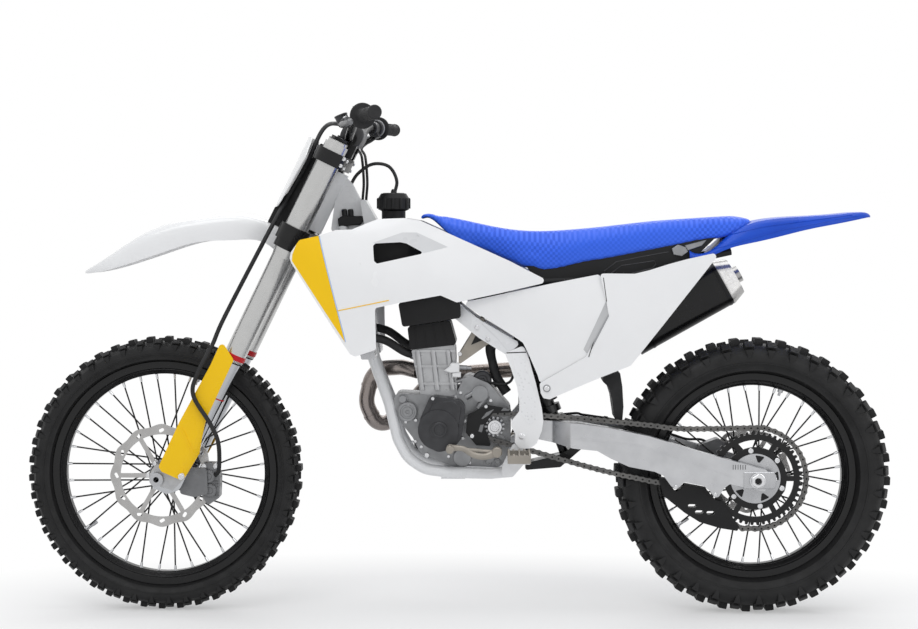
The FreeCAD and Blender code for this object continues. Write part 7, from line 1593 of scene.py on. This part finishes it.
SKIN_TOP = ((526.0, 266.0), (560.0, 265.0), (598.6, 256.0), (634.0, 249.5), (668.0, 243.0), (692.0, 238.0),
            (721.0, 232.0))
SKIN_LOW = ((540.0, 285.5), (575.0, 281.0), (601.4, 277.5), (636.5, 277.5), (668.0, 267.0), (682.0, 261.5),
            (696.0, 256.0))
SKIN_LEAST, SKIN_MOST, SKIN_BELOW_SEAT, SKIN_THICKNESS = 68.0, 92.0, 13.0, 3.0
RECESS_LINES = (((604.2, 270.8), (616.0, 261.8), (640.0, 256.8), (668.0, 251.8)),
                ((611.0, 273.2), (621.0, 265.5), (654.0, 260.6), (655.5, 264.0), (652.0, 268.0),
                 (632.0, 273.0)))
TAIL_CASTINGS = ((((671.0, 248.6), (677.0, 244.6), (684.5, 247.0), (687.0, 251.5), (681.0, 256.0),
                   (673.0, 254.5)), 9.0),
                 (((684.0, 245.2), (706.0, 239.6), (701.0, 245.6), (687.0, 250.4)), 2.0))


def skin_depths():
    """How far out the skin stands at each of its points, a little inside the seat's side."""
    sides = [seen(px, py, "seat")[0].y for px, py in SKIN_TOP]
    depths = [min(SKIN_MOST, max(SKIN_LEAST, y - SKIN_BELOW_SEAT)) for y in sides]
    depths[0], depths[6] = depths[1], depths[5]
    return depths


def skin_place(point, y, side):
    """A place on the skin, from a point of the picture's frame."""
    (x, z), = traced([point], "seat", y)
    return Vector((x, side * y, z))


def seat_skin():
    skin, lines, casting = forms(3)
    depths = skin_depths()
    line_depth = sum(depths[2:5]) / 3 + 0.6
    casting_depth = depths[4] - 2.0
    for side in SIDES:
        turned_round = slice(None, None, int(side))
        rows = []
        for top, low, y in zip(SKIN_TOP, SKIN_LOW, depths):
            inner = y - SKIN_THICKNESS
            corners = [skin_place(top, y, side), skin_place(low, y, side), skin_place(low, inner, side),
                       skin_place(top, inner, side)]
            rows.append([skin.point(corner) for corner in corners[turned_round]])
        skin.loft(rows)
        for path in RECESS_LINES:
            # Raised lines along the hand recess, in a grey a little lighter than the skin: partly a painted
            # highlight on its edges
            lines.pipe([skin_place(point, line_depth, side) for point in path], 1.3, 8)
        for path, thick in TAIL_CASTINGS:
            places = [skin_place(point, casting_depth, side) for point in path[turned_round]]
            casting.slab([(-side * place.x, place.z) for place in places], LEFTWARD * (side * casting_depth),
                         (-side, 0, 0), UPWARD, thick, 1.0)
    skin.piece("seat_skin", "chassis", "black_plastic")
    lines.piece("seat_skin_highlight_lines", "chassis", "dark_cast")
    casting.piece("tail_casting", "chassis", "cast")


seat_skin()


# Camera, light and floor

camera_data = bpy.data.cameras.new("camera")
camera = bpy.data.objects.new("camera", camera_data)
bpy.context.scene.collection.objects.link(camera)
bpy.context.scene.camera = camera
camera.location = at(*CAMERA_PLACE)
yaw = math.atan((FRAME_WIDTH / 2 - PRINCIPAL[0]) / FOCAL_PIXELS)
pitch = math.atan((FRAME_HEIGHT / 2 - PRINCIPAL[1]) / FOCAL_PIXELS)
camera.rotation_euler = (math.pi / 2 - pitch, 0.0, math.pi - yaw)
camera_data.sensor_width = SENSOR
camera_data.lens = FOCAL_PIXELS * SENSOR / FRAME_WIDTH
camera_data.clip_end = 100.0


def area_light(name, place, target, size, power):
    data = bpy.data.lights.new(name, "AREA")
    data.shape = "RECTANGLE"
    data.size, data.size_y = size
    data.energy = power
    light = bpy.data.objects.new(name, data)
    bpy.context.scene.collection.objects.link(light)
    light.location = place
    light.rotation_euler = (Vector(target) - Vector(place)).to_track_quat("-Z", "Y").to_euler()


area_light("key", (1.4, 3.0, 3.2), (0.2, 0, -0.3), (3.0, 1.8), 46.0)
area_light("top", (-0.2, 0.1, 3.4), (-0.2, 0, -0.4), (4.4, 2.4), 52.0)
area_light("fill", (-2.8, 3.2, 0.9), (-0.2, 0, -0.4), (2.2, 2.2), 22.0)
area_light("rim", (0.0, -3.2, 2.0), (0.0, 0, -0.3), (4.0, 1.2), 30.0)


def seen_by_eye(tree):
    """1 for camera, glossy and transmission rays, and 0 for the light that falls on things."""
    rays = tree.nodes.new("ShaderNodeLightPath").outputs
    total = rays["Is Camera Ray"]
    for name in ("Is Glossy Ray", "Is Transmission Ray"):
        total = wired(tree, "Math", {0: total, 1: rays[name]}, operation="MAXIMUM")
    return total


def make_world():
    """A soft light on the bike, in front of plain white."""
    world = bpy.data.worlds.new("studio")
    bpy.context.scene.world = world
    world.use_nodes = True
    tree = world.node_tree
    lit = tree.nodes["Background"]
    lit.inputs["Color"].default_value = (0.95, 0.97, 1.0, 1.0)
    lit.inputs["Strength"].default_value = 0.50
    plain = wired(tree, "Background", {"Color": (1.0, 1.0, 1.0, 1.0), "Strength": 1.0})
    mixed = wired(tree, "MixShader", {0: seen_by_eye(tree), 1: lit.outputs[0], 2: plain})
    tree.links.new(mixed, tree.nodes["World Output"].inputs["Surface"])


FLOOR_HALF = 14.0
FLOOR_MIDDLE = (0.2, 0.0, 0.0)
FLOOR_STRETCH = (0.62, 1.25, 0.0)
SHADOW_SHARE = 0.62


def floor_material():
    """A pale floor: its shadow shows near the bike, and it fades to white further out."""
    s = Surface("floor", (0.90, 0.90, 0.905), 0.8)
    moved = tuple(-m * k for m, k in zip(FLOOR_MIDDLE, FLOOR_STRETCH))
    place = wired(s.tree, "Mapping", {"Location": moved, "Scale": FLOOR_STRETCH, "Vector": s.place})
    reach = wired(s.tree, "VectorMath", {0: place}, "Value", operation="LENGTH")
    near = s.ranged(reach, SHADOW_SHARE, 0.0, 0.55, 1.0)
    share = s.math("MAXIMUM", near, s.math("SUBTRACT", 1.0, seen_by_eye(s.tree)))
    white = wired(s.tree, "Emission", {"Strength": 1.0})
    mixed = wired(s.tree, "MixShader", {0: share, 1: white, 2: s.shader.outputs[0]})
    s.tree.links.new(mixed, s.tree.nodes["Material Output"].inputs["Surface"])
    s.bump(s.noise(30.0), 0.05, 0.1)
    return s.material


def make_floor():
    mesh = bpy.data.meshes.new("floor")
    low = -SEAT_HEIGHT * MM
    corners = ((-1, -1), (1, -1), (1, 1), (-1, 1))
    mesh.from_pydata([(x * FLOOR_HALF, y * FLOOR_HALF, low) for x, y in corners], [], [(0, 1, 2, 3)])
    mesh.materials.append(floor_material())
    floor = bpy.data.objects.new("floor", mesh)
    bpy.context.scene.collection.objects.link(floor)


make_world()
make_floor()
bpy.context.scene.view_settings.view_transform = "Standard"
